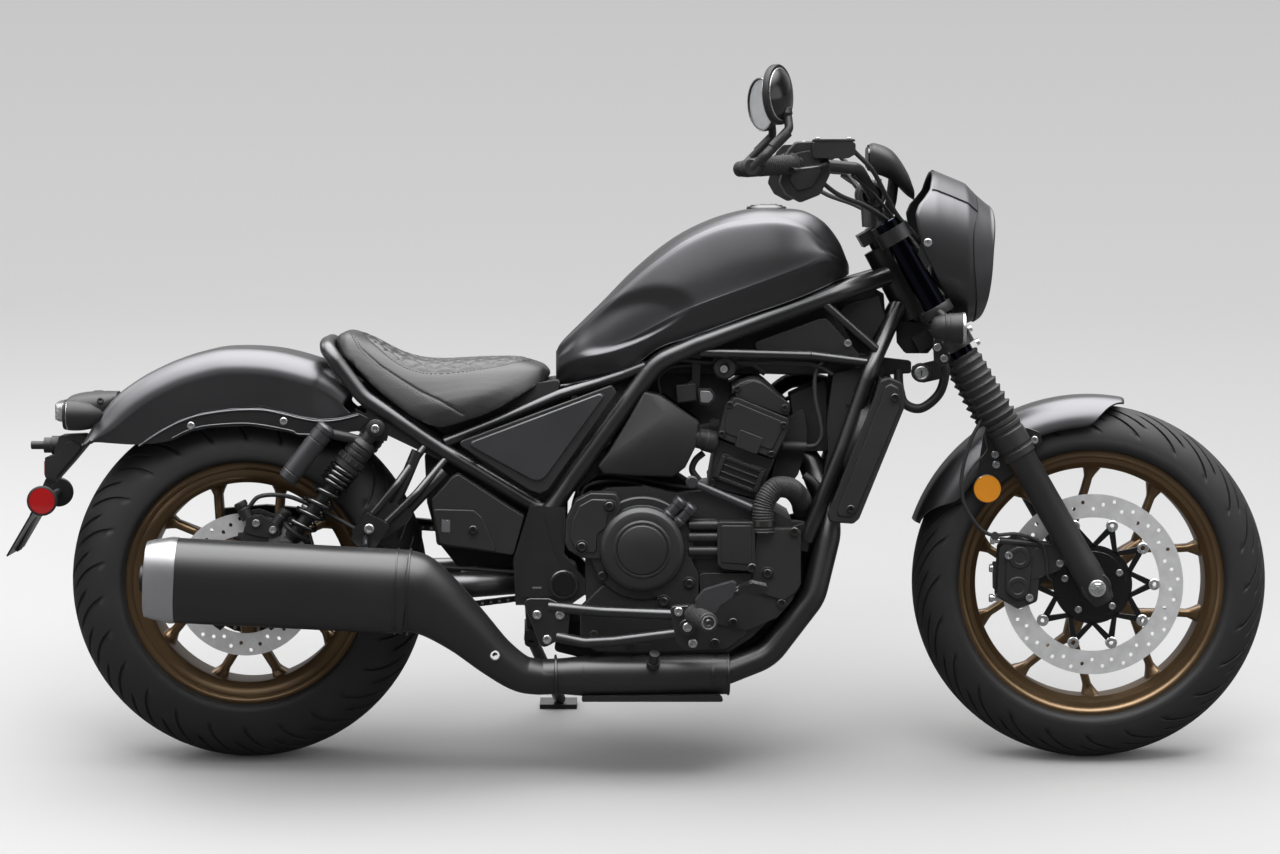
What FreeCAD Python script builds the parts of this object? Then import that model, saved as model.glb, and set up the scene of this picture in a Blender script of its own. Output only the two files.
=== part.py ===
import FreeCAD, Part
import math
import os
import Sketcher

V = FreeCAD.Vector

# Driving dimensions in millimetres and degrees.
# The bike is drawn upright: X forward from the rear axle, Y to the rider's left, Z up from the floor.
SIZES = (
    ("wheelbase", 1520),
    ("lean", 11),
    ("park_x", 707),
    ("park_y", 196),
    ("rake", 28),
    ("fork_angle", 30),
    ("trail", 110),
    ("fork_half_span", 112),
    ("fit_gap", 0.05),
    ("seat_gap", 0.4),
    ("axle_r", 10),
    ("front_tyre_r", 320),
    ("front_crown_r", 66),
    ("front_tyre_half", 65),
    ("front_bead_r", 226),
    ("front_rim_half", 48),
    ("front_hub_r", 36),
    ("front_hub_half", 60),
    ("front_disc_r", 163),
    ("front_disc_inner_r", 122),
    ("front_disc_y", 70),
    ("disc_thickness", 5),
    ("rear_tyre_r", 321),
    ("rear_crown_r", 92),
    ("rear_tyre_half", 90),
    ("rear_bead_r", 204),
    ("rear_rim_half", 68),
    ("rear_hub_r", 40),
    ("rear_hub_half", 80),
    ("rear_disc_r", 128),
    ("rear_disc_y", 86),
    ("chain_y", 105),
    ("chain_pitch", 15.875),
    ("rear_teeth", 42),
    ("front_teeth", 17),
    ("front_sprocket_x", 650),
    ("front_sprocket_z", 342),
    ("main_tube_r", 17),
    ("main_tube_y", 122),
    ("down_tube_r", 14),
    ("down_tube_y", 120),
    ("neck_r", 30),
    ("neck_low_z", 800),
    ("neck_top_z", 925),
    ("stem_r", 14),
    ("loop_tube_r", 14),
    ("loop_tube_y", 116),
    ("seat_rail_r", 10),
    ("pivot_x", 572),
    ("pivot_z", 329),
    ("pivot_tube_r", 22),
    ("pivot_plate_y", 118),
    ("pivot_plate_thick", 30),
    ("arm_r", 23),
    ("right_arm_y", 130),
    ("left_arm_y", 148),
    ("shock_top_x", 238),
    ("shock_top_z", 606),
    ("shock_low_x", 77),
    ("shock_low_z", 396),
    ("shock_spring_r", 29),
    ("spring_wire_r", 4.5),
    ("shock_body_r", 20),
    ("fork_tube_r", 21.5),
    ("slider_r", 29),
    ("slider_top_z", 611),
    ("lower_clamp_drop", 38),
    ("upper_clamp_rise", 23),
    ("fork_top_rise", 25),
    ("boot_r", 34),
    ("case_half", 146),
    ("radiator_fins", 20),
    ("bar_r", 11),
    ("grip_r", 17),
    ("muffler_y", 222),
    ("muffler_half_width", 60),
    ("muffler_half_height", 74),
    ("tank_half_width", 150),
    ("seat_half_width", 145),
    ("rear_fender_half", 106),
    ("rear_fender_wall", 4),
    ("front_fender_r", 339),
    ("front_fender_half", 79),
    ("front_fender_wall", 4),
    ("stand_foot_x", 556),
    ("stand_foot_y", 280),
    ("stand_pivot_x", 505),
    ("stand_pivot_y", 150),
    ("stand_pivot_z", 200),
    ("stand_tube_r", 11),
)


class Size(float):
    """A number that remembers the sheet expression it was worked out from."""

    def __new__(cls, value, text):
        made = float.__new__(cls, value)
        made.text = text
        return made

    def __add__(self, other):
        return Size(float(self) + float(other), "(%s + %s)" % (self.text, text_of(other)))

    def __radd__(self, other):
        return Size(float(other) + float(self), "(%s + %s)" % (text_of(other), self.text))

    def __sub__(self, other):
        return Size(float(self) - float(other), "(%s - %s)" % (self.text, text_of(other)))

    def __rsub__(self, other):
        return Size(float(other) - float(self), "(%s - %s)" % (text_of(other), self.text))

    def __mul__(self, other):
        return Size(float(self) * float(other), "(%s * %s)" % (self.text, text_of(other)))

    def __rmul__(self, other):
        return Size(float(other) * float(self), "(%s * %s)" % (text_of(other), self.text))

    def __truediv__(self, other):
        return Size(float(self) / float(other), "(%s / %s)" % (self.text, text_of(other)))

    def __neg__(self):
        return Size(-float(self), "(-%s)" % self.text)


def text_of(number):
    """The sheet expression of a size, or the plain number."""
    if isinstance(number, Size):
        return number.text
    return "(%.6f)" % number


def bind(item, field, number):
    """Tie one field of an object to the sheet."""
    if isinstance(number, Size):
        item.setExpression(field, number.text)


doc = FreeCAD.newDocument("cruiser")
sheet = doc.addObject("Spreadsheet::Sheet", "sizes")
for row, (alias, number) in enumerate(SIZES, start=1):
    sheet.set("A%d" % row, alias)
    sheet.set("B%d" % row, str(number))
    sheet.setAlias("B%d" % row, alias)
doc.recompute()


class Sizes:
    """Every size on the sheet, by its alias."""


s = Sizes()
for alias, number in SIZES:
    setattr(s, alias, Size(sheet.get(alias), "sizes." + alias))

LEAN = math.radians(s.lean)
front_axle_z = s.front_tyre_r - s.front_crown_r + s.front_crown_r * (1 / math.cos(LEAN))
rear_axle_z = s.rear_tyre_r - s.rear_crown_r + s.rear_crown_r * (1 / math.cos(LEAN))
lower_clamp_z = s.neck_low_z - s.lower_clamp_drop
upper_clamp_z = s.neck_top_z + s.upper_clamp_rise
fork_top_z = upper_clamp_z + s.fork_top_rise
PARKED = FreeCAD.Placement(V(-s.park_x, -s.park_y, 0), FreeCAD.Rotation(V(1, 0, 0), -s.lean))
sub_parts = []


def finished(item, label):
    """Name a sub-part and lean it as the bike parks."""
    item.Label = label
    item.Placement = PARKED
    sub_parts.append(item)
    return item


def feature(label, shape):
    """A sub-part whose shape is made with Part's own functions."""
    item = doc.addObject("Part::Feature", label)
    item.Shape = shape
    return finished(item, label)


# Part design helpers


def new_body(label):
    body = doc.addObject("PartDesign::Body", label)
    return finished(body, label)


def new_sketch(body, plane, at):
    """An empty sketch on one of the body's own origin planes, moved by at."""
    drawn = body.newObject("Sketcher::SketchObject", "outline")
    origin = [item for item in body.Origin.OriginFeatures if item.Role == plane][0]
    drawn.AttachmentSupport = [(origin, "")]
    drawn.MapMode = "FlatFace"
    drawn.AttachmentOffset = FreeCAD.Placement(V(*at), FreeCAD.Rotation())
    for axis, place in zip("xyz", at):
        bind(drawn, "AttachmentOffset.Base." + axis, place)
    return drawn


def place_point(drawn, geometry, end, point):
    """Hold one end of a line or arc at a point measured from the sketch's origin."""
    for kind, number in zip(("DistanceX", "DistanceY"), point):
        rule = drawn.addConstraint(Sketcher.Constraint(kind, -1, 1, geometry, end, float(number)))
        if isinstance(number, Size):
            drawn.setExpression("Constraints[%d]" % rule, number.text)


def draw_outline(drawn, corners):
    """A closed outline. A corner is a point, or a pair of points: an arc's middle and its end."""
    ends = [c[1] if isinstance(c[0], tuple) else c for c in corners]
    middles = [c[0] if isinstance(c[0], tuple) else None for c in corners]
    for number, (end, middle) in enumerate(zip(ends, middles)):
        start = ends[number - 1]
        p = V(start[0], start[1], 0)
        q = V(end[0], end[1], 0)
        if middle is None:
            line = drawn.addGeometry(Part.LineSegment(p, q), False)
            place_point(drawn, line, 1, start)
            place_point(drawn, line, 2, end)
        else:
            arc = drawn.addGeometry(Part.Arc(p, V(middle[0], middle[1], 0), q), False)
            curve = drawn.Geometry[arc]
            first, last = (1, 2) if curve.StartPoint.distanceToPoint(p) < 1e-6 else (2, 1)
            place_point(drawn, arc, first, start)
            place_point(drawn, arc, last, end)
            drawn.addConstraint(Sketcher.Constraint("Radius", arc, curve.Radius))


def draw_circle(drawn, x, z, radius):
    ring = drawn.addGeometry(Part.Circle(V(x, z, 0), V(0, 0, 1), float(radius)), False)
    place_point(drawn, ring, 3, (x, z))
    rule = drawn.addConstraint(Sketcher.Constraint("Radius", ring, float(radius)))
    if isinstance(radius, Size):
        drawn.setExpression("Constraints[%d]" % rule, radius.text)


def pad(body, drawn, length, reverse=False):
    made = body.newObject("PartDesign::Pad", "pad")
    made.Profile = drawn
    made.Length = float(length)
    bind(made, "Length", length)
    made.Reversed = reverse
    return made


def side_pad(body, corners, near, far):
    """A pad seen from the side: its outline in X and Z, from Y = near to Y = far (near above far)."""
    drawn = new_sketch(body, "XZ_Plane", (0, 0, -near))
    draw_outline(drawn, corners)
    return pad(body, drawn, near - far)


def side_disc(body, x, z, radius, near, far):
    drawn = new_sketch(body, "XZ_Plane", (0, 0, -near))
    draw_circle(drawn, x, z, radius)
    return pad(body, drawn, near - far)


def lathe(body, x, z, profile):
    """A revolution about the crosswise line through X and Z: profile gives Y and radius."""
    drawn = new_sketch(body, "YZ_Plane", (0, z, x))
    draw_outline(drawn, profile)
    made = body.newObject("PartDesign::Revolution", "turned")
    made.Profile = drawn
    made.ReferenceAxis = (drawn, ["H_Axis"])
    made.Angle = 360
    return made


def polar(body, items, centre_sketch, count):
    """Repeat features about the crosswise axis of a side sketch."""
    made = body.newObject("PartDesign::PolarPattern", "around")
    made.Originals = items
    made.Axis = (centre_sketch, ["N_Axis"])
    made.Angle = 360
    made.Occurrences = count
    body.Tip = made
    return made


# Solid helpers


def rod(start, end, radius):
    """A round bar between two points."""
    start = V(*start)
    run = V(*end) - start
    return Part.makeCylinder(float(radius), run.Length, start, run)


def tube(points, bend, radius):
    """A bent round bar: straight runs joined by tangent arcs of the bend radius."""
    places = [V(*point) for point in points]
    edges = []
    last = places[0]
    for before, corner, after in zip(places, places[1:], places[2:]):
        to_before = before - corner
        to_after = after - corner
        half = to_before.getAngle(to_after) / 2
        cut = min(bend / math.tan(half), 0.45 * min(to_before.Length, to_after.Length))
        to_before.normalize()
        to_after.normalize()
        middle = to_before + to_after
        middle.normalize()
        arc_r = cut * math.tan(half)
        start = corner + to_before * cut
        end = corner + to_after * cut
        edges.append(Part.LineSegment(last, start).toShape())
        edges.append(Part.Arc(start, corner + middle * (arc_r / math.sin(half) - arc_r), end).toShape())
        last = end
    edges.append(Part.LineSegment(last, places[-1]).toShape())
    path = Part.Wire(edges)
    ring = Part.Wire(Part.makeCircle(float(radius), places[0],
                                     edges[0].tangentAt(edges[0].FirstParameter)))
    return path.makePipeShell([ring], True, False)


def mirrored(point):
    return (point[0], -point[1], point[2])


def both_tubes(points, bend, radius):
    """The same bent bar on the right and on the left."""
    return [tube(points, bend, radius), tube([mirrored(point) for point in points], bend, radius)]


def slab(corners, near, far):
    """An extruded side outline between two Y values."""
    points = [V(x, near, z) for x, z in corners]
    face = Part.Face(Part.makePolygon(points + points[:1]))
    return face.extrude(V(0, far - near, 0))


def both_slabs(corners, near, far):
    return [slab(corners, near, far), slab(corners, -near, -far)]


def crosswise(x, z, radius, low, high):
    """A round bar along Y from low to high."""
    return Part.makeCylinder(float(radius), float(high - low), V(x, low, z), V(0, 1, 0))


def joined(shapes):
    whole = shapes[0].multiFuse(list(shapes[1:]))
    return whole.removeSplitter()


def turned(profile, base, direction):
    """A revolution about a line: profile gives the distance along it and the radius."""
    points = [V(radius, 0, along) for along, radius in profile]
    face = Part.Face(Part.makePolygon(points + points[:1]))
    solid = face.revolve(V(0, 0, 0), V(0, 0, 1), 360)
    solid.Placement = FreeCAD.Placement(V(*base), FreeCAD.Rotation(V(0, 0, 1), V(*direction)))
    return solid


def section(x, y, z, half_width, half_height, power=2.0):
    """A closed super-ellipse across the bike at X, with its middle at Y and Z."""
    points = []
    for step in range(12):
        angle = 2 * math.pi * step / 12
        c = math.cos(angle)
        n = math.sin(angle)
        across = half_width * math.copysign(abs(c) ** (2 / power), c)
        up = half_height * math.copysign(abs(n) ** (2 / power), n)
        points.append(V(x, y + across, z + up))
    curve = Part.BSplineCurve()
    curve.interpolate(points, PeriodicFlag=True)
    return Part.Wire(curve.toShape())


def lofted(stations, ruled=False):
    return Part.makeLoft([section(*station) for station in stations], True, ruled)


def behind(distance):
    """X at a distance behind the front axle."""
    return s.wheelbase - distance


def fork_x(z):
    """Where a fork leg's middle is at a height."""
    return s.wheelbase - (z - front_axle_z) * math.tan(math.radians(s.fork_angle))


def steering_x(z):
    """Where the steering axis is at a height."""
    return s.wheelbase + s.trail - z * math.tan(math.radians(s.rake))


def leg_point(z, side):
    return V(fork_x(z), side * s.fork_half_span, z)


def leg_rod(low, high, radius, side):
    """A round bar on a fork leg's axis between two heights."""
    return rod(leg_point(low, side), leg_point(high, side), radius)


# Frame

SPINE = ((behind(370), -38, s.neck_top_z - 51), (behind(460), -96, 846), (814, -s.main_tube_y, 757),
         (738, -s.main_tube_y, 724),
         (583, -s.main_tube_y - 3, 513), (522, -s.main_tube_y - 11, 420),
         (501, -s.main_tube_y - 11, s.pivot_z))
DOWN_TUBE = ((behind(348), -30, s.neck_low_z + 20), (behind(402), -105, 712),
             (behind(453), -s.down_tube_y, 567), (behind(518), -s.down_tube_y, 405))
PIVOT_PLATE = ((486, 292), (482, 373), (512, 470), (574, 465), (572, 382), (594, 355), (609.7, 338),
               (610.1, 311),
               (583, 292))


def main_frame():
    y = s.main_tube_y
    neck_low = V(steering_x(s.neck_low_z), 0, s.neck_low_z)
    neck_top = V(steering_x(s.neck_top_z), 0, s.neck_top_z)
    shapes = both_tubes(SPINE, 90, s.main_tube_r) + both_tubes(DOWN_TUBE, 90, s.down_tube_r)
    shapes += both_tubes([(behind(510), -y + 4, 735), (behind(410), -104, 722)], 20, 8)
    shapes += both_tubes([(814, -y + 2, 740), (behind(510), -y + 4, 735)], 20, 8)
    shapes += both_tubes([(behind(489), -104, 830), (behind(392), -98, 745)], 20, 7.5)
    shapes += both_slabs(PIVOT_PLATE, -s.pivot_plate_y, -s.pivot_plate_y - s.pivot_plate_thick)
    shapes.append(rod(neck_low, neck_top, s.neck_r))
    shapes.append(crosswise(738, 724, 13, -y, y))
    shapes.append(crosswise(behind(520), 824, 12, -y + 18, y - 18))
    shapes.append(crosswise(522, 441, 13, -y, y))
    shapes += tank_mounts(0)
    shapes += both_slabs([(behind(541.2), 430), (behind(508), 438), (behind(514), 385),
                          (behind(539.7), 390)], -112, -128)
    shapes.append(stand_lug())
    frame = joined(shapes)
    hollow = rod(neck_low - V(steering_x(0) - steering_x(-60), 0, 60),
                 neck_top + V(steering_x(60) - steering_x(0), 0, 60),
                 s.stem_r + s.fit_gap)
    pivot = crosswise(s.pivot_x, s.pivot_z, s.axle_r + s.fit_gap, -200, 200)
    return feature("main_frame", frame.cut(hollow).cut(pivot))


def tank_mounts(gap):
    """The two pads under the tank, grown by a gap."""
    rear = Part.makeBox(40 + 2 * gap, 60 + 2 * gap, 44 + gap, V(718 - gap, -30 - gap, 724))
    front = Part.makeBox(36 + 2 * gap, 60 + 2 * gap, 44 + gap, V(behind(538) - gap, -30 - gap, 824))
    return [rear, front]


def stand_frame():
    """The side stand's hinge: its pin's direction, square to the leg both down and folded back."""
    pivot = V(s.stand_pivot_x, s.stand_pivot_y, s.stand_pivot_z)
    foot = V(s.stand_foot_x, s.stand_foot_y, s.stand_foot_y * math.tan(LEAN))
    down = foot - pivot
    folded = V(-1, 0.03, -0.06)
    pin = down.cross(folded)
    pin.normalize()
    return pivot, foot, pin


def stand_lug():
    """The forked lug that holds the side stand's eye, and the tube that carries it from the pivot plate."""
    pivot, foot, pin = stand_frame()
    up = V(0, 0, 1) - pin * pin.z
    up.normalize()
    back = pin.cross(up)
    local = FreeCAD.Placement(pivot, FreeCAD.Rotation(back, pin, up, "XYZ"))
    fork = Part.makeBox(24, 29, 34, V(-12, -14.5, 0)).fuse(Part.makeCylinder(12, 29, V(0, -14.5, 0),
                                                                             V(0, 1, 0)))
    slot = Part.makeBox(80, 10.6, 44, V(-40, -5.3, -20))
    bolt = Part.makeCylinder(5, 34, V(0, -17, 0), V(0, 1, 0))
    fork = fork.cut(slot).fuse(bolt)
    fork.Placement = local
    top = pivot + up * 30
    return fork.fuse(rod(top, (500, 133, 306), 9))


def seat_mount(gap):
    """The pad that the seat's base rests on, grown by a gap."""
    return Part.makeBox(36 + 2 * gap, 60 + 2 * gap, 40 + gap, V(440 - gap, -30 - gap, 615))


def rear_subframe():
    y = s.loop_tube_y
    loop = [(540, -y, 455), (351, -y, 569), (215, -y, 660), (152, -y + 8, 742), (147, -60, 752)]
    loop += [mirrored(point) for point in reversed(loop)]
    rail = [(360, -y, 580), (458, -y + 4, 619), (565, -y + 4, 664), (655, -y + 4, 692)]
    side_rail = [(-185, 577), (-146, 605), (-75, 635), (30, 645), (103, 627), (138, 621), (200, 634),
                 (246, 610),
                 (209, 600), (102, 590), (84, 598), (13, 609), (-58, 606), (-94, 598), (-126, 583)]
    shock_plate = [(200, 640), (262, 605), (256, 582), (222, 582), (205, 606)]
    hanger = [(223, 459), (265, 436), (251, 413), (194, 410)]
    top = s.rear_fender_half
    shapes = [tube(loop, 70, s.loop_tube_r)] + both_tubes(rail, 60, s.seat_rail_r)
    shapes += both_slabs(side_rail, -top - 1, -top - 9)
    shapes += both_slabs(shock_plate, -top - 1, -top - 9)
    shapes += both_slabs([(210, 615), (350, 548), (356, 570), (230, 655)], -top - 1, -top - 9)
    shapes += [slab(hanger, -144, -152)]
    shapes += [tube([(233, -148, 455), (275, -148, 505), (325, -y, 575)], 30, 7)]
    shapes += [tube([(258, -148, 440), (310, -148, 490), (365, -y, 555)], 30, 7)]
    for side in (-1, 1):
        arm = s.right_arm_y if side < 0 else s.left_arm_y
        low, high = sorted((side * (top + 2), side * (arm + 16)))
        shapes.append(crosswise(s.shock_top_x, s.shock_top_z, 7, low, high))
    for x, rail_z, peg_z in ((430, 608, 573), (590, 672, 620)):
        shapes += both_tubes([(x, -y + 4, rail_z), (x, -y + 4, peg_z), (x, -y - 25.7, peg_z)], 10, 6)
    shapes.append(crosswise(458, 619, 9, -y, y))
    shapes.append(seat_mount(0))
    room = both_slabs(PIVOT_PLATE, -s.pivot_plate_y, -s.pivot_plate_y - s.pivot_plate_thick)
    room += both_tubes(SPINE, 90, s.main_tube_r + 0.2)
    room.append(crosswise(522, 441, 13.2, -s.main_tube_y, s.main_tube_y))
    parts = joined(shapes).cut(Part.makeCompound(room)).Solids
    return feature("rear_subframe", max(parts, key=lambda solid: solid.Volume))


def arm_path(side):
    y = s.right_arm_y if side < 0 else s.left_arm_y
    return [(s.pivot_x, side * 88, s.pivot_z), (478, side * 88, s.pivot_z - 1), (400, side * y, 326),
            (300, side * y, 324), (22, side * y, rear_axle_z)]


def swingarm():
    arms = []
    for side, y in ((-1, s.right_arm_y), (1, s.left_arm_y)):
        arms.append(tube(arm_path(side), 60, s.arm_r))
        low, high = sorted((side * (y - 21), side * (y + 21)))
        block = Part.makeBox(95, high - low, 52, V(-48, low, rear_axle_z - 26))
        arms.append(block)
        lug = [(40, rear_axle_z), (115, rear_axle_z), (94, s.shock_low_z + 6), (60, s.shock_low_z + 6)]
        arms.append(slab(lug, side * (y - 21), side * (y - 14.2)))
        arms.append(slab(lug, side * (y + 14.2), side * (y + 21)))
        arms.append(crosswise(s.shock_low_x, s.shock_low_z, 7, low, high))
    arms.append(crosswise(s.pivot_x, s.pivot_z, s.pivot_tube_r, -112, 112))
    arms.append(crosswise(395, 325, 17, -118, 120))
    whole = joined(arms)
    axle = crosswise(0, rear_axle_z, s.axle_r + s.fit_gap, -220, 220)
    pivot = crosswise(s.pivot_x, s.pivot_z, s.axle_r + s.fit_gap, -220, 220)
    eyes = []
    for y in (-s.right_arm_y, s.left_arm_y):
        ring = crosswise(s.shock_low_x, s.shock_low_z, 17, y - 14.2, y + 14.2)
        eyes.append(ring.cut(crosswise(s.shock_low_x, s.shock_low_z, 7, y - 15, y + 15)))
    return feature("swingarm", whole.cut(axle).cut(pivot).cut(Part.makeCompound(eyes)))


def rear_axle():
    shapes = [crosswise(0, rear_axle_z, s.axle_r, -s.right_arm_y - 26, s.left_arm_y + 26)]
    shapes.append(crosswise(0, rear_axle_z, 17, -s.right_arm_y - 30, -s.right_arm_y - 21.1))
    shapes.append(crosswise(0, rear_axle_z, 17, s.left_arm_y + 21.1, s.left_arm_y + 30))
    return feature("rear_axle", joined(shapes))


def pivot_bolt():
    outer = s.pivot_plate_y + s.pivot_plate_thick
    shapes = [crosswise(s.pivot_x, s.pivot_z, s.axle_r, -outer - 4, outer + 4)]
    shapes.append(crosswise(s.pivot_x, s.pivot_z, 21, -outer - 10, -outer - 0.1))
    shapes.append(crosswise(s.pivot_x, s.pivot_z, 21, outer + 0.1, outer + 10))
    return feature("pivot_bolt", joined(shapes))


def shock_ends(side):
    y = -s.right_arm_y if side < 0 else s.left_arm_y
    return V(s.shock_low_x, y, s.shock_low_z), V(s.shock_top_x, y, s.shock_top_z)


def rear_shocks():
    shapes = []
    for side in (-1, 1):
        low, top = shock_ends(side)
        along = top - low
        length = along.Length
        along.normalize()
        body = rod(low + along * 12, low + along * (length - 12), s.shock_body_r - 7)
        collars = [rod(low + along * 26, low + along * 36, s.shock_spring_r + 1),
                   rod(low + along * (length - 56), low + along * (length - 40), s.shock_spring_r + 1)]
        eyes = [Part.makeCylinder(16, 28, low - V(0, 14, 0), V(0, 1, 0)),
                Part.makeCylinder(16, 28, top - V(0, 14, 0), V(0, 1, 0))]
        can_top = V(155, low.y + side * 18, 611)
        can_low = V(80, low.y + side * 18, 515)
        can = rod(can_low, can_top, 16)
        bridge = tube([can_top + (can_low - can_top) * 0.12, V(190, low.y + side * 10, 590),
                       top - along * 30], 15, 9)
        shapes.append(joined([body, can, bridge] + collars + eyes))
    holes = Part.makeCompound([crosswise(s.shock_top_x, s.shock_top_z, 7 + s.fit_gap, -300, 300),
                               crosswise(s.shock_low_x, s.shock_low_z, 7 + s.fit_gap, -300, 300)])
    shocks = Part.makeCompound([shape.cut(holes) for shape in shapes])
    return feature("rear_shocks", shocks)


def coil(base, run, radius, wire_r, turns):
    """A coil spring along a line, its wire's ends cut flat."""
    path = Part.makeHelix(run.Length / turns, run.Length, radius)
    ring = Part.Wire(Part.makeCircle(wire_r, V(radius, 0, 0), V(0, 1, 0)))
    wire = path.makePipeShell([ring], True, True)
    wire = wire.common(Part.makeCylinder(radius + 2 * wire_r, run.Length))
    wire.Placement = FreeCAD.Placement(base, FreeCAD.Rotation(V(0, 0, 1), run))
    return wire


def shock_springs():
    shapes = []
    for side in (-1, 1):
        low, top = shock_ends(side)
        along = top - low
        length = along.Length
        along.normalize()
        run = along * (length - 92)
        shapes.append(coil(low + along * 36, run, float(s.shock_spring_r - s.spring_wire_r),
                           float(s.spring_wire_r), 8))
    return feature("shock_springs", Part.makeCompound(shapes))


# Engine


def crankcase():
    body = new_body("crankcase")
    half = s.case_half
    side_pad(body, [(712, 202), (712, 505), (770, 490), (838, 498), (915, 476), (978, 440),
                    (982, 335), (958, 285), (905, 234), (865, 208)], half, -half)
    side_pad(body, [(612, 225), (609, 400), (628, 490), (650, 500), (715, 503), (715, 204), (650, 202)],
             88, -half)
    sprocket_r = s.chain_pitch / (2 * math.tan(math.pi / s.front_teeth)) - 6.8
    side_disc(body, s.front_sprocket_x, s.front_sprocket_z, 16, s.chain_y + 3, 80)
    side_disc(body, s.front_sprocket_x, s.front_sprocket_z, sprocket_r, s.chain_y + 3, s.chain_y - 3)
    doc.recompute()
    return body


def cylinder_head():
    body = new_body("cylinder_head")
    side_pad(body, [(829, 500.5), (846, 590), (948, 549), (917, 478)], 118, -118)
    side_pad(body, [(842, 588), (856, 640), (874, 662), (973, 622), (973, 606), (945, 547)], 138, -138)
    side_pad(body, [(870, 660), (888, 684), (908, 689), (924, 684), (975, 645), (973, 620)], 128, -128)
    doc.recompute()
    return body


def engine_covers():
    y = -s.case_half - 0.2
    shapes = [crosswise(712, 399, 74, y - 36, y), crosswise(711, 394, 42, y - 44, y)]
    shapes.append(slab([(575, 445), (592, 480), (619, 494), (681, 492), (700, 440), (640, 372),
                        (601, 376)], y - 24, y))
    shapes.append(slab([(742, 320), (756, 294), (795, 294), (806, 306), (807, 346), (783, 392),
                        (740, 380)], y - 24, y))
    shapes.append(slab([(843, 445), (900, 470), (985, 432), (990, 290), (880, 250), (820, 300)], y - 12,
                       y))
    right = joined(shapes)
    sprocket_cover = slab([(611, 322), (611, 385), (630, 406), (711.8, 406), (711.8, 292), (645, 290)],
                          s.chain_y + 14, -y + 8)
    carrier = slab([(704, 290), (704, 400), (711.8, 400), (711.8, 290)], 88.2, s.chain_y + 15)
    left = joined([crosswise(880, 360, 82, -y, -y + 32), crosswise(880, 360, 56, -y, -y + 38),
                   slab([(690, 250), (690, 440), (830, 450), (830, 280)], -y, -y + 16), sprocket_cover,
                   carrier])
    return feature("engine_covers", Part.makeCompound([right, left]))


def intake_cover():
    body = new_body("intake_cover")
    side_pad(body, [(738, 666), (813, 614), (808, 578), (786, 534), (763, 521), (652, 527), (647, 540)],
             96, -140)
    side_pad(body, [(676.9, 611.5), (694.7, 635.7), (712.9, 622.3), (695.1, 598.1)], -110, -135)
    side_pad(body, [(790, 560), (812, 612), (848.8, 615), (843.7, 596)], 60, -60)
    doc.recompute()
    return body


def radiator():
    core = slab([(behind(383), 702), (behind(348), 690), (behind(346), 645), (behind(412), 480),
                 (behind(430), 454), (behind(452), 456), (behind(456), 470),
                 (behind(420), 602)], -165, 165)
    side = both_slabs([(behind(386), 704), (behind(345), 692), (behind(343), 645), (behind(410), 478),
                       (behind(429), 450), (behind(454), 452), (behind(459), 470),
                       (behind(422), 604)], -165, -178)
    lugs = both_slabs([(behind(414), 615), (behind(419), 590), (behind(444), 587), (behind(435), 617)],
                      -112, -128)
    tubes = both_tubes(DOWN_TUBE, 90, s.down_tube_r + s.seat_gap)
    grooves = []
    low, high = V(behind(410), 0, 470), V(behind(346), 0, 650)
    for number in range(int(s.radiator_fins)):
        at = low + (high - low) * (number / (s.radiator_fins - 1))
        grooves.append(Part.makeBox(10, 290, 4, V(at.x - 3, -145, at.z)))
    return feature("radiator", joined([core] + side + lugs).cut(Part.makeCompound(tubes + grooves)))


def exhaust_pipes():
    r = 20
    outer = [(970, -30, 560), (1012, -30, 545), (1040, -78, 470), (1044, -104, 415), (1016, -124, 305),
             (935, -132, 200), (845, -152, 167)]
    inner = [(970, 55, 560), (1012, 50, 545), (1040, 0, 470), (1044, -50, 415), (1016, -76, 305),
             (935, -90, 202), (838, -136, 169)]
    shapes = [tube(outer, 60, r), tube(inner, 60, r)]
    start, end = V(866, -142, 169), V(535.6, -152, 165)
    run = end - start
    shapes.append(Part.makeCone(34, 29, 70, start, run))
    shapes.append(rod(start + run * 0.1, end, 29))
    return feature("exhaust_pipes", joined(shapes))


def muffler():
    """A straight oval can with a cone at its end, and the pipe that narrows from it to the front."""
    y = -s.muffler_y
    wide = s.muffler_half_width
    high = s.muffler_half_height
    can = lofted([(-110, y, 344, wide, high, 2.4), (304, y, 323.5, wide, high, 2.4)], True)
    cone = lofted([(-160, y, 346.5, wide - 8, high - 8, 2.4),
                   (-106, y, 343.8, wide + 1.5, high + 1.5, 2.4)], True)
    mouth = rod((-170, y, 347), (-130, y, 345), 24)
    link = lofted([(300, y, 323.7, wide - 1, high - 1, 2.4), (340, y + 5, 305, wide - 7, high - 14, 2.2),
                   (400, y + 21, 262, 44, 53, 2.1), (450, y + 41, 217, 37, 44, 2.0),
                   (496, -163, 181, 32, 35, 2.0),
                   (534.5, -152, 165, 31, 31, 2.0)])
    stay = slab([(200, 412), (245, 412), (240, 385), (205, 385)], y + 40, -152.2)
    return feature("muffler", joined([can, link, cone.cut(mouth), stay]))


# Bodywork


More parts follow.
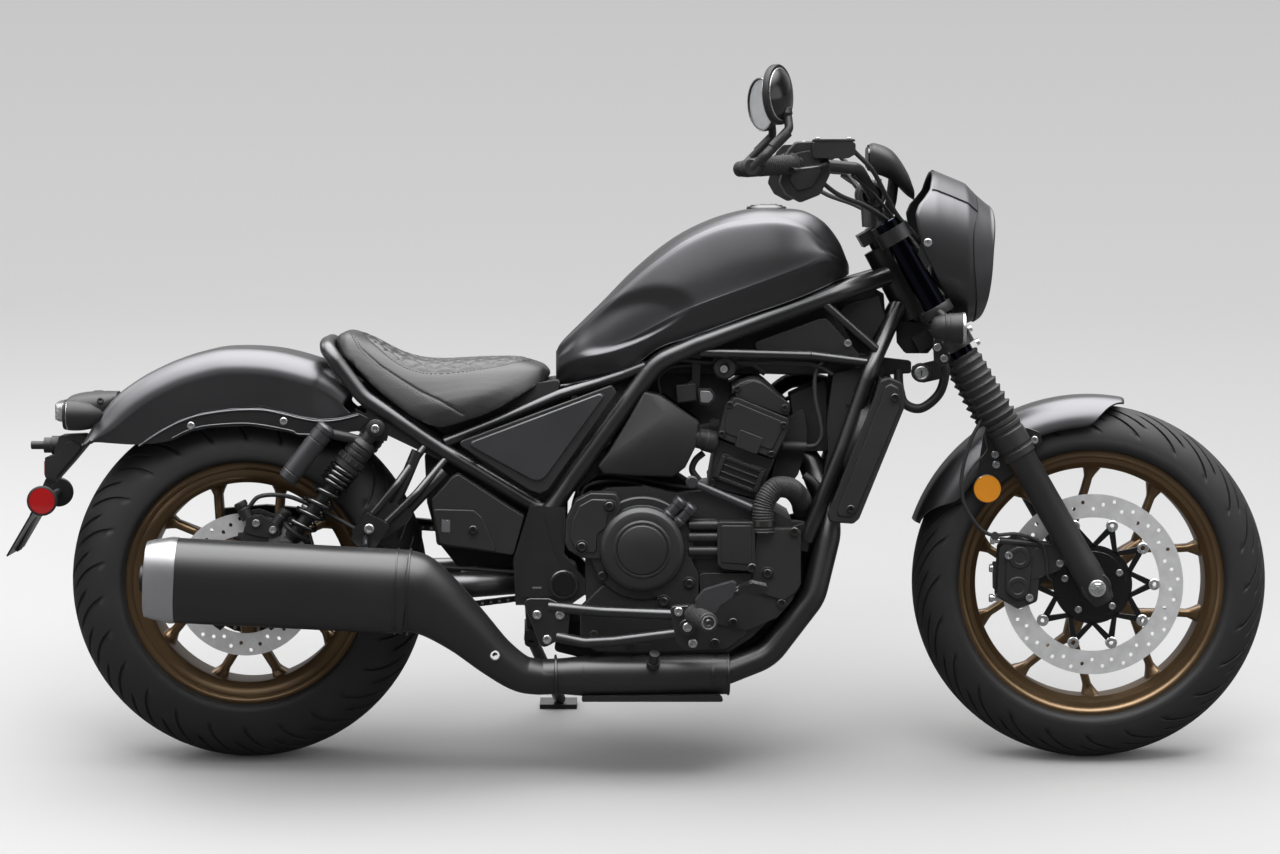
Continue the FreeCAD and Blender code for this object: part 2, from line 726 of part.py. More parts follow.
def fuel_tank():
    w = s.tank_half_width
    stations = [(562, 0, 726, 60, 30, 2.2), (600, 0, 752, 105, 44, 2.5), (680, 0, 795, 135, 70, 2.6),
                (779, 0, 856, w - 4, 92, 2.6), (860, 0, 893, w, 90, 2.6), (950, 0, 914, w, 80, 2.6),
                (1020, 0, 918, 130, 62, 2.5), (1062, 0, 910, 95, 34, 2.3), (1080, 0, 905, 60, 16, 2.2)]
    tank = lofted(stations)
    tubes = both_tubes(SPINE, 90, s.main_tube_r + 2)
    neck = rod((steering_x(780), 0, 780), (steering_x(990), 0, 990), s.neck_r + 6)
    tank = tank.cut(Part.makeCompound(tubes)).cut(neck).cut(Part.makeCompound(tank_mounts(s.seat_gap)))
    return feature("fuel_tank", max(tank.Solids, key=lambda solid: solid.Volume))


def seat():
    w = s.seat_half_width
    stations = [(163, 0, 765, 60, 6, 2.2), (187, 0, 759, 98, 18, 2.4), (240, 0, 718, 112, 30, 2.6),
                (300, 0, 690, w - 14, 30, 2.6), (380, 0, 676, w - 6, 42, 2.6),
                (460, 0, 684, w - 14, 36, 2.6),
                (525, 0, 703, 95, 18, 2.4), (543, 0, 706, 60, 8, 2.2)]
    return feature("seat", lofted(stations).cut(seat_mount(s.seat_gap)))


def rear_fender():
    half = s.rear_fender_half
    wall = s.rear_fender_wall

    def hood(drop, wide):
        rear = V(-291 + drop, 0, 575)
        crown = [V(-205, 0, 682 - drop), V(-12, 0, 746 - drop), V(100, 0, 733 - drop),
                 V(150, 0, 716 - drop)]
        arc = Part.BSplineCurve()
        arc.interpolate([rear] + crown)
        edges = [arc.toShape()]
        low = [V(150, 0, 600), V(84, 0, 600), V(13, 0, 613), V(-58, 0, 608), V(-126, 0, 586),
               V(-192, 0, 575)]
        if drop:
            low = [V(150, 0, 500), V(-291 + drop, 0, 500)]
        edges += [Part.LineSegment(a, b).toShape() for a, b in zip([crown[-1]] + low, low + [rear])]
        face = Part.Face(Part.Wire(edges))
        face.translate(V(0, -wide, 0))
        solid = face.extrude(V(0, 2 * wide, 0))
        top = [edge for edge in solid.Edges
               if edge.Curve.TypeId == "Part::GeomBSplineCurve" and abs(abs(edge.CenterOfMass.y) - wide) < 1]
        return solid.makeFillet(48.0 - drop, top)

    shell = hood(0, float(half)).cut(hood(float(wall), float(half - wall)))
    return feature("rear_fender", shell)


def tail_lamp():
    body = lofted([(-332, 0, 622, 52, 24, 2.8), (-300, 0, 629, 56, 34, 2.8), (-262, 0, 632, 54, 34, 2.8),
                   (-238, 0, 650, 40, 18, 2.4)])
    hood_cut = rear_fender_block()
    lens = lofted([(-346, 0, 629, 40, 18, 2.6), (-332.2, 0, 629, 46, 21, 2.6)])
    return feature("tail_lamp", joined([body.cut(hood_cut).Solids[0], lens]))


def rear_fender_block():
    """The room that the rear fender takes, a little larger than the fender."""
    points = [V(-292.5, 0, 573), V(-206, 0, 684), V(-12, 0, 748), V(120, 0, 730)]
    arc = Part.BSplineCurve()
    arc.interpolate(points)
    edges = [arc.toShape(), Part.LineSegment(points[-1], V(120, 0, 500)).toShape(),
             Part.LineSegment(V(120, 0, 500), V(-292.5, 0, 500)).toShape(),
             Part.LineSegment(V(-292.5, 0, 500), points[0]).toShape()]
    face = Part.Face(Part.Wire(edges))
    face.translate(V(0, -150, 0))
    return face.extrude(V(0, 300, 0))


def rear_signals():
    shapes = []
    for side in (-1, 1):
        bullet = turned([(0, 0), (0, 26), (14, 27), (40, 20), (60, 8), (64, 0)], (-304, side * 165, 631),
                        (1, 0, 0))
        stalk = rod((-284, side * 57, 629), (-284, side * 150, 631), 8)
        shapes.append(joined([bullet, stalk]))
    return feature("rear_signals", Part.makeCompound(shapes))


def plate_holder():
    arm = slab([(-286, 560), (-291.2, 574.7), (-318, 588), (-332, 584), (-366, 541), (-362, 500),
                (-424, 378), (-418, 374), (-352, 492),
                (-340, 504)], -28, 28)
    plate = slab([(-372, 470), (-428, 374), (-424, 372), (-366, 470)], -95, 95)
    lamp = Part.makeBox(34, 70, 16, V(-366, -35, 536))
    reflectors = [crosswise(-361, 474, 27, -104, -96), crosswise(-361, 474, 27, 96, 104)]
    stay = Part.makeBox(20, 200, 14, V(-372, -100, 464))
    return feature("plate_holder", joined([arm, plate, lamp, stay] + reflectors))


def side_panels():
    cover = [(392, 579), (636, 676), (649, 670), (541, 513), (531, 508), (512, 511), (396, 569)]
    lower = [(335, 480), (372, 521), (384, 521), (477, 462), (504.8, 448), (483.8, 380), (459, 383),
             (344, 397)]
    shapes = both_slabs(cover, -s.loop_tube_y - 26, -s.loop_tube_y - 40)
    shapes.append(slab(lower, -100, -s.loop_tube_y - 30))
    shapes.append(slab(lower, s.chain_y + 14, s.loop_tube_y + 30))
    return feature("side_panels", Part.makeCompound(shapes))


def panels_at_neck():
    front = [(behind(458), 806), (behind(445), 822), (behind(385), 838), (behind(374), 800),
             (behind(402), 752)]
    shapes = both_slabs(front, -44, -50)
    return feature("neck_panels", Part.makeCompound(shapes))


# Foot controls, chain and rear brake


def foot_controls():
    outer = s.pivot_plate_y + s.pivot_plate_thick
    shapes = []
    for side in (-1, 1):
        plate = slab([(496, 306), (545, 306), (584, 290), (581, 239), (532, 213)], side * (outer + 0.1),
                     side * (outer + 12))
        top = tube([(545, side * (outer + 6), 285), (620, side * (outer + 24), 284),
                    (795, side * 205, 281)], 40, 9)
        low = tube([(560, side * (outer + 6), 235), (610, side * (outer + 24), 228),
                    (795, side * 205, 250)], 40, 9)
        end = slab([(762, 296), (812, 296), (812, 222), (775, 232)], side * 197, side * 213)
        peg = rod((800, side * 213, 282), (812, side * 330, 282), 17)
        lever = tube([(790, side * 222, 262), (835, side * 226, 312), (880, side * 232, 336)], 20, 7)
        shapes.append(joined([plate, top, low, end, peg, lever,
                              Part.makeBox(54, 60, 12, V(872, side * 235 - 30, 326))]))
    return feature("foot_controls", Part.makeCompound(shapes))


def chain_loop():
    """Middle points and directions of the links, laid evenly round both sprockets."""
    rear_r = s.chain_pitch / (2 * math.sin(math.pi / s.rear_teeth))
    front_r = s.chain_pitch / (2 * math.sin(math.pi / s.front_teeth))
    rear = V(0, 0, rear_axle_z)
    front = V(s.front_sprocket_x, 0, s.front_sprocket_z)
    span = front - rear
    tilt = math.atan2(span.z, span.x)
    taper = math.asin((rear_r - front_r) / span.Length)
    run = math.sqrt(span.Length ** 2 - (rear_r - front_r) ** 2)
    rear_arc = (math.pi + 2 * taper) * rear_r
    front_arc = (math.pi - 2 * taper) * front_r
    total = 2 * run + rear_arc + front_arc
    count = 2 * round(total / s.chain_pitch / 2)
    step = total / count

    def at(distance):
        top = tilt + math.pi / 2 - taper
        low = tilt - math.pi / 2 + taper
        if distance < run:
            start = rear + V(math.cos(top), 0, math.sin(top)) * rear_r
            heading = top - math.pi / 2
            return start + V(math.cos(heading), 0, math.sin(heading)) * distance
        distance -= run
        if distance < front_arc:
            angle = top - distance / front_r
            return front + V(math.cos(angle), 0, math.sin(angle)) * front_r
        distance -= front_arc
        if distance < run:
            start = front + V(math.cos(low), 0, math.sin(low)) * front_r
            heading = low - math.pi / 2
            return start + V(math.cos(heading), 0, math.sin(heading)) * distance
        distance -= run
        angle = low - distance / rear_r
        return rear + V(math.cos(angle), 0, math.sin(angle)) * rear_r

    return [at(step * number) for number in range(count)]


def drive_chain():
    pins = chain_loop()
    links = []
    for number, pin in enumerate(pins):
        other = pins[(number + 1) % len(pins)]
        run = other - pin
        half = 9 if number % 2 else 6.5
        link = Part.makeBox(run.Length + 2, 2 * half, 13, V(-1, -half, -6.5))
        turn = FreeCAD.Rotation(V(0, 1, 0), -math.degrees(math.atan2(run.z, run.x)))
        link.Placement = FreeCAD.Placement(V(pin.x, s.chain_y, pin.z), turn)
        links.append(link)
    return feature("drive_chain", joined(links))


def chain_guard():
    z = rear_axle_z
    top = slab([(-60, z + 121), (20, z + 128), (480, z + 86), (480, z + 82), (20, z + 124),
                (-60, z + 117)],
               s.chain_y - 12, s.chain_y + 12)
    outer = slab([(-60, z + 121), (20, z + 128), (480, z + 86), (480, z + 70), (20, z + 95),
                  (-60, z + 100)],
                 s.chain_y + 10.5, s.chain_y + 12)
    feet = [Part.makeBox(14, 24, 74, V(x, s.chain_y + 11, z + 10)) for x in (170, 290)]
    whole = joined([top, outer] + feet).cut(tube(arm_path(1), 60, s.arm_r + 0.2))
    return feature("chain_guard", max(whole.Solids, key=lambda solid: solid.Volume))


def rear_caliper():
    y = -s.rear_disc_y
    z = rear_axle_z
    block = slab([(5, z + 95), (5, z + 146), (60, z + 138), (66, z + 112), (50, z + 92)], y - 20, y + 18)
    gap = crosswise(0, z, s.rear_disc_r + 6, y - 5, y + 5)
    arm = slab([(-16, z - 18), (-22, z + 10), (4, z + 120), (50, z + 112), (22, z + 10), (16, z - 18)],
               y - 20, y - 12)
    hole = crosswise(0, z, s.axle_r + s.fit_gap, y - 40, y + 40)
    return feature("rear_caliper", joined([block, arm]).cut(gap).cut(hole))


# Steering


def clamp(z, thick, tube_hole, stem_hole=None):
    """One fork clamp, square to the legs, with its two leg holes."""
    lean_back = math.radians(s.fork_angle)
    up = V(-math.sin(lean_back), 0, math.cos(lean_back))
    middle = V(steering_x(z), 0, z)
    span = float(s.fork_half_span)
    solids = []
    for side in (-1, 1):
        centre = leg_point(z, side)
        solids.append(Part.makeCylinder(float(s.fork_tube_r) + 10, thick, centre - up * (thick / 2), up))
    ahead = (leg_point(z, 1).x - middle.x) * math.cos(lean_back)
    bar = Part.makeBox(34, 2 * span, thick * 0.8, V(ahead - 30, -span, -thick * 0.4))
    hub = Part.makeBox(60, 90, thick * 0.9, V(-26, -45, -thick * 0.45))
    for block in (bar, hub):
        block.Placement = FreeCAD.Placement(middle, FreeCAD.Rotation(V(0, 1, 0), -float(s.fork_angle)))
        solids.append(block)
    whole = joined(solids)
    for side in (-1, 1):
        centre = leg_point(z, side)
        whole = whole.cut(Part.makeCylinder(tube_hole, 3 * thick, centre - up * (1.5 * thick), up))
    return whole


def triple_clamps():
    hole = float(s.fork_tube_r + s.fit_gap)
    low = clamp(float(lower_clamp_z), 34, hole)
    top = clamp(float(upper_clamp_z), 26, hole)
    stem = rod((steering_x(lower_clamp_z), 0, lower_clamp_z),
               (steering_x(upper_clamp_z), 0, upper_clamp_z),
               s.stem_r)
    risers = []
    for side in (-1, 1):
        risers.append(rod((behind(393), side * 45, 962), (behind(398), side * 45, 1036), 17))
    whole = joined([low, top, stem] + risers)
    bar = crosswise(behind(398), 1019, s.bar_r + s.fit_gap, -100, 100)
    return feature("triple_clamps", whole.cut(bar))


def fork_tubes():
    shapes = []
    for side in (-1, 1):
        shapes.append(leg_rod(520, fork_top_z, s.fork_tube_r, side))
    return feature("fork_tubes", Part.makeCompound(shapes))


def fork_sliders():
    shapes = []
    for side in (-1, 1):
        leg = leg_rod(front_axle_z + 15, s.slider_top_z, s.slider_r, side)
        low, high = sorted((side * 92, side * 128))
        foot = crosswise(s.wheelbase, front_axle_z, 27, low, high)
        whole = joined([leg, foot])
        whole = whole.cut(leg_rod(519.8, 700, s.fork_tube_r + s.fit_gap, side))
        whole = whole.cut(crosswise(s.wheelbase, front_axle_z, s.axle_r + s.fit_gap, -200, 200))
        shapes.append(whole)
    return feature("fork_sliders", Part.makeCompound(shapes))


def fork_boots():
    shapes = []
    low, high = float(s.slider_top_z) + 0.4, float(lower_clamp_z) - 26
    for side in (-1, 1):
        base = leg_point(low, side)
        run = leg_point(high, side) - base
        folds = 8
        step = run.Length / folds
        r = float(s.boot_r)
        inner = float(s.fork_tube_r) + 0.3
        profile = [(0, inner), (0, r - 6)]
        for fold in range(folds):
            profile.append((step * (fold + 0.5), r - fold * 0.4))
            profile.append((step * (fold + 1), r - 6 - fold * 0.4))
        profile.append((run.Length, inner))
        shapes.append(turned(profile, base, run))
    return feature("fork_boots", Part.makeCompound(shapes))


def handlebar_path():
    right = [(behind(398), -92, 1019), (behind(430), -170, 1066), (behind(535), -272, 1074),
             (behind(612), -398, 1068)]
    return [mirrored(point) for point in reversed(right)] + right


def handlebar():
    return feature("handlebar", tube(handlebar_path(), 45, s.bar_r))


def hand_controls():
    path = handlebar_path()
    end, start = V(*path[-1]), V(*path[-2])
    run = end - start
    length = run.Length
    run.normalize()
    shapes = []
    grip = rod(start + run * 35, end + run * 2, s.grip_r)
    pod = rod(start + run * 4, start + run * 34, 24)
    weight = rod(end + run * 1.5, end + run * 8, 16)
    box = Part.makeBox(58, 52, 34, V(behind(520), -318, 1082))
    lever = tube([start + run * 22 + V(30, 0, 6), start + run * 40 + V(62, -10, 2),
                  start + run * 130 + V(50, 0, -6)], 25, 5)
    join = rod(start + run * 20, start + run * 22 + V(32, 0, 6), 9)
    post = rod(start + run * 20, (behind(495), -292, 1090), 9)
    whole = joined([grip, pod, weight, box, lever, join, post])
    bore = rod(start - run * 40, end + run * 0.6, s.bar_r + s.fit_gap)
    whole = whole.cut(bore)
    for side in (-1, 1):
        shapes.append(whole if side < 0 else whole.mirror(V(0, 0, 0), V(0, 1, 0)))
    return feature("hand_controls", Part.makeCompound(shapes))


def mirrors():
    """Each mirror on an arm that is clamped to the end of the handlebar."""
    path = handlebar_path()
    end = V(*path[-1])
    run = end - V(*path[-2])
    run.normalize()
    clamp_low, clamp_high = end + run * 8.3, end + run * 23
    middle = (clamp_low + clamp_high) * 0.5
    shapes = []
    for side in (-1, 1):
        head = turned([(0, 0), (0, 48), (5, 51), (18, 45), (26, 20), (28, 0)], (behind(582), side * 398, 1192),
                      (1, 0, 0))
        places = [(behind(560), -412, 1129), (behind(562), -402, 1152), (behind(567), -399, 1166)]
        places = [(middle.x, middle.y, middle.z), (middle.x + 19, middle.y - 12.5, middle.z + 19)] + places
        hinge = rod(clamp_low, clamp_high, 15)
        if side > 0:
            places = [mirrored(place) for place in places]
            hinge = hinge.mirror(V(0, 0, 0), V(0, 1, 0))
        shapes.append(joined([head, hinge, tube(places, 12, 7)]))
    return feature("mirrors", Part.makeCompound(shapes))


def headlamp():
    bowl = turned([(0, 0), (0, 40), (30, 70), (62, 79), (95, 81), (99, 76), (106, 40), (108, 0)],
                  (behind(290), 0, 902),
                  (1, 0, -0.03))
    stalk = rod((behind(258), 0, 845), (behind(269), 0, 776), 9)
    whole = joined([bowl, stalk]).cut(clamp(float(lower_clamp_z), 34, float(s.fork_tube_r)))
    return feature("headlamp", whole.Solids[0])


def headlamp_cowl():
    stations = [(behind(340), 0, 952, 128, 104, 2.4), (behind(258), 0, 930, 122, 112, 2.5),
                (behind(215), 0, 916, 112, 108, 2.6),
                (behind(184), 0, 908, 100, 96, 2.6)]
    inner = [(behind(350), 0, 952, 124, 100, 2.4), (behind(258), 0, 930, 117, 107, 2.5),
             (behind(215), 0, 916, 107, 103, 2.6),
             (behind(170), 0, 906, 93, 89, 2.6)]
    shell = lofted(stations).cut(lofted(inner))
    back = slab([(behind(286), 1100), (behind(292), 1020), (behind(322), 986), (behind(328), 944),
                 (fork_x(900) + 27, 900),
                 (fork_x(700) + 27, 700), (900, 700), (900, 1100)], -200, 200)
    shell = shell.cut(back).cut(rod((behind(256), 0, 860), (behind(270), 0, 770), 9.4))
    brackets = []
    for side in (-1, 1):
        ring = leg_rod(878, 900, s.fork_tube_r + 6, side)
        tab = Part.makeBox(30, 3, 22, V(behind(313), side * 112 - 1.5, 878))
        brackets.append(joined([ring, tab]).cut(leg_rod(800, 960, s.fork_tube_r + s.fit_gap, side)))
    return feature("headlamp_cowl", joined([shell] + brackets))


def instrument():
    body = lofted([(behind(400), 0, 1085, 52, 14, 2.6), (behind(388), 0, 1084, 60, 26, 2.6),
                   (behind(360), 0, 1072, 62, 28, 2.6),
                   (behind(334), 0, 1040, 50, 24, 2.4), (behind(320), 0, 1018, 30, 10, 2.2)])
    stay = tube([(behind(355), 0, 1050), (behind(360), 0, 1010), (behind(370), 0, 968)], 15, 10)
    whole = joined([body, stay]).cut(clamp(float(upper_clamp_z), 26, float(s.fork_tube_r)))
    return feature("instrument", max(whole.Solids, key=lambda solid: solid.Volume))


def front_fender():
    """The fender's section turned about the front axle, from behind the tyre to just past its top."""
    half = float(s.front_fender_half)
    r = float(s.front_fender_r)
    wall = float(s.front_fender_wall)
    x = float(s.wheelbase)
    outer = [(-half, r - 54), (-half, r - 42), (-half + 12, r - 18), (-half + 42, r - 3),
             (half - 42, r - 3),
             (half - 12, r - 18), (half, r - 42), (half, r - 54)]
    inner = [(half - wall, r - 54), (half - wall, r - 43), (half - 15, r - 21), (half - 44, r - 7),
             (-half + 44, r - 7),
             (-half + 15, r - 21), (-half + wall, r - 43), (-half + wall, r - 54)]
    points = [V(x - radius, y, front_axle_z) for y, radius in outer + inner]
    face = Part.Face(Part.makePolygon(points + points[:1]))
    face.rotate(V(x, 0, front_axle_z), V(0, 1, 0), -(-20.5))
    shell = face.revolve(V(x, 0, front_axle_z), V(0, 1, 0), 79)
    stays = []
    for side in (-1, 1):
        z = 582
        low, high = sorted((side * (half - wall), side * (s.fork_half_span - s.slider_r + 2)))
        stay = crosswise(fork_x(z) + 8, z, 12, low, high)
        stays.append(stay)
    whole = joined([shell] + stays)
    for side in (-1, 1):
        whole = whole.cut(leg_rod(front_axle_z + 20, s.slider_top_z + 20, s.slider_r + 0.3, side))
    return feature("front_fender", whole)


def front_signals():
    shapes = []
    for side in (-1, 1):
        bullet = turned([(0, 0), (8, 20), (30, 27), (56, 28), (62, 26), (62, 0)],
                        (behind(303), side * 192, 786), (1, 0, 0))
        ring = leg_rod(806, 822, s.fork_tube_r + 6, side)
        arm = tube([leg_point(814, side) + V(0, side * 24, 0), (behind(272), side * 150, 798),
                    (behind(270), side * 180, 788)], 8, 7)
        whole = joined([bullet, arm, ring]).cut(leg_rod(700, 900, s.fork_tube_r + s.fit_gap, side))
        shapes.append(whole)
    return feature("front_signals", Part.makeCompound(shapes))


def front_caliper():
    y = -s.front_disc_y
    x = float(s.wheelbase)
    z = front_axle_z
    block = slab([(x - 172, z + 72), (x - 138, z + 92), (x - 92, z + 62), (x - 100, z - 30),
                  (x - 135, z - 44),
                  (x - 176, z - 20)], y - 27, y + 22)
    gap = crosswise(x, z, s.front_disc_r + 4, y - 5.5, y + 5.5)
    lug = slab([(x - 110, z + 60), (x - 40, z + 80), (x - 62, z + 30), (x - 110, z - 10)], y - 27, y - 16)
    whole = joined([block, lug]).cut(gap)
    whole = whole.cut(leg_rod(front_axle_z - 60, s.slider_top_z, s.slider_r + 0.3, -1))
    return feature("front_caliper", whole.Solids[0])


def front_axle():
    shapes = [crosswise(s.wheelbase, front_axle_z, s.axle_r, -134, 134),
              crosswise(s.wheelbase, front_axle_z, 15, 128.2, 136),
              crosswise(s.wheelbase, front_axle_z, 15, -136, -128.2)]
    return feature("front_axle", joined(shapes))


# Wheels


def tyre(label, x, z, outer_r, crown_r, half, bead_r, rim_half):
    """A tyre turned from bands: its crown's corners lie on the crown circle at odd multiples of the lean."""
    body = new_body(label)
    crown = []
    for step in (-5, -3, -1, 1, 3, 5):
        angle = step * LEAN
        crown.append((crown_r * math.sin(angle), outer_r - crown_r + crown_r * math.cos(angle)))
    side_r = outer_r - crown_r * 1.05
    inside = rim_half - 8 - s.seat_gap
    shoulder = [(half, side_r), (rim_half + 4, bead_r + 30), (inside, bead_r + 14 + s.seat_gap),
                (inside, bead_r)]
    profile = crown + shoulder + [(-y, radius) for y, radius in reversed(shoulder)]
    lathe(body, x, z, profile)
    return body


def rim(label, x, z, bead_r, rim_half, hub_r, hub_half, spokes, spoke_shape):
    """A cast wheel: the rim's channel, the hub, and spokes repeated round the axle."""
    body = new_body(label)
    bore = s.axle_r + s.fit_gap
    inner_r = bead_r - 22
    lathe(body, x, z, [(-rim_half, bead_r + 14), (-rim_half, bead_r - 8), (-rim_half + 14, inner_r),
                       (rim_half - 14, inner_r), (rim_half, bead_r - 8), (rim_half, bead_r + 14),
                       (rim_half - 8, bead_r + 14), (rim_half - 8, bead_r - s.seat_gap),
                       (-rim_half + 8, bead_r - s.seat_gap), (-rim_half + 8, bead_r + 14)])
    first = None
    for outline, half in spoke_shape:
        drawn = new_sketch(body, "XZ_Plane", (x, z, -half))
        draw_outline(drawn, outline)
        made = pad(body, drawn, 2 * half)
        polar(body, [made], drawn, spokes)
    lathe(body, x, z, [(-hub_half, bore), (-hub_half, hub_r), (hub_half, hub_r), (hub_half, bore)])
    doc.recompute()
    return body


def front_tyre():
    return tyre("front_tyre", s.wheelbase, front_axle_z, s.front_tyre_r, s.front_crown_r,
                s.front_tyre_half,
                s.front_bead_r, s.front_rim_half)


def rear_tyre():
    return tyre("rear_tyre", 0, rear_axle_z, s.rear_tyre_r, s.rear_crown_r, s.rear_tyre_half,
                s.rear_bead_r, s.rear_rim_half)


def front_rim():
    reach = s.front_bead_r - 20
    stem = [(s.front_hub_r - 8, -16), (112, -10), (112, 10), (s.front_hub_r - 8, 16)]
    upper = [(97, 8), (109, -8), (reach, 62), (reach - 9, 77)]
    lower = [(x, -z) for x, z in reversed(upper)]
    return rim("front_rim", s.wheelbase, front_axle_z, s.front_bead_r, s.front_rim_half, s.front_hub_r,
               s.front_hub_half, 5, [(stem, 22), (upper, 14), (lower, 14)])


def rear_rim():
    reach = s.rear_bead_r - 18
    outline = [(s.rear_hub_r - 8, -12), (reach, -9), (reach, 9), (s.rear_hub_r - 8, 12)]
    return rim("rear_rim", 0, rear_axle_z, s.rear_bead_r, s.rear_rim_half, s.rear_hub_r,
               s.rear_hub_half, 10, [(outline, 16)])


def front_disc():
    body = new_body("front_disc")
    x, z, y = s.wheelbase, front_axle_z, -s.front_disc_y
    t = s.disc_thickness / 2
    lathe(body, x, z, [(y - t, s.front_disc_inner_r), (y - t, s.front_disc_r), (y + t, s.front_disc_r),
                       (y + t, s.front_disc_inner_r)])
    drawn = new_sketch(body, "XZ_Plane", (x, z, s.front_disc_y - t))
    draw_outline(drawn, [(52, -8), (s.front_disc_inner_r + 3, -5), (s.front_disc_inner_r + 3, 5),
                         (52, 8)])
    made = pad(body, drawn, s.disc_thickness)
    polar(body, [made], drawn, 10)
    lathe(body, x, z, [(y - t, s.axle_r + 6), (y - t, 60), (y + t, 60), (s.front_hub_half * -1 - 0.1, 58),
                       (s.front_hub_half * -1 - 0.1, s.axle_r + 6)])
    doc.recompute()
    return body


def rear_disc():
    body = new_body("rear_disc")
    z, y = rear_axle_z, -s.rear_disc_y
    t = s.disc_thickness / 2
    lathe(body, 0, z, [(y - t, 92), (y - t, s.rear_disc_r), (y + t, s.rear_disc_r), (y + t, 92)])
    drawn = new_sketch(body, "XZ_Plane", (0, z, s.rear_disc_y - t))
    draw_outline(drawn, [(48, -9), (95, -6), (95, 6), (48, 9)])
    made = pad(body, drawn, s.disc_thickness)
    polar(body, [made], drawn, 5)
    lathe(body, 0, z, [(y - t, s.axle_r + 6), (y - t, 56), (-s.rear_hub_half - 0.1, 56),
                       (-s.rear_hub_half - 0.1, s.axle_r + 6)])
    doc.recompute()
    return body


def rear_sprocket():
    body = new_body("rear_sprocket")
    root_r = s.chain_pitch / (2 * math.sin(math.pi / s.rear_teeth)) - 12.5
    y = s.chain_y
    lathe(body, 0, rear_axle_z, [(y - 3, 70), (y - 3, root_r), (y + 3, root_r), (y + 3, 70)])
    lathe(body, 0, rear_axle_z, [(s.rear_hub_half + 0.1, s.axle_r + 8), (s.rear_hub_half + 0.1, 60),
                                 (y - 5, 74),
                                 (y + 3, 74), (y + 3, s.axle_r + 8)])
    doc.recompute()
    return body


# Side stand


def side_stand():
    pivot, foot, pin = stand_frame()
    eye = Part.makeCylinder(13, 10, pivot - pin * 5, pin)
    rest = FreeCAD.Rotation(V(1, 0, 0), -float(s.lean))
    leg_end = foot + V(0, -4, 12)
    leg = rod(pivot + (foot - pivot) * 0.03, leg_end, s.stand_tube_r)
    pad_box = Part.makeBox(70, 42, 9, V(-38, -20, 0))
    pad_box.Placement = FreeCAD.Placement(foot, rest.inverted())
    hole = rod(pivot - pin * 30, pivot + pin * 30, 5 + float(s.fit_gap))
    leg = leg.cut(Part.makeCompound([
        Part.makeCylinder(17, 20, pivot + pin * 5.01, pin),
                                     Part.makeCylinder(17, 20, pivot - pin * 5.01, pin * -1)]))
    return feature("side_stand", joined([eye, leg, pad_box]).cut(hole))


MAKERS = (
    main_frame, rear_subframe, swingarm, rear_axle, pivot_bolt, rear_shocks, shock_springs,
    crankcase, cylinder_head, engine_covers, intake_cover, radiator, exhaust_pipes, muffler,
    fuel_tank, seat, rear_fender, tail_lamp, rear_signals, plate_holder, side_panels, panels_at_neck,
    foot_controls, drive_chain, chain_guard, rear_caliper,
    triple_clamps, fork_tubes, fork_sliders, fork_boots, handlebar, hand_controls, mirrors, headlamp,
    headlamp_cowl, instrument, front_fender, front_signals, front_caliper, front_axle,
    front_tyre, front_rim, front_disc, rear_tyre, rear_rim, rear_disc, rear_sprocket, side_stand,
)
for maker in MAKERS:
    maker()
doc.recompute()

for item in doc.Objects:
    if "Invalid" in item.State or "Error" in item.State:
        raise RuntimeError("failed: " + item.Label)
for item in sub_parts:
    if item.Shape.isNull() or not item.Shape.isValid() or not item.Shape.Solids:
        raise RuntimeError("no valid solid: " + item.Label)

os.makedirs("parts", exist_ok=True)
for item in sub_parts:
    item.Shape.exportStep("parts/%s.step" % item.Label)
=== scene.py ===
"""Cruiser motorcycle: the surfaces and finishes of its parts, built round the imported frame.

Every shape is worked out upright in metres, X forward from the rear axle, Y to the rider's left,
Z up from the floor, and then leaned as the motorcycle parks.
"""

import math

import bmesh
import bpy
import numpy as np
from mathutils import Matrix
from mathutils.bvhtree import BVHTree


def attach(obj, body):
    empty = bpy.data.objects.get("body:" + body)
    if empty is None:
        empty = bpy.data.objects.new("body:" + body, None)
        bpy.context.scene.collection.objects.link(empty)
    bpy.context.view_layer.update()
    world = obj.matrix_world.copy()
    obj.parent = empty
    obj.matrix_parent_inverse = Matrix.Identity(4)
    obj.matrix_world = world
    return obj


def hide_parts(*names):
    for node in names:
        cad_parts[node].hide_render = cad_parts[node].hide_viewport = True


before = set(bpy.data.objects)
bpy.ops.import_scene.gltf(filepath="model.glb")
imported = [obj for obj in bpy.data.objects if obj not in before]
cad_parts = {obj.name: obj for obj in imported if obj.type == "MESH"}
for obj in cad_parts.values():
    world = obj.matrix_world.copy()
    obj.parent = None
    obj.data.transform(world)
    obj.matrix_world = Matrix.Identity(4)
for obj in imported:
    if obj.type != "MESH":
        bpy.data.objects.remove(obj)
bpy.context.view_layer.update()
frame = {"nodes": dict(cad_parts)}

bl_info = {
    "name": "Cruiser Motorcycle",
    "version": (1, 0, 0),
    "blender": (4, 5, 0),
    "location": "View3D > Sidebar > Cruiser",
    "description": "Builds the surfaces and finishes of a cruiser motorcycle round its packed frame",
    "category": "Object",
}

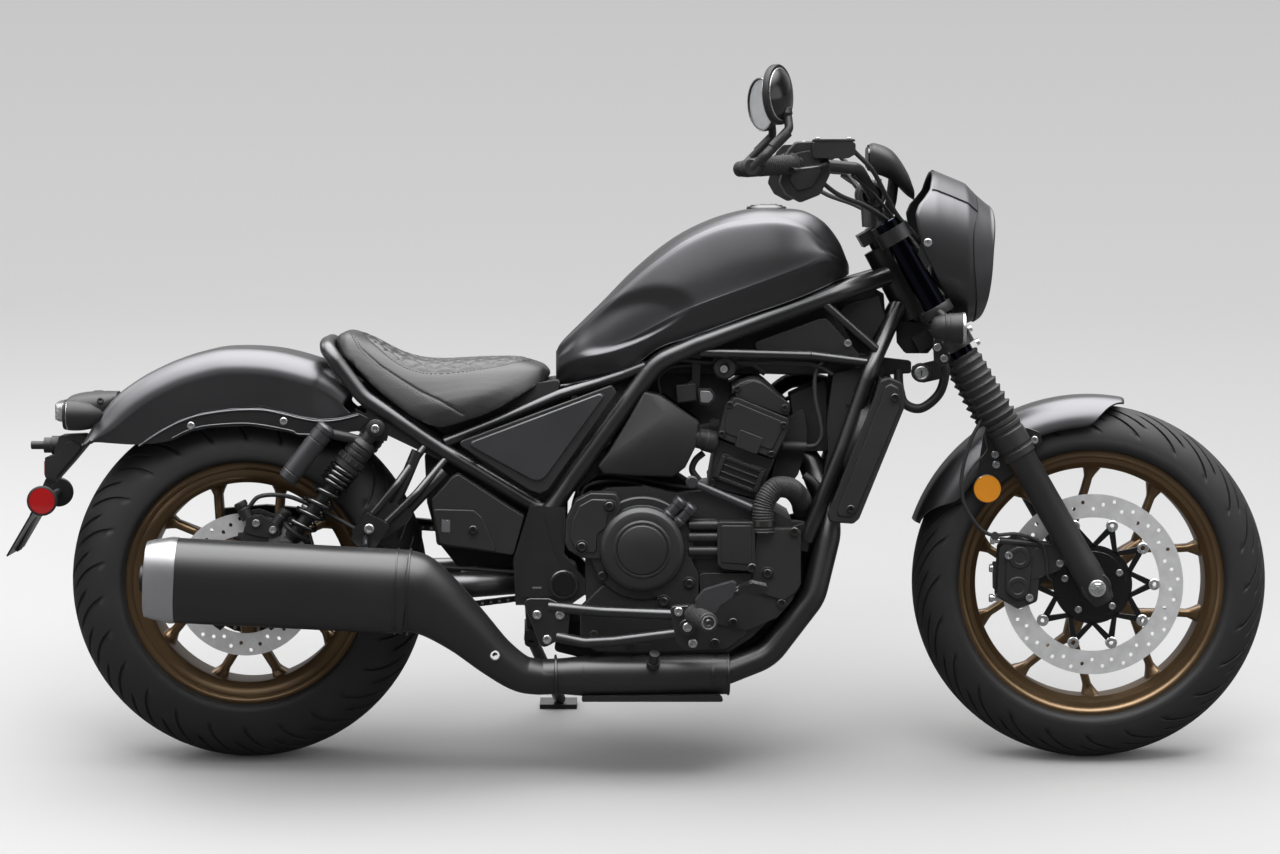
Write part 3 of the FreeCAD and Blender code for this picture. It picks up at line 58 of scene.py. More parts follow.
TAU = 2 * math.pi
LEAN = math.radians(11)
PARK = np.array([0.707, 0.196, 0.0])
TURN = np.array([[1, 0, 0], [0, math.cos(LEAN), math.sin(LEAN)], [0, -math.sin(LEAN), math.cos(LEAN)]])
WHEELBASE = 1.520
FRONT_AXLE = np.array([WHEELBASE, 0, 0.254 + 0.066 / math.cos(LEAN)])
REAR_AXLE = np.array([0, 0, 0.229 + 0.092 / math.cos(LEAN)])
CROSS = np.array([0, 1.0, 0])
STEER = "steering"
FRONT_Z, REAR_Z = 321.2, 322.7
RAKE = math.radians(30)
SPOKES = 5
GROOVE = 0.004
CHAIN_PITCH, CHAIN_Y = 15.875, 105
REAR_TEETH, FRONT_TEETH = 42, 17
SOFTBOX = (0.0, -0.12, 0.99)
MM6 = np.array([0.001, 0.001, 0.001, 0.001, 0.001, 1])


# Shapes on a grid


def unit(vectors):
    """Vectors divided by their lengths."""
    vectors = np.asarray(vectors, float)
    return vectors / np.maximum(np.linalg.norm(vectors, axis=-1, keepdims=True), 1e-12)


def parked(points):
    """Upright places turned by the lean about the X axis and moved to where the motorcycle stands."""
    return np.asarray(points, float).reshape(-1, 3) @ TURN.T - PARK


def grid_faces(rows, columns, wrap_rows=False, wrap_columns=False):
    """Four-sided faces between neighbouring rows and columns of a grid of points."""
    row = np.arange(rows if wrap_rows else rows - 1)[:, None]
    column = np.arange(columns if wrap_columns else columns - 1)[None, :]
    after = (row + 1) % rows
    beside = (column + 1) % columns
    corners = [row * columns + column, row * columns + beside, after * columns + beside, after * columns + column]
    return np.stack(np.broadcast_arrays(*corners), -1).reshape(-1, 4)


def sheet_of(points, wrap_rows=False, wrap_columns=False):
    """A grid of points, rows by columns by three, as points and faces."""
    rows, columns = points.shape[:2]
    return points.reshape(-1, 3), grid_faces(rows, columns, wrap_rows, wrap_columns)


def across(axis):
    """Two directions square to an axis and to each other."""
    axis = unit(axis)
    helper = np.array([0, 0, 1.0]) if abs(axis[2]) < 0.9 else np.array([1.0, 0, 0])
    side = unit(np.cross(helper, axis))
    return side, np.cross(axis, side)


def turned(profile, base, axis, sides=40, corners=0):
    """A profile of (distance along the axis, radius) turned about it: base + along + radius * ring.

    With corners, the ring is a polygon of that many sides instead of a circle.
    """
    along, radius = np.array(profile, float).T
    side, up = across(axis)
    angle = np.linspace(0, TAU, sides, endpoint=False)
    reach = np.ones(sides)
    if corners:
        part = TAU / corners
        reach = math.cos(part / 2) / np.cos(angle % part - part / 2)
    ring = (np.cos(angle)[:, None] * side + np.sin(angle)[:, None] * up) * reach[:, None]
    middle = np.asarray(base, float) + along[:, None] * unit(axis)
    return sheet_of(middle[:, None] + radius[:, None, None] * ring, wrap_columns=True)


def smooth_line(points, count):
    """A curve through the points: on each run the cubic whose slopes are half the step between its neighbours."""
    p = np.asarray(points, float)
    p = np.concatenate([2 * p[:1] - p[1:2], p, 2 * p[-1:] - p[-2:-1]])
    place = np.linspace(0, len(p) - 3, count)
    run = np.minimum(place.astype(int), len(p) - 4)
    t = (place - run)[:, None]
    a, b, c, d = p[run], p[run + 1], p[run + 2], p[run + 3]
    return 0.5 * (2 * b + (c - a) * t + (2 * a - 5 * b + 4 * c - d) * t ** 2 + (3 * b - a - 3 * c + d) * t ** 3)


def bent_line(points, bend, steps=7):
    """Straight runs joined by arcs: each corner becomes points on a circle that touches both its runs."""
    p = np.asarray(points, float)
    before, after = p[:-2] - p[1:-1], p[2:] - p[1:-1]
    long_before, long_after = np.linalg.norm(before, axis=1), np.linalg.norm(after, axis=1)
    before, after = unit(before), unit(after)
    half = np.arccos(np.clip((before * after).sum(1), -0.99999, 0.99999)) / 2
    cut = np.minimum(bend / np.tan(half), 0.45 * np.minimum(long_before, long_after))
    middle = p[1:-1] + unit(before + after) * (cut / np.cos(half))[:, None]
    start, end = p[1:-1] + before * cut[:, None] - middle, p[1:-1] + after * cut[:, None] - middle
    swing = np.maximum(math.pi - 2 * half, 1e-4)[:, None, None]
    t = np.linspace(0, 1, steps)[None, :, None]
    arcs = np.sin((1 - t) * swing) * start[:, None] + np.sin(t * swing) * end[:, None]
    arcs = middle[:, None] + arcs / np.sin(swing)
    return np.concatenate([p[:1], arcs.reshape(-1, 3), p[-1:]])


def swept(path, radius, sides=14, flat=1.0, ends=True, reference=None):
    """A round or oval section carried along a path: path + radius * (cos * side + flat * sin * up)."""
    path = np.asarray(path, float)
    heading = unit(np.gradient(path, axis=0))
    if reference is None:
        reference = np.linalg.eigh(heading.T @ heading)[1][:, 0]
    side = unit(np.cross(heading, np.asarray(reference, float)))
    up = np.cross(side, heading)
    radius = np.broadcast_to(np.asarray(radius, float), (len(path),))[:, None, None]
    angle = np.linspace(0, TAU, sides, endpoint=False)[None, :, None]
    points = path[:, None] + radius * (np.cos(angle) * side[:, None] + flat * np.sin(angle) * up[:, None])
    if ends:
        first = np.repeat(path[None, :1], sides, 1)
        last = np.repeat(path[None, -1:], sides, 1)
        points = np.concatenate([first, points, last])
    return sheet_of(points, wrap_columns=True)


def oval(angle, power):
    """Cosine and sine of an angle raised to 2 / power with their signs kept: a super-ellipse."""
    c, s = np.cos(angle), np.sin(angle)
    return np.sign(c) * np.abs(c) ** (2 / power), np.sign(s) * np.abs(s) ** (2 / power)


def lofted(stations, rows=40, columns=40, heading=(1, 0, 0), ends=True):
    """Super-ellipses joined by a smooth curve. A station: middle x y z, half width, half height, power.

    With no heading the sections stay square to the line through their middles.
    """
    smooth = smooth_line(stations, rows)
    heading = unit(np.gradient(smooth[:, :3], axis=0)) if heading is None else unit(heading)[None]
    side = CROSS
    up = unit(np.cross(heading, side))[:, None]
    angle = np.linspace(0, TAU, columns, endpoint=False)[None]
    c, s = oval(angle, smooth[:, 5:6])
    points = smooth[:, None, :3] + (smooth[:, 3:4] * c)[..., None] * side + (smooth[:, 4:5] * s)[..., None] * up
    if ends:
        first = np.repeat(smooth[None, :1, :3], columns, 1)
        last = np.repeat(smooth[None, -1:, :3], columns, 1)
        points = np.concatenate([first, points, last])
    return sheet_of(points, wrap_columns=True)


def rounded(corners, radius, steps=4):
    """A closed outline in X and Z whose corners are arcs of the radius."""
    flat = np.asarray(corners, float)
    ring = np.stack([flat[:, 0], np.zeros(len(flat)), flat[:, 1]], 1)
    looped = np.concatenate([ring[-1:], ring, ring[:1]])
    return bent_line(looped, radius, steps)[1:-1][:, [0, 2]]


def plate(outline, low, high):
    """A flat outline in X and Z given a thickness from Y = low to Y = high."""
    outline = np.asarray(outline, float)
    count = len(outline)
    points = np.concatenate([np.insert(outline, 1, low, axis=1), np.insert(outline, 1, high, axis=1)])
    faces = [tuple(range(count)), tuple(range(2 * count - 1, count - 1, -1))]
    faces += [tuple(face) for face in grid_faces(2, count, wrap_columns=True)]
    return points, faces


def moved(shape, place=(0, 0, 0), axis=(0, 1, 0), angle=0.0, about=(0, 0, 0)):
    """A shape turned by an angle about an axis through a point, then moved."""
    points, faces = shape
    axis = unit(axis)
    arm = points - np.asarray(about, float)
    c, s = math.cos(angle), math.sin(angle)
    spun = arm * c + np.cross(axis, arm) * s + (arm @ axis)[:, None] * axis * (1 - c)
    return spun + np.asarray(about, float) + np.asarray(place, float), faces


def mirrored(shape):
    """The same shape on the other side of the motorcycle."""
    points, faces = shape
    return points * [1, -1, 1], [tuple(face)[::-1] for face in faces]


def skinned(stations, rows, columns):
    """A grid through a table of places, stations by corners by three, smoothed both ways."""
    table = np.asarray(stations, float)
    count = table.shape[1]
    along = smooth_line(table.reshape(len(table), -1), rows).reshape(rows, count, 3)
    both = smooth_line(along.transpose(1, 0, 2).reshape(count, -1), columns).reshape(columns, rows, 3)
    return both.transpose(1, 0, 2)


def whole_of(half):
    """A grid whose first and last columns lie on Y = 0, closed by its mirror image."""
    return np.concatenate([half, (half * [1, -1, 1])[:, -2:0:-1]], 1)


def capped(grid):
    """A wrapped grid with each end drawn in to its middle."""
    first = np.repeat(grid[:1].mean(1, keepdims=True), grid.shape[1], 1)
    last = np.repeat(grid[-1:].mean(1, keepdims=True), grid.shape[1], 1)
    return np.concatenate([first, grid, last])


def smooth_step(value):
    """3 t^2 - 2 t^3, with t held between 0 and 1."""
    value = np.clip(value, 0, 1)
    return value * value * (3 - 2 * value)


class Shape:
    """Points and faces gathered into one mesh, each face with the number of its finish.

    Its methods from bolt on take millimetres; both adds the mirror image on the other side.
    """

    def __init__(self):
        self.points = []
        self.faces = []
        self.looks = []
        self.count = 0

    def add(self, shape, look=0, both=False):
        points, faces = shape
        self.points.append(np.asarray(points, float))
        self.faces += [[int(corner) + self.count for corner in face] for face in faces]
        self.looks += [look] * len(faces)
        self.count += len(points)
        if both:
            self.add(mirrored(shape), look)
        return self

    def whole(self):
        return np.concatenate(self.points), self.faces

    def bolt(self, base, axis, radius, height, look=0, both=False):
        """A socket screw: a chamfered round head with a well in it."""
        head = [(0, radius), (height * 0.8, radius), (height, radius * 0.86), (height, radius * 0.56)]
        well = [(height, radius * 0.56), (height * 0.35, radius * 0.50), (height * 0.35, 0)]
        return self.lathe(head, base, axis, look, 14, both).lathe(well, base, axis, look, 14, both)

    def nut(self, base, axis, radius, height, look=0, both=False):
        """A six-sided nut with a raised round end in its middle."""
        profile = [(0, 0), (0, radius), (height * 0.85, radius), (height, radius * 0.9), (height, radius * 0.55),
                   (height * 1.2, radius * 0.5), (height * 1.2, 0)]
        return self.lathe(profile, base, axis, look, 24, both, 6)

    def screws(self, places, side=-1, radius=6.5, both=False):
        """Socket screws at (x, z, y), facing outwards."""
        for x, z, y in places:
            self.bolt((x, y, z), (0, side, 0), radius, 6, 0, both)
        return self

    def slab(self, corners, near, far, bend=5, look=0, draft=0.0, both=False):
        """An outline whose corners are rounded, from Y = near outwards to Y = far.

        With draft, the far face is drawn in towards the outline's middle by that share, as on a casting.
        """
        outline = rounded(np.array(corners, float) / 1000, bend / 1000)
        points, faces = plate(outline, near / 1000, far / 1000)
        count = len(outline)
        middle = points[count:].mean(0)
        points[count:, [0, 2]] += (middle - points[count:])[:, [0, 2]] * draft
        return self.add((points, faces), look, both)

    def lathe(self, profile, base, axis, look=0, sides=36, both=False, corners=0):
        """A profile of (distance along the axis, radius) turned about an axis through a place."""
        profile = np.array(profile, float) / 1000
        return self.add(turned(profile, np.array(base, float) / 1000, axis, sides, corners), look, both)

    def pipe(self, points, radius, bend=20, look=0, sides=16, both=False, flat=1.0):
        """A round bar whose corners are arcs of the bend radius."""
        path = bent_line(np.array(points, float) / 1000, bend / 1000)
        return self.add(swept(path, radius / 1000, sides, flat), look, both)

    def loft(self, stations, rows, columns, look=0, heading=(1, 0, 0)):
        """Super-ellipses joined by a smooth curve, as lofted makes them."""
        return self.add(lofted(np.array(stations) * MM6, rows, columns, heading), look)

    def hose(self, points, radius, look=0, both=False, count=36):
        """A cable or hose, a smooth curve through the places."""
        path = smooth_line(np.array(points, float) / 1000, count)
        return self.add(swept(path, radius / 1000, 12), look, both)


def change(made, **settings):
    """Set attributes of something just made, and give it back."""
    for key, value in settings.items():
        setattr(made, key, value)
    return made


def make_piece(name, shape, finishes, body="chassis", bevel=0.0, smooth=38.0, stands_for="", wall=0.0):
    """A finished mesh object: doubles merged, faces turned outwards, leaned, and riding on its body.

    Bevel and wall are in millimetres.
    """
    mesh = bpy.data.meshes.new(name)
    mesh.from_pydata(parked(np.concatenate(shape.points)).tolist(), [], shape.faces)
    for finish in finishes.split(", "):
        mesh.materials.append(FINISH[finish])
    mesh.polygons.foreach_set("material_index", shape.looks)
    built = bmesh.new()
    built.from_mesh(mesh)
    bmesh.ops.remove_doubles(built, verts=built.verts, dist=2e-6)
    bmesh.ops.recalc_face_normals(built, faces=built.faces)
    built.to_mesh(mesh)
    built.free()
    mesh.shade_smooth()
    mesh.set_sharp_from_angle(angle=math.radians(smooth))
    piece = bpy.data.objects.new(name, mesh)
    bpy.context.scene.collection.objects.link(piece)
    if wall:
        change(piece.modifiers.new("wall", "SOLIDIFY"), thickness=wall / 1000, offset=-1, use_even_offset=False)
    if bevel:
        change(piece.modifiers.new("edges", "BEVEL"), width=bevel / 1000, segments=2, limit_method="ANGLE",
               angle_limit=math.radians(34), harden_normals=True)
    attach(piece, body)
    if stands_for:
        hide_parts(*stands_for.split())
    return piece


# Sizes and colours a user may change


def colour_field(name, about, default):
    return bpy.props.FloatVectorProperty(name=name, description=about, subtype="COLOR", size=3, min=0, max=1,
                                         default=default)


def length_field(name, about, default, low, high):
    return bpy.props.FloatProperty(name=name, description=about, default=default, min=low, max=high, unit="LENGTH",
                                   precision=4)


def count_field(name, about, default, low, high):
    return bpy.props.IntProperty(name=name, description=about, default=default, min=low, max=high)


class CRUISER_PG_colours(bpy.types.PropertyGroup):
    """Colours of the motorcycle's main finishes"""

    body_paint: colour_field("Body paint", "Tank, fenders and headlamp cowl", (0.078, 0.078, 0.082))
    side_panels: colour_field("Side panels", "The triangular side panels and the shock reservoirs",
                              (0.062, 0.062, 0.066))
    frame: colour_field("Frame", "Frame tubes, swingarm and handlebar", (0.050, 0.050, 0.052))
    engine: colour_field("Engine", "Crankcase and cylinders", (0.020, 0.020, 0.021))
    wheels: colour_field("Wheels", "Cast rims and spokes", (0.150, 0.095, 0.048))
    seat: colour_field("Seat", "Seat cover", (0.015, 0.015, 0.0155))
    exhaust: colour_field("Exhaust", "Pipes and muffler", (0.022, 0.022, 0.023))


class CRUISER_PG_sizes(bpy.types.PropertyGroup):
    """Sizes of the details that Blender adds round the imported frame"""

    seat_swell: length_field("Seat swell", "How far the padding may swell out of its form", 0.006, 0.0, 0.012)
    quilt_pitch: length_field("Quilt pitch", "Distance between two sewn channels of the seat", 0.040, 0.02, 0.08)
    quilt_depth: length_field("Quilt depth", "Depth of a sewn channel", 0.0026, 0.0, 0.005)
    front_grooves: count_field("Front grooves", "Grooves round the front tyre", 24, 8, 40)
    rear_grooves: count_field("Rear grooves", "Grooves round the rear tyre", 26, 8, 40)
    spring_wire: length_field("Spring wire", "Radius of the shock springs' wire", 0.0044, 0.003, 0.0055)


# Finishes


def feed(tree, node, inputs):
    """Give each input of a node its value, or join it to the output that is given instead."""
    for key, value in inputs.items():
        if isinstance(value, bpy.types.NodeSocket):
            tree.links.new(value, node.inputs[key])
        else:
            node.inputs[key].default_value = value


def add_node(tree, kind, result, inputs=None, **settings):
    """The result, an output, of a new node."""
    node = change(tree.nodes.new("ShaderNode" + kind), **settings)
    feed(tree, node, inputs or {})
    return node.outputs[result]


def noise(tree, place, scale, detail=2.0):
    """Noise at a place, as a value between 0 and 1."""
    return add_node(tree, "TexNoise", "Fac", {"Vector": place, "Scale": scale, "Detail": detail})


def ramp(tree, value, stops):
    """The colour that belongs to a value between 0 and 1."""
    colour = add_node(tree, "ValToRGB", "Color", {"Fac": value})
    elements = colour.node.color_ramp.elements
    for number, (at, shade) in enumerate(stops):
        stop = elements[number] if number < 2 else elements.new(at)
        stop.position = at
        stop.color = (*shade, 1)
    return colour


def new_finish(name):
    """An empty material and its node tree."""
    finish = bpy.data.materials.new(name)
    finish.use_nodes = True
    return finish, finish.node_tree


def textured(finish, marks, grain, stops, rough, bump, deep, inputs):
    """Colour and gloss that follow the marks, and a raised grain."""
    tree = finish.node_tree
    feed(tree, tree.nodes["Principled BSDF"], {
        "Base Color": ramp(tree, marks, stops),
        "Roughness": add_node(tree, "MapRange", "Result", {"Value": marks, "To Min": rough[0], "To Max": rough[1]}),
        "Normal": add_node(tree, "Bump", "Normal", {"Height": grain, "Strength": bump, "Distance": deep}),
        **inputs})
    return finish


def tints(colour, *shares):
    """The colour times each share, no channel over 1."""
    return [[min(1, c * share) for c in colour] for share in shares]


def paint(name, colour, rough, metal=0.0, grain=900.0, bump=0.08, spread=0.08, coat=0.0, coat_rough=0.2, cloud=9.0,
          shine=0.5):
    """A surface with cloudy colour and gloss, and a fine raised grain, all from noise on the object's place."""
    finish, tree = new_finish(name)
    place = add_node(tree, "TexCoord", "Object")
    stops = zip((0.3, 0.7), tints(colour, 1 - spread, 1 + spread))
    gloss = max(0.02, rough - 0.05), min(1, rough + 0.05)
    return textured(finish, noise(tree, place, cloud, 5), noise(tree, place, grain), stops, gloss, bump, 0.0006,
                    {"Metallic": metal, "Specular IOR Level": shine, "Coat Weight": coat, "Coat Roughness": coat_rough})


def brushed(name, colour, rough, stretch, bump=0.25, metal=1.0):
    """Ground metal: noise drawn out along one direction of the object gives the brush marks."""
    finish, tree = new_finish(name)
    place = add_node(tree, "TexCoord", "Object")
    marks = noise(tree, add_node(tree, "Mapping", "Vector", {"Vector": place, "Scale": stretch}), 60, 6)
    stops = zip((0, 1), tints(colour, 0.8, 1.15))
    return textured(finish, marks, marks, stops, (max(0.05, rough - 0.1), rough + 0.1), bump, 0.0003,
                    {"Metallic": metal})


def lens(name, colour, rough=0.08, clear=0.0):
    """Clear or coloured plastic with faint waves in it."""
    finish, tree = new_finish(name)
    waves = noise(tree, add_node(tree, "TexCoord", "Object"), 120)
    feed(tree, tree.nodes["Principled BSDF"], {
        "Normal": add_node(tree, "Bump", "Normal", {"Height": waves, "Strength": 0.15, "Distance": 0.0005}),
        "Base Color": (*colour, 1), "Roughness": rough, "Transmission Weight": clear, "Coat Weight": 0.6,
        "Coat Roughness": 0.03, "Emission Color": (*colour, 1)})
    return finish


FINISH = {}


def mix_finishes():
    """Every finish of the motorcycle, by name."""
    colours = bpy.context.scene.cruiser_colours
    FINISH.update({
        "body paint": paint("body_paint", colours.body_paint, 0.38, 0.90, 1600, 0.05, 0.05, 0.10, 0.3, 4.0),
        "frame black": paint("frame_black", colours.frame, 0.34, 0.75, 900, 0.10, 0.1, 0.35, 0.22),
        "cover grey": paint("cover_grey", colours.side_panels, 0.42, 0.6, 1600, 0.06, 0.06),
        "engine black": paint("engine_black", colours.engine, 0.46, 0.1, 700, 0.28, 0.12, shine=0.4),
        "engine cover": paint("engine_cover", (0.030, 0.030, 0.031), 0.40, 0.35, 1400, 0.12, 0.08),
        "bronze": paint("wheel_bronze", colours.wheels, 0.34, 0.75, 1500, 0.06, 0.08, 0.2, 0.2),
        "tyre": paint("tyre_rubber", (0.013, 0.013, 0.0135), 0.62, 0.0, 500, 0.25, 0.12, 0, 0.2, 25.0, 0.35),
        "seat": paint("seat_leather", colours.seat, 0.42, 0.0, 420, 0.35, 0.15, 0, 0.2, 30.0, 0.42),
        "disc": brushed("disc_steel", (0.72, 0.72, 0.73), 0.36, (1, 1, 1), 0.3, 0.35),
        "steel": brushed("bright_steel", (0.55, 0.55, 0.56), 0.28, (1, 12, 1), 0.15, 0.75),
        "dark steel": brushed("dark_steel", (0.085, 0.083, 0.080), 0.38, (1, 8, 1), 0.2),
        "muffler black": paint("muffler_black", colours.exhaust, 0.38, 0.3, 1200, 0.10, 0.06, 0.1, 0.3),
        "end cap": brushed("end_cap", (0.30, 0.30, 0.31), 0.34, (30, 1, 1), 0.2, 0.55),
        "fork dark": brushed("fork_dark", (0.014, 0.015, 0.024), 0.14, (1, 1, 20), 0.05),
        "thread": paint("grey_thread", (0.05, 0.05, 0.052), 0.7, 0.0, 900, 0.2, 0.1),
        "rubber": paint("black_rubber", (0.014, 0.014, 0.014), 0.66, 0.0, 600, 0.25, 0.1),
        "plastic": paint("black_plastic", (0.018, 0.018, 0.0185), 0.50, 0.0, 800, 0.30, 0.1, shine=0.33),
        # shade is painted shadow: a near-black, nearly matt colour for the pieces that stand in for the shadow behind
        # the frame
        "shade": paint("shadow_plastic", (0.006, 0.006, 0.006), 0.85, 0.0, 500, 0.2, 0.1),
        "gloss plastic": paint("gloss_plastic", (0.010, 0.010, 0.011), 0.18, 0.0, 900, 0.02, 0.05, 0.5, 0.08),
        "amber": lens("amber_lens", (0.90, 0.33, 0.02), 0.15, 0.1),
        "red": lens("red_lens", (0.50, 0.010, 0.012), 0.15, 0.1),
        "clear": lens("clear_lens", (0.85, 0.87, 0.90), 0.05, 0.85),
        "mirror glass": brushed("mirror_glass", (0.80, 0.82, 0.84), 0.06, (1, 1, 1), 0.0, 0.4),
    })


NODE_FINISHES = {
    "frame black": "main_frame rear_subframe swingarm triple_clamps handlebar foot_controls side_stand shock_springs "
                   "plate_holder",
    "body paint": "fuel_tank rear_fender front_fender headlamp_cowl",
    "cover grey": "side_panels",
    "engine black": "crankcase cylinder_head exhaust_pipes",
    "engine cover": "engine_covers",
    "bronze": "front_rim rear_rim",
    "tyre": "front_tyre rear_tyre",
    "seat": "seat",
    "disc": "front_disc rear_disc",
    "dark steel": "drive_chain rear_sprocket",
    "muffler black": "muffler",
    "fork dark": "fork_tubes",
    "rubber": "fork_boots",
    "steel": "rear_axle front_axle",
    "gloss plastic": "pivot_bolt",
    "plastic": "radiator intake_cover neck_panels chain_guard hand_controls instrument tail_lamp rear_signals "
               "front_signals headlamp mirrors fork_sliders front_caliper rear_caliper rear_shocks",
}


def dress_nodes():
    """Give every node of the frame its finish in place of the one it came with."""
    for finish, nodes in NODE_FINISHES.items():
        for node in nodes.split():
            mesh = frame["nodes"][node].data
            mesh.materials.clear()
            mesh.materials.append(FINISH[finish])


# Wheels


def wheel_point(axle, radius, angle, y):
    """A place by its radius and angle round an axle, angle 0 pointing forward and growing upwards."""
    radius, angle, y = np.broadcast_arrays(radius, angle, y)
    return axle + np.stack([radius * np.cos(angle), y, radius * np.sin(angle)], -1)


def tyre_shape(axle, crown_r, outer_r, side, pitches, slant, *reach):
    """Crown circle, then side wall, turned about the axle, with grooves pressed into the crown.

    The grid's columns follow the grooves: angle = pitch + slant * (y / half width) ^ 1.3, so each groove
    is a run of whole columns. Its depth is 4 mm times smooth steps at the groove's two ends.
    """
    half = np.linspace(0, math.radians(84), 30)
    crown_y = crown_r * np.sin(half)
    crown_z = outer_r - crown_r + crown_r * np.cos(half)
    wall = smooth_line(np.array([[crown_y[-1], crown_z[-1], 0]] + [[y, z, 0] for y, z in side]), 22)[1:]
    y = np.concatenate([crown_y, wall[:, 0]])
    z = np.concatenate([crown_z, wall[:, 1]])
    depth_dir = np.zeros((len(y), 2))
    depth_dir[:30] = np.stack([np.sin(half), np.cos(half)], 1)
    y = np.concatenate([-y[:0:-1], y])
    z = np.concatenate([z[:0:-1], z])
    pull_y = np.concatenate([-depth_dir[:0:-1, 0], depth_dir[:, 0]])
    pull_z = np.concatenate([depth_dir[:0:-1, 1], depth_dir[:, 1]])
    local = np.array([0, 0.06, 0.09, 0.16, 0.19, 0.35, 0.5, 0.56, 0.59, 0.66, 0.69, 0.85])
    cut = np.array([0, 0, 1, 1, 0, 0, 0, 0, 2, 2, 0, 0])
    part = TAU / pitches
    turn = (np.arange(pitches)[:, None] + local[None]).ravel() * part
    kind = np.tile(cut, pitches)
    share = np.abs(y) / crown_r
    shift = slant * part * share ** 1.3
    along = turn[:, None] + shift[None]

    def window(low, high):
        rise = np.clip((share - low) / 0.05, 0, 1)
        fall = np.clip((high - share) / 0.07, 0, 1)
        return smooth_step(rise) * smooth_step(fall)

    first, second = window(*reach[0]), window(*reach[1])
    depth = GROOVE * ((kind == 1)[:, None] * first[None] + (kind == 2)[:, None] * second[None])
    radius = z[None] - depth * pull_z[None]
    place = wheel_point(axle, radius, along, y[None] - depth * pull_y[None])
    shape = Shape().add(sheet_of(place, wrap_rows=True))
    lip = side[-1]
    bead = [(lip[0], lip[1]), (lip[0] - 0.010, lip[1] - 0.003), (lip[0] - 0.012, lip[1] - 0.012),
            (-lip[0] + 0.012, lip[1] - 0.012), (-lip[0] + 0.010, lip[1] - 0.003), (-lip[0], lip[1])]
    return shape.add(turned(bead, axle, CROSS, 96))


def rim_shape(axle, outer_r, half, inner_r):
    """The rim's two lips and its well, a closed ring turned about the axle."""
    profile = [(half, outer_r), (half + 0.001, outer_r - 0.004), (half - 0.001, outer_r - 0.010),
               (half - 0.006, outer_r - 0.014), (half - 0.007, outer_r - 0.022), (half - 0.013, inner_r + 0.006),
               (half - 0.018, inner_r + 0.001), (half - 0.024, inner_r)]
    closed = [(-y, r) for y, r in profile] + [(y, r) for y, r in reversed(profile)]
    closed += [(half - 0.010, outer_r - 0.012), (half * 0.4, inner_r + 0.010), (-half * 0.4, inner_r + 0.010),
               (-half + 0.010, outer_r - 0.012), closed[0]]
    return turned(closed, axle, CROSS, 144)


def spoke_bar(axle, angle, reach, widths, depths, swing=0.0, curve=0.0):
    """A bar between two radii of a wheel: a super-ellipse section whose width and depth change along it.

    Its outer end stands at the spoke's angle plus the swing.
    """
    a = wheel_point(axle, reach[0], angle, 0)
    b = wheel_point(axle, reach[1], angle + swing, 0)
    t = np.linspace(0, 1, 15)
    width = np.interp(t, *widths)[:, None]
    depth = np.interp(t, *depths)[:, None]
    run = unit(b - a)
    beside = np.cross(run, CROSS)
    middle = a + (b - a) * t[:, None] + beside * (curve * np.sin(math.pi * t))[:, None]
    c, s = oval(np.linspace(0, TAU, 20, endpoint=False)[None], 3.2)
    ring = middle[:, None] + (width * c)[..., None] * beside + (depth * s)[..., None] * CROSS
    ends = [np.repeat(middle[None, :1], 20, 1), ring, np.repeat(middle[None, -1:], 20, 1)]
    return sheet_of(np.concatenate(ends), wrap_columns=True)


def hub_shape(axle, radius, half, flange):
    """The hub: a waisted barrel with a flange and a bearing seat at each end."""
    profile = [(-half, 0.0105), (-half, 0.022), (-half + 0.004, 0.024), (-half + 0.005, flange),
               (-half + 0.012, flange), (-half + 0.016, radius), (0, radius * 0.86), (half - 0.016, radius),
               (half - 0.012, flange), (half - 0.005, flange), (half - 0.004, 0.024), (half, 0.022), (half, 0.0105),
               (-half, 0.0105)]
    return turned(profile, axle, CROSS, 60)


def drilled_ring(axle, inner_r, outer_r, y, thick, columns, hole_rows, hole_r=0.0036):
    """A flat ring of columns, each with one round hole.

    Every column is a patch whose outer edge is its own border and whose inner edge is the hole's circle,
    both with sixteen points; walls join the two faces at the holes and at the ring's edges.
    """
    part = TAU / columns
    step = np.linspace(0, 1, 5)[:-1]
    border = np.concatenate([np.stack([step, 0 * step], 1), np.stack([0 * step + 1, step], 1),
                             np.stack([1 - step, 0 * step + 1], 1), np.stack([0 * step, 1 - step], 1)])
    column = np.arange(columns)[:, None]
    border_angle = (column + border[None, :, 0]) * part
    border_r = inner_r + (outer_r - inner_r) * border[None, :, 1] + 0 * border_angle
    middle_r = np.array(hole_rows)[np.arange(columns) % len(hole_rows)][:, None]
    toward = np.arctan2(border[None, :, 1] * (outer_r - inner_r) + inner_r - middle_r,
                        (border[None, :, 0] - 0.5) * part * middle_r)
    hole_x = hole_r * np.cos(toward)
    hole_angle = (column + 0.5) * part + hole_x / middle_r
    hole_radius = middle_r + hole_r * np.sin(toward)
    shape = Shape()
    low, high = y - thick / 2, y + thick / 2
    border_ring, hole_ring = (border_r, border_angle), (hole_radius, hole_angle)
    loops = [wheel_point(axle, *ring, at) for ring, at in (
        (border_ring, low), (hole_ring, low), (hole_ring, high), (border_ring, high))]
    for loop in np.stack(loops, 1):
        shape.add(sheet_of(loop, wrap_columns=True))
    edge = np.linspace(0, TAU, columns * 4, endpoint=False)
    for radius in (inner_r, outer_r):
        shape.add(sheet_of(np.stack([wheel_point(axle, radius, edge, at) for at in (low, high)]), wrap_columns=True))
    return shape


FRONT_SIDE = [(0.0662, 0.2560), (0.0655, 0.2490), (0.0615, 0.2430), (0.0560, 0.2405), (0.0510, 0.2402)]
REAR_SIDE = [(0.0918, 0.2300), (0.0900, 0.2240), (0.0850, 0.2205), (0.0780, 0.2187), (0.0700, 0.2184)]


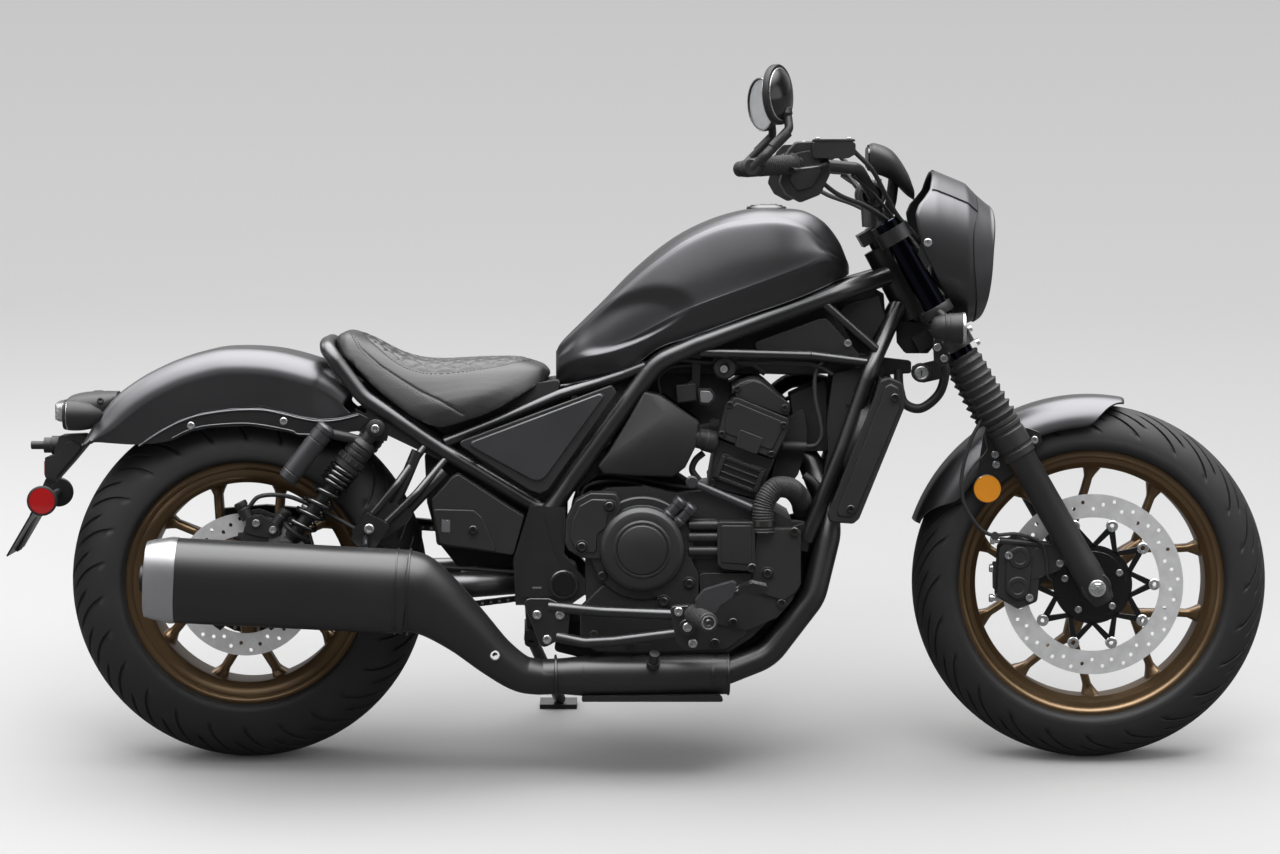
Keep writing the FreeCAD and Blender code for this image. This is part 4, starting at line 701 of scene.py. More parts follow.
def build_tyres():
    """Each tyre: its crown's radius, its outer radius, side wall, grooves, their slant and their reach."""
    sizes = bpy.context.scene.cruiser_sizes
    for end, *rest in (("front", FRONT_AXLE, 0.066, 0.320, FRONT_SIDE, sizes.front_grooves, -1.9, (0.10, 0.80),
                        (0.42, 0.97)),
                       ("rear", REAR_AXLE, 0.092, 0.321, REAR_SIDE, sizes.rear_grooves, -1.3, (0.12, 0.78),
                        (0.45, 0.97))):
        make_piece(end + "_tyre_tread", tyre_shape(*rest), "tyre", end + "_wheel", smooth=50, stands_for=end + "_tyre")


def build_rims():
    """Five forked spokes in each wheel: a stem from the hub, then two arms that part towards the rim."""
    for end, axle, rim, hub, first, stem, arm in (
            ("front", FRONT_AXLE, (0.2400, 0.048, 0.207), (0.030, 0.0595, 0.050), 36,
             ((0.030, 0.118), ([0, 1], [0.020, 0.012]), ([0, 1], [0.036, 0.018])),
             ((0.104, 0.213), ([0, 0.3, 0.8, 1], [0.0105, 0.0072, 0.0075, 0.019]),
              ([0, 0.85, 1], [0.017, 0.013, 0.024]), math.radians(19.2), 0.003)),
            ("rear", REAR_AXLE, (0.2180, 0.068, 0.180), (0.040, 0.0795, 0.058), 54,
             ((0.034, 0.100), ([0, 1], [0.024, 0.015]), ([0, 1], [0.050, 0.030])),
             ((0.086, 0.187), ([0, 0.3, 0.8, 1], [0.012, 0.0085, 0.0085, 0.020]), ([0, 0.85, 1], [0.026, 0.017, 0.030]),
              math.radians(18), 0))):
        shape = Shape().add(rim_shape(axle, *rim)).add(hub_shape(axle, *hub))
        for angle in np.radians(first) + TAU / SPOKES * np.arange(SPOKES):
            shape.add(spoke_bar(axle, angle, *stem))
            for side in (-1, 1):
                shape.add(spoke_bar(axle, angle, *arm[:3], side * arm[3], side * arm[4]))
        make_piece(end + "_wheel_casting", shape, "bronze", end + "_wheel", smooth=35, stands_for=end + "_rim")


def flat_bar(axle, reach, turn, half, taper, low, high):
    """A flat bar between two radii of a wheel, from Y = low to high, its first end wider by the taper."""
    ends = wheel_point(np.zeros(3), np.array(reach), turn, 0)
    beside = np.cross(unit(ends[1] - ends[0]), CROSS) * half
    outline = np.array([ends[0] - beside * taper, ends[0] + beside * taper, ends[1] + beside, ends[1] - beside])
    return plate(outline[:, [0, 2]] + axle[[0, 2]], low, high)


def carrier_shape(axle, y, button_r, ring_r, count, thick):
    """The disc's carrier: from each button two bars run inwards and part to meet the next button's bars."""
    shape = Shape()
    part = TAU / count
    low, high = y - thick / 2, y + thick / 2
    for number in range(count):
        angle = number * part
        for side in (-1, 1):
            turn = angle + side * np.array([0, part / 2])
            shape.add(flat_bar(axle, (button_r, ring_r), turn, 0.0042, 1.4, low, high))
    shape.add(turned([(low, ring_r - 0.013), (high, ring_r - 0.013), (high, ring_r + 0.003), (low, ring_r + 0.003),
                      (low, ring_r - 0.013)], axle, CROSS, 60))
    return shape


def build_discs():
    """The drilled rings, the carriers inside them, and the buttons and bolts that hold both."""
    y = -0.070
    disc = drilled_ring(FRONT_AXLE, 0.1205, 0.1625, y, 0.0045, 50, [0.1530, 0.1445, 0.1360, 0.1485, 0.1400])
    make_piece("front_disc_ring", disc, "disc", "front_wheel", smooth=30, stands_for="front_disc")
    carrier = carrier_shape(FRONT_AXLE, y, 0.107, 0.068, 10, 0.0055)
    carrier.lathe([(-73, 20), (-73, 60), (-60.5, 58), (-60.5, 20), (-73, 20)], FRONT_AXLE * 1000, CROSS, 0, 60)
    make_piece("front_disc_carrier", carrier, "gloss plastic", "front_wheel", bevel=0.6)
    buttons = Shape()
    for number in range(10):
        place = wheel_point(FRONT_AXLE, 0.1105, number * TAU / 10, y - 0.0028)
        buttons.lathe([(6, 4.2), (6, 10.5), (-1, 10.5), (-2.4, 9), (-2.4, 5.2), (-1, 4.2), (6, 4.2)], place * 1000,
                      CROSS, 0, 24)
    for number in range(5):
        place = wheel_point(FRONT_AXLE, 0.052, math.radians(24 + 72 * number), y - 0.003)
        buttons.bolt(place * 1000, -CROSS, 6.2, 6)
    make_piece("front_disc_buttons", buttons, "steel", "front_wheel", smooth=30)
    y = -0.086
    disc = drilled_ring(REAR_AXLE, 0.088, 0.128, y, 0.0050, 40, [0.1185, 0.1100, 0.1015, 0.1140, 0.1055])
    make_piece("rear_disc_ring", disc, "disc", "rear_wheel", smooth=30, stands_for="rear_disc")
    centre = Shape().lathe([(-89.5, 20), (-89.5, 74), (-80.5, 72), (-80.5, 20), (-89.5, 20)], REAR_AXLE * 1000, CROSS,
                           0, 60)
    for number in range(5):
        angle = math.radians(18 + 72 * number)
        centre.add(flat_bar(REAR_AXLE, (0.060, 0.094), angle, 0.012, 1.6, y - 0.003, y + 0.003))
        centre.bolt(wheel_point(REAR_AXLE, 0.064, angle, y - 0.0035) * 1000, -CROSS, 7.5, 7)
    make_piece("rear_disc_carrier", centre, "gloss plastic", "rear_wheel", bevel=0.6)


# Bodywork


TANK = ((556, 40, 738, 733, 716, 680), (566, 72, 755, 748, 720, 680), (600, 105, 789, 780, 732, 686),
        (640, 124, 828, 817, 744, 696), (690, 138, 879, 862, 764, 712), (740, 146, 922, 903, 791, 748),
        (790, 149, 955, 937, 817, 766), (850, 150, 981, 963, 840, 788), (910, 150, 995, 973, 861, 810),
        (960, 149, 995, 974, 879, 827), (1000, 143, 991, 962, 893, 842), (1035, 128, 972, 935, 906, 857),
        (1062, 100, 940, 914, 898, 869), (1076, 70, 911, 900, 889, 874), (1082, 40, 893, 889, 884, 878))


def build_tank():
    """Stations along X (width, top, upper crease, lower crease, bottom) joined by a smooth skin.

    The knee recess is pressed in by 10 mm times a smooth step of 1.5 * (1 - a^2 - b^2), with a along the
    recess and b across it.
    """
    x, w, top, up, low, base = np.array(TANK).T
    middle = up * 0.45 + low * 0.55
    rows = [(0 * w, top), (0.34 * w, top - 0.5), (0.62 * w, top - 4), (0.795 * w, up + 5), (0.845 * w, up - 1),
            (0.885 * w, up - 10), (0.965 * w, middle), (0.995 * w, low + 7), (w, low), (0.985 * w, low - 7),
            (0.90 * w, (low + base) / 2 - 4), (0.83 * w, base + 2), (0.79 * w, base), (0.40 * w, base + 5),
            (0 * w, base + 6)]
    table = np.stack([np.stack([x, -y, z], 1) for y, z in rows], 1) / 1000
    grid = skinned(table, 110, 88)
    run = np.array([math.cos(math.radians(23)), math.sin(math.radians(23))])
    away = grid[..., [0, 2]] - [0.697, 0.782]
    along, over = away @ run / 0.118, away @ [-run[1], run[0]]
    over = over / np.where(over > 0, 0.066, 0.026)
    press = smooth_step((1 - along ** 2 - over ** 2) * 1.5) * smooth_step(-grid[..., 1] / 0.05)
    grid[..., 1] += 0.010 * press
    shape = Shape().add(sheet_of(capped(whole_of(grid)), wrap_columns=True))
    make_piece("tank_shell", shape, "body paint", smooth=60, stands_for="fuel_tank")
    cap = Shape().lathe([(-4, 0), (-4, 36), (2, 36), (4, 34), (4, 30), (6.5, 28), (7.5, 0)], (935, 0, 994.5),
                        (0, 0, 1), 0, 48)
    cap.loft([(925, 0, 1001, 6, 3, 2.5), (955, 0, 1001, 7, 3, 2.5)], 6, 16)
    make_piece("filler_cap", cap, "gloss plastic", smooth=35)


SEAT = ((160, 58, 768, 752), (170, 92, 775, 735), (190, 108, 777, 720), (225, 116, 757, 682), (270, 126, 731, 645),
        (310, 134, 719, 618), (352, 138, 717, 604), (400, 139, 719, 616), (450, 134, 721, 634), (500, 118, 723, 662),
        (530, 96, 718, 680), (543, 70, 709, 688), (548, 40, 701, 693))


def swollen(points, faces, reach, hold):
    """The skin of a form after a short cloth run under pressure, without gravity.

    The form is remeshed at 5 mm and drawn in by 4 mm along its normals; no point moves further than reach
    from there plus those 4 mm. The distances are evened out over their neighbours and multiplied by hold,
    which keeps back what rests on the frame. One subdivision follows.
    """
    scene = bpy.context.scene
    mesh = bpy.data.meshes.new("pad_form")
    mesh.from_pydata(points.tolist(), [], faces)
    form = bpy.data.objects.new("pad_form", mesh)
    scene.collection.objects.link(form)

    def baked():
        return bpy.data.meshes.new_from_object(form.evaluated_get(bpy.context.evaluated_depsgraph_get()))

    def places(data, kind="vertices", field="co"):
        values = np.empty(len(getattr(data, kind)) * 3)
        getattr(data, kind).foreach_get(field, values)
        return values.reshape(-1, 3)

    grain = form.modifiers.new("grain", "REMESH")
    grain.mode = "VOXEL"
    grain.voxel_size = 0.005
    form.data = baked()
    form.modifiers.clear()
    start = places(form.data) - 0.004 * places(form.data, "vertex_normals", "vector")
    form.data.vertices.foreach_set("co", start.ravel())
    form.data.update()
    air = form.modifiers.new("air", "CLOTH")
    air.settings.use_pressure = True
    air.settings.uniform_pressure_force = 4
    air.settings.effector_weights.gravity = 0
    air.settings.quality = 5
    air.point_cache.frame_start, air.point_cache.frame_end = 1, 20
    for step in range(1, 21):
        scene.frame_set(step)
    move = places(baked()) - start
    normals = places(form.data, "vertex_normals", "vector")
    far = np.clip((move * normals).sum(1), 0, reach + 0.004)
    ends = np.empty(len(form.data.edges) * 2, int)
    form.data.edges.foreach_get("vertices", ends)
    one, two = ends.reshape(-1, 2).T
    beside = np.bincount(ends, minlength=len(far))
    for _ in range(30):
        total = np.bincount(one, far[two], len(far)) + np.bincount(two, far[one], len(far))
        far = 0.3 * far + 0.7 * total / beside
    far *= hold(start)
    move = far[:, None] * normals
    form.modifiers.clear()
    scene.frame_set(1)
    form.data.vertices.foreach_set("co", (start + move).ravel())
    form.data.update()
    finer = form.modifiers.new("finer", "SUBSURF")
    finer.levels = finer.render_levels = 1
    fine = baked()
    print("pad swelled by", round(float(far.mean()) * 1000, 1), "mm,", len(fine.polygons), "faces")
    result = places(fine), [list(face.vertices) for face in fine.polygons]
    bpy.data.objects.remove(form)
    return result


SIDE_SEAM = np.array([(170, 796), (187, 780), (210, 744), (245, 714), (281, 691), (316, 670), (352, 654), (392, 632)],
                     float)


def line_distance(points, line):
    """Distance of each point from a broken line in a plane."""
    a, b = line[:-1], line[1:]
    run = b - a
    share = np.clip(((points[:, None] - a) * run).sum(-1) / (run ** 2).sum(-1), 0, 1)
    return np.linalg.norm(points[:, None] - a - share[..., None] * run, axis=-1).min(1)


def insert_edge(x, y):
    """Distance in mm from the edge of the quilted insert, seen from above; negative inside."""
    return ((np.abs(x - 362) / 150) ** 2.6 + (np.abs(y) / 98) ** 2.6) ** (1 / 2.6) * 100 - 100


def build_seat():
    """A swollen pad with a seam along each side and a diamond quilt sewn into the top."""
    sizes = bpy.context.scene.cruiser_sizes
    x, w, top, low = np.array(SEAT).T
    deep = top - low
    rows = [(0 * w, top - 4), (0.30 * w, top - 1), (0.55 * w, top), (0.70 * w, top - 0.06 * deep),
            (0.82 * w, top - 0.20 * deep), (0.92 * w, top - 0.48 * deep), (0.985 * w, top - 0.80 * deep),
            (0.995 * w, low + 4), (0.96 * w, low), (0.5 * w, low + 2), (0 * w, low + 2)]
    table = np.stack([np.stack([x, -y, z], 1) for y, z in rows], 1) / 1000
    points, faces = sheet_of(capped(whole_of(skinned(table, 120, 90))), wrap_columns=True)
    faces = [list(map(int, face)) for face in faces]

    def hold(at):
        """The share of the swelling that stays: least where the pad rests on the frame."""
        return 0.4 + 0.6 * smooth_step((at[:, 2] * 1000 - np.interp(at[:, 0] * 1000, x, low)) / 40)

    points, faces = swollen(points, faces, sizes.seat_swell, hold)
    points = np.array(points)
    px, py, pz = points.T * 1000
    crown = pz > np.interp(px, x, 0.62 * top + 0.38 * low)
    edge = insert_edge(px, py)
    slope, pitch = 1.25, sizes.quilt_pitch * 1000
    across_lines = [np.abs((px + side * slope * py) / pitch % 1 - 0.5) * pitch / math.hypot(1, slope)
                    for side in (-1, 1)]
    channel = np.exp(-(np.minimum(*across_lines) / 2.6) ** 2) * smooth_step(-edge / 6)
    border = np.exp(-(edge / 2.6) ** 2)
    points[:, 2] -= crown * sizes.quilt_depth * (np.maximum(channel, 1.2 * border) - 0.5 * (edge < 0) * (1 - channel))
    flank = np.abs(py) > 50
    groove = np.exp(-(line_distance(np.stack([px, pz], 1), SIDE_SEAM) / 2.4) ** 2) * flank
    points[:, 1] -= np.sign(py) * groove * 0.0018
    shape = Shape().add((points, faces))
    seat = make_piece("seat_pad", shape, "seat", smooth=70, stands_for="seat")
    skin = BVHTree.FromPolygons(points.tolist(), faces)
    thread = Shape()

    def stitch(lines, way, both):
        """Short threads laid on the skin where rays along the way meet it."""
        count = int(np.linalg.norm(np.diff(lines, axis=0), axis=1).sum() / 5)
        at = np.linspace(0, len(lines) - 1, count * 2)
        spots = np.stack([np.interp(at, np.arange(len(lines)), lines[:, k]) for k in range(3)], 1) / 1000
        hits = [skin.ray_cast(tuple(spot - np.array(way)), way)[0] for spot in spots]
        for first, second in zip(hits[::2], hits[1::2]):
            if first and second:
                ends = np.array([first, second]) - np.array(way) * 0.0003
                thread.add(swept(ends, 0.0006, 5), 0, both)

    for line, shift in ((SIDE_SEAM, 4), (SIDE_SEAM, -4)):
        line = line[1:] + [0, shift]
        stitch(np.stack([line[:, 0], -0 * line[:, 0], line[:, 1]], 1), (0, 1, 0), True)
    turn = np.linspace(0, TAU, 90)
    c, s = oval(turn, 2.6)
    stitch(np.stack([362 + 155 * c, 102 * s, 760 + 0 * c], 1), (0, 0, -1), False)
    make_piece("seat_stitches", thread, "thread", smooth=60)


FENDER_TOP = ((-291, 575), (-266, 618), (-232, 659), (-192, 689), (-156, 709), (-120, 725), (-84, 736), (-48, 744),
              (-12, 746), (24, 745), (60, 741), (96, 733), (132, 722), (150, 715), (178, 700), (204, 681))
FENDER_LOW = ((-286, 576), (-262, 579), (-232, 577), (-192, 575), (-160, 579), (-126, 586), (-94, 598), (-58, 608),
              (-20, 612), (13, 612), (48, 608), (84, 600), (118, 600), (150, 604), (180, 608), (208, 616))


def build_rear_fender():
    """Each section runs across the top, round a 46 mm corner and down to the lower edge."""
    top = np.array(FENDER_TOP, float)
    low = np.array(FENDER_LOW, float)
    heading = unit(np.gradient(top, axis=0))
    normal = np.stack([-heading[:, 1], heading[:, 0]], 1)
    room = np.minimum(1, np.linalg.norm(top - low, axis=1) / 50)[:, None]
    half, bend = 106, 46
    corners = [(0.0, 0.0), (30.0, 0.0), (half - bend, 0.0)]
    corners += [(half - bend + bend * math.sin(a), bend * (1 - math.cos(a))) for a in np.radians((22, 45, 67, 84))]
    table = [np.insert(top - normal * drop * room, 1, -y, 1) for y, drop in corners]
    side = top - normal * bend * room
    table += [np.insert(side + (low - side) * share, 1, -half, 1) for share in (0.12, 0.5, 0.93, 1.0)]
    table = np.stack(table, 1) / 1000
    table[:, :, 1] *= np.interp(top[:, 0], [125, 165], [1, 0.94])[:, None]
    half_grid = skinned(table, 90, 60)
    grid = np.concatenate([half_grid[:, ::-1], (half_grid * [1, -1, 1])[:, 1:]], 1)
    make_piece("rear_fender_shell", Shape().add(sheet_of(grid)), "body paint", smooth=60, stands_for="rear_fender",
               wall=4)
    rail = ((-185, 577), (-146, 602), (-111, 620), (-75, 632), (-20, 640), (32, 641), (67, 635), (103, 626), (138, 621),
            (174, 624), (206, 632), (228, 622), (209, 602), (164, 592), (102, 590), (84, 597), (13, 609), (-58, 606),
            (-94, 598), (-126, 583), (-160, 577))
    shape = Shape().slab(rail, -116.5, -106.5, 6, both=True)
    make_piece("fender_rails", shape, "frame black", bevel=2)
    trim = Shape()
    for run, count, shift, radius in ((rail[:11], 60, -4, 2.2), (rail[13:20], 50, 4, 1.8)):
        bead = smooth_line([(x, -117, z) for x, z in run], count) + [0, 0, shift]
        trim.add(swept(bead / 1000, radius / 1000, 8), both=True)
    make_piece("fender_beads", trim, "body paint", smooth=60)
    screws = Shape()
    for x, z in ((-92, 609.5), (73, 617.5)):
        screws.bolt((x, -116, z), -CROSS, 6.8, 4.5, both=True)
    make_piece("fender_screws", screws, "steel", smooth=35)


def build_front_fender():
    """The section turned about the front axle; towards each end the sides rise to a tip."""
    angle = np.radians(np.linspace(160.8, 80.2, 70))
    ends = smooth_step((np.radians(160.8) - angle) / 0.30) * smooth_step((angle - np.radians(80.2)) / 0.26)
    section = smooth_line(np.array([(0, 339, 0), (38, 337.5, 0), (56, 330, 0), (68, 319, 0), (76, 305, 0), (79, 291, 0),
                                    (79, 285, 0)]), 34)[:, :2]
    share = np.linspace(0, 1, 34)[None]
    keep = (0.30 + 0.70 * ends)[:, None]
    y = np.interp(share * keep, share[0], section[:, 0])
    r = np.interp(share * keep, share[0], section[:, 1]) - 1.0
    half = wheel_point(FRONT_AXLE, r / 1000, angle[:, None], -y / 1000)
    grid = np.concatenate([half[:, ::-1], (half * [1, -1, 1])[:, 1:]], 1)
    make_piece("front_fender_shell", Shape().add(sheet_of(grid)), "body paint", STEER, smooth=60, wall=4,
               stands_for="front_fender")


COWL = ((1180, 955, 128, 104, 2.4), (1233, 934, 126, 128, 2.4), (1262, 925, 122, 125, 2.45), (1291, 912, 117, 126, 2.5),
        (1310, 906, 110, 112, 2.5), (1324, 905, 104, 101, 2.5), (1334, 904, 99, 94, 2.5))
COWL_BACK = ((780, 1291), (807, 1273), (825, 1258), (851, 1242), (905, 1209), (940, 1199), (967, 1195), (986, 1201),
             (1000, 1211), (1017, 1222), (1062, 1233))


def build_cowl():
    """Rings that shrink towards the front, each ray starting at the back edge seen from the side.

    The front edge leans forward by 9 mm times the sine of the ray's angle, less 8 mm times its fourth
    power. A second skin, the visor, lies 2.6 mm over the front third and ends in a step.
    """
    table = np.array(COWL, float)
    angle = np.linspace(0, TAU, 144, endpoint=False)[None]
    back_z, back_x = np.array(COWL_BACK, float).T
    c, s = oval(angle, 2.5)
    guess = 925 + 125 * s
    start = np.interp(guess, back_z, back_x)
    front = 1334 + 9 * np.sin(angle) - 8 * np.sin(angle) ** 4

    def skin(low, high, rows, grow):
        x = start + (front - start) * np.linspace(low, high, rows)[:, None] ** 0.85
        middle, wide, tall = (np.interp(x, table[:, 0], table[:, i]) for i in (1, 2, 3))
        return np.stack([x, (wide + grow) * c, middle + (tall + grow) * s], -1)

    edge = skin(1, 1, 1, 0)[0]
    rim = [edge + [at, 0, 0] - (edge - [1334, 0, 905]) * [0, drop, drop] for at,
           drop in ((2, 0.03), (0, 0.08), (-14, 0.11))]
    grid = np.concatenate([skin(0, 1, 40, 0), np.stack(rim)]) / 1000
    make_piece("cowl_shell", Shape().add(sheet_of(grid, wrap_columns=True)), "body paint", STEER, smooth=50,
               stands_for="headlamp_cowl", wall=3)
    band = np.concatenate([skin(0.70, 0.70, 1, 0.2), skin(0.71, 1.0, 16, 2.6),
                           skin(1.0, 1.0, 1, 0.2) + [2.0, 0, 0]]) / 1000
    visor = Shape().add(sheet_of(band, wrap_columns=True))
    top = (angle[0] > math.radians(40)) & (angle[0] < math.radians(140))
    roof = skin(0.02, 0.70, 22, 2.6)[:, top]
    edge_rows = skin(0.02, 0.70, 22, -1.5)[:, top]
    roof = np.concatenate([edge_rows[:, :1], roof, edge_rows[:, -1:]], 1)
    visor.add(sheet_of(np.concatenate([edge_rows[:1][:, [0, *range(edge_rows.shape[1]), -1]], roof]) / 1000))
    make_piece("cowl_visor", visor, "cover grey", STEER, smooth=42)
    brackets = Shape()
    brackets.slab([(1194, 882), (1212, 878), (1232, 922), (1226, 944), (1208, 944), (1196, 900)], -118, -122, 4,
                  both=True)
    make_piece("cowl_brackets", brackets, "frame black", STEER, bevel=1)
    screws = Shape()
    screws.lathe([(-6, 0), (-6, 10), (0, 10), (1.5, 8)], (1217, -125, 935), -CROSS, 1, 28, both=True)
    screws.bolt((1217, -125.2, 935), -CROSS, 7.5, 5, both=True)
    screws.bolt((1252, -74, 1033.5), (0.1, -0.75, 0.65), 4.5, 4, both=True)
    make_piece("cowl_screws", screws, "steel, plastic", STEER, smooth=35)


MUFFLER = ((-110, -222, 344, 60, 74.5, 2.5), (100, -222, 333.5, 60, 74.5, 2.5), (290, -222, 324, 60, 74, 2.4),
           (312, -221, 319, 58, 71, 2.3), (352, -215, 295, 52, 58, 2.2), (400, -201, 254, 44, 46, 2.1),
           (450, -181, 205, 37, 37, 2.0), (495, -163, 172, 33, 33, 2.0), (536, -152, 163, 31.5, 31.5, 2.0))


def build_muffler():
    """A can of oval sections that narrows into its pipe, closed behind by a turned-in cap."""
    table = np.array(MUFFLER, float)
    table[:, :5] /= 1000
    can = lofted(table[:3], 30, 56, None, False)[0].reshape(30, 56, 3)
    tail = lofted(table[2:], 60, 56, None, False)[0].reshape(60, 56, 3)
    shape = Shape().add(sheet_of(np.concatenate([can[:-1], tail]), wrap_columns=True))
    tilt = unit(table[2, :3] - table[0, :3])
    back = table[0, :3] * 1000

    def rings(*rows):
        """A skin through sections of the can, each (distance from its back end, growth) in mm."""
        c, s = oval(np.linspace(0, TAU, 56, endpoint=False), 2.5)
        up = np.cross(tilt, CROSS)
        sections = [back + tilt * step + np.outer((60 + grow) * c, CROSS) + np.outer((74.5 + grow) * s, up)
                    for step, grow in rows]
        return sheet_of(np.stack(sections) / 1000, wrap_columns=True)

    cap = (4, -4), (4, 0.8), (-6, 1.6), (-40, -5), (-50, -8), (-51, -12), (-46, -16), (-30, -20)
    shape.add(rings(*cap), 1).add(rings((-30, -20), (-28, -30), (-28, -59.5)), 2)
    shape.lathe([(30, 24), (-12, 24), (-12, 21), (30, 21), (30, 24)], back - tilt * 30, -tilt, 2, 30)
    for step in (388, 410):
        shape.add(rings((step, -2), (step + 0.6, 1.6), (step + 3, 1.6), (step + 3.6, -2)))
    make_piece("muffler_shell", shape, "muffler black, end cap, plastic", smooth=40, stands_for="muffler")
    bracket = ((223, 459), (265, 436), (251, 413), (240, 398), (206, 400), (194, 412))
    hanger = Shape().slab(bracket, -170, -152)
    hanger.pipe([(222, -161, 405), (222, -185, 398), (222, -200, 392)], 16, 10, sides=12, flat=0.5)
    make_piece("muffler_hanger", hanger, "frame black", bevel=3)
    screws = Shape()
    screws.bolt((228, -170, 430), -CROSS, 9, 7)
    screws.bolt((451, -216.5, 210), (0.2, -1, 0.3), 9, 6)
    make_piece("muffler_screws", screws, "steel", smooth=35)


# Engine


def build_covers():
    """The castings on the engine's right side, from the crankcase face outwards."""
    clutch = Shape()
    ring = [(142, 0), (142, 92.5), (157, 92.5), (160, 89.5), (160, 76.5), (176, 74.5), (183, 68), (184, 65.5),
            (184, 51.5), (187, 49.5), (187, 46), (185.5, 44.5), (190, 43), (190.8, 41), (190.8, 0)]
    clutch.lathe(ring, (711, 0, 394), -CROSS, 0, 96)
    clutch.slab([(688, 340), (742, 303), (756, 288), (797, 288), (812, 304), (812, 350), (786, 402), (720, 400)], -142,
                -163, 8, draft=0.03)
    make_piece("clutch_cover", clutch, "engine cover", bevel=1.5, stands_for="engine_covers")
    gear = Shape()
    gear.slab([(572, 404), (575, 447), (592, 482), (619, 496), (668, 495), (676, 470), (662, 440), (648, 420),
               (640, 372), (601, 376), (578, 390)], -142, -168, 9, draft=0.05)
    gear.slab([(583, 411), (586, 444), (600, 472), (622, 484), (655, 483), (648, 432), (632, 420), (630, 386),
               (606, 388), (590, 398)], -167, -171.5, 6, draft=0.03)
    gear.slab([(600, 226), (600, 290), (640, 330), (700, 320), (742, 300), (760, 282), (900, 282), (900, 240),
               (862, 212), (700, 206), (630, 208)], -142, -153, 8, draft=0.02)
    make_piece("gear_cover", gear, "engine cover", bevel=2)
    front = Shape()
    front.slab([(913, 432), (985, 432), (993, 424), (993, 330), (985, 316), (962, 300), (905, 318), (905, 345)], -142,
               -164, 6, draft=0.03)
    front.slab([(808, 352), (905, 352), (985, 318), (978, 300), (952, 270), (898, 246), (815, 262)], -142, -158, 8,
               draft=0.03)
    front.slab([(843, 444), (912, 444), (912, 358), (906, 353), (852, 358), (843, 366)], -142, -174, 5, draft=0.03)
    front.slab([(850, 437), (905, 437), (905, 366), (850, 370)], -173, -176, 4, draft=0.02)
    for z in (436, 415, 390):
        front.loft([(793, -158, z, 12, 8.5, 2.6), (845, -158, z, 12, 8.5, 2.6)], 4, 20)
    front.slab([(792, 446), (843, 446), (843, 374), (800, 374)], -142, -152, 4)
    make_piece("front_covers", front, "engine black", bevel=1.6)
    caps = Shape()
    for start, end in (((753, -164, 449), (781, -170, 480)), ((771, -164, 438), (799, -170, 469))):
        way = np.subtract(end, start)
        far = np.linalg.norm(way)
        caps.lathe([(-15, 10.5), (4, 10.5), (6, 12.5), (11, 12.5), (13, 10.5), (far - 12, 10.5), (far - 10, 13),
                    (far, 13), (far + 3, 10), (far + 3, 0)], start, way, 0, 24)
    start = (799, -158, 512)
    caps.add(swept(np.linspace(start, (905, -158, 466), 5) / 1000, 0.0072, 14))
    caps.lathe([(-10, 0), (-10, 11), (6, 11), (8, 9), (8, 0)], start, -CROSS, 0, 24)
    make_piece("oil_pipes", caps, "cover grey", smooth=40)
    places = [(653, 470, -171), (604, 398, -171), (794, 332, -163), (749, 300, -163), (933, 350, -164),
              (770, 392, -160), (640, 345, -160), (905, 361, -176), (872, 262, -158), (958, 296, -158),
              (690, 222, -153), (840, 225, -153), (625, 240, -153), (980, 424, -164)]
    make_piece("cover_screws", Shape().screws(places, radius=8.5), "dark steel", smooth=35)
    rings = Shape()
    for x, z, y in places[:5]:
        rings.lathe([(0, 12.5), (3, 12.5), (3.5, 10.5), (1, 10), (0, 10)], (x, y + 1, z), -CROSS, 0, 24)
    make_piece("screw_seats", rings, "engine cover", smooth=35)


def build_left_engine():
    """The generator's round cover and the plates beside it, with screws round its edge."""
    left = Shape()
    left.lathe([(144, 0), (144, 84), (160, 84), (172, 80), (176, 74), (176, 60), (181, 57), (184, 52), (184, 30),
                (181, 28), (181, 0)], (880, 0, 360), (0, 1, 0), 0, 84)
    left.slab([(690, 250), (690, 440), (748, 458), (830, 450), (836, 300), (800, 262)], 144, 162, 10, draft=0.03)
    left.slab([(611, 322), (611, 385), (630, 406), (711.8, 406), (711.8, 292), (645, 290)], 119.2, 139, 10, draft=0.04)
    left.slab([(622, 330), (622, 380), (637, 396), (700, 396), (700, 303), (648, 300)], 138, 141.5, 8, draft=0.03)
    make_piece("left_covers", left, "engine cover", bevel=1.6)
    angle = np.radians(np.arange(20, 380, 45))
    places = [(880 + 72 * math.cos(a), 360 + 72 * math.sin(a), 176) for a in angle]
    places += [(700, 262, 162), (702, 432, 162), (820, 440, 162), (820, 300, 162), (760, 446, 162), (618, 376, 139),
               (640, 398, 139), (704, 300, 139), (650, 297, 139)]
    make_piece("left_screws", Shape().screws(places, 1), "dark steel", smooth=35)


HEAD_TURN = math.radians(-21)


def head_box(shape, x, z, width, height, near, far, bend, draft):
    """A rounded rectangle on each side of the cylinder, turned with the cylinder."""
    c, s = math.cos(HEAD_TURN), math.sin(HEAD_TURN)
    corners = [(x + a * c - b * s, z + a * s + b * c) for a,
               b in ((-width, -height), (-width, height), (width, height), (width, -height))]
    shape.slab(corners, near, far, bend, 0, draft, True)


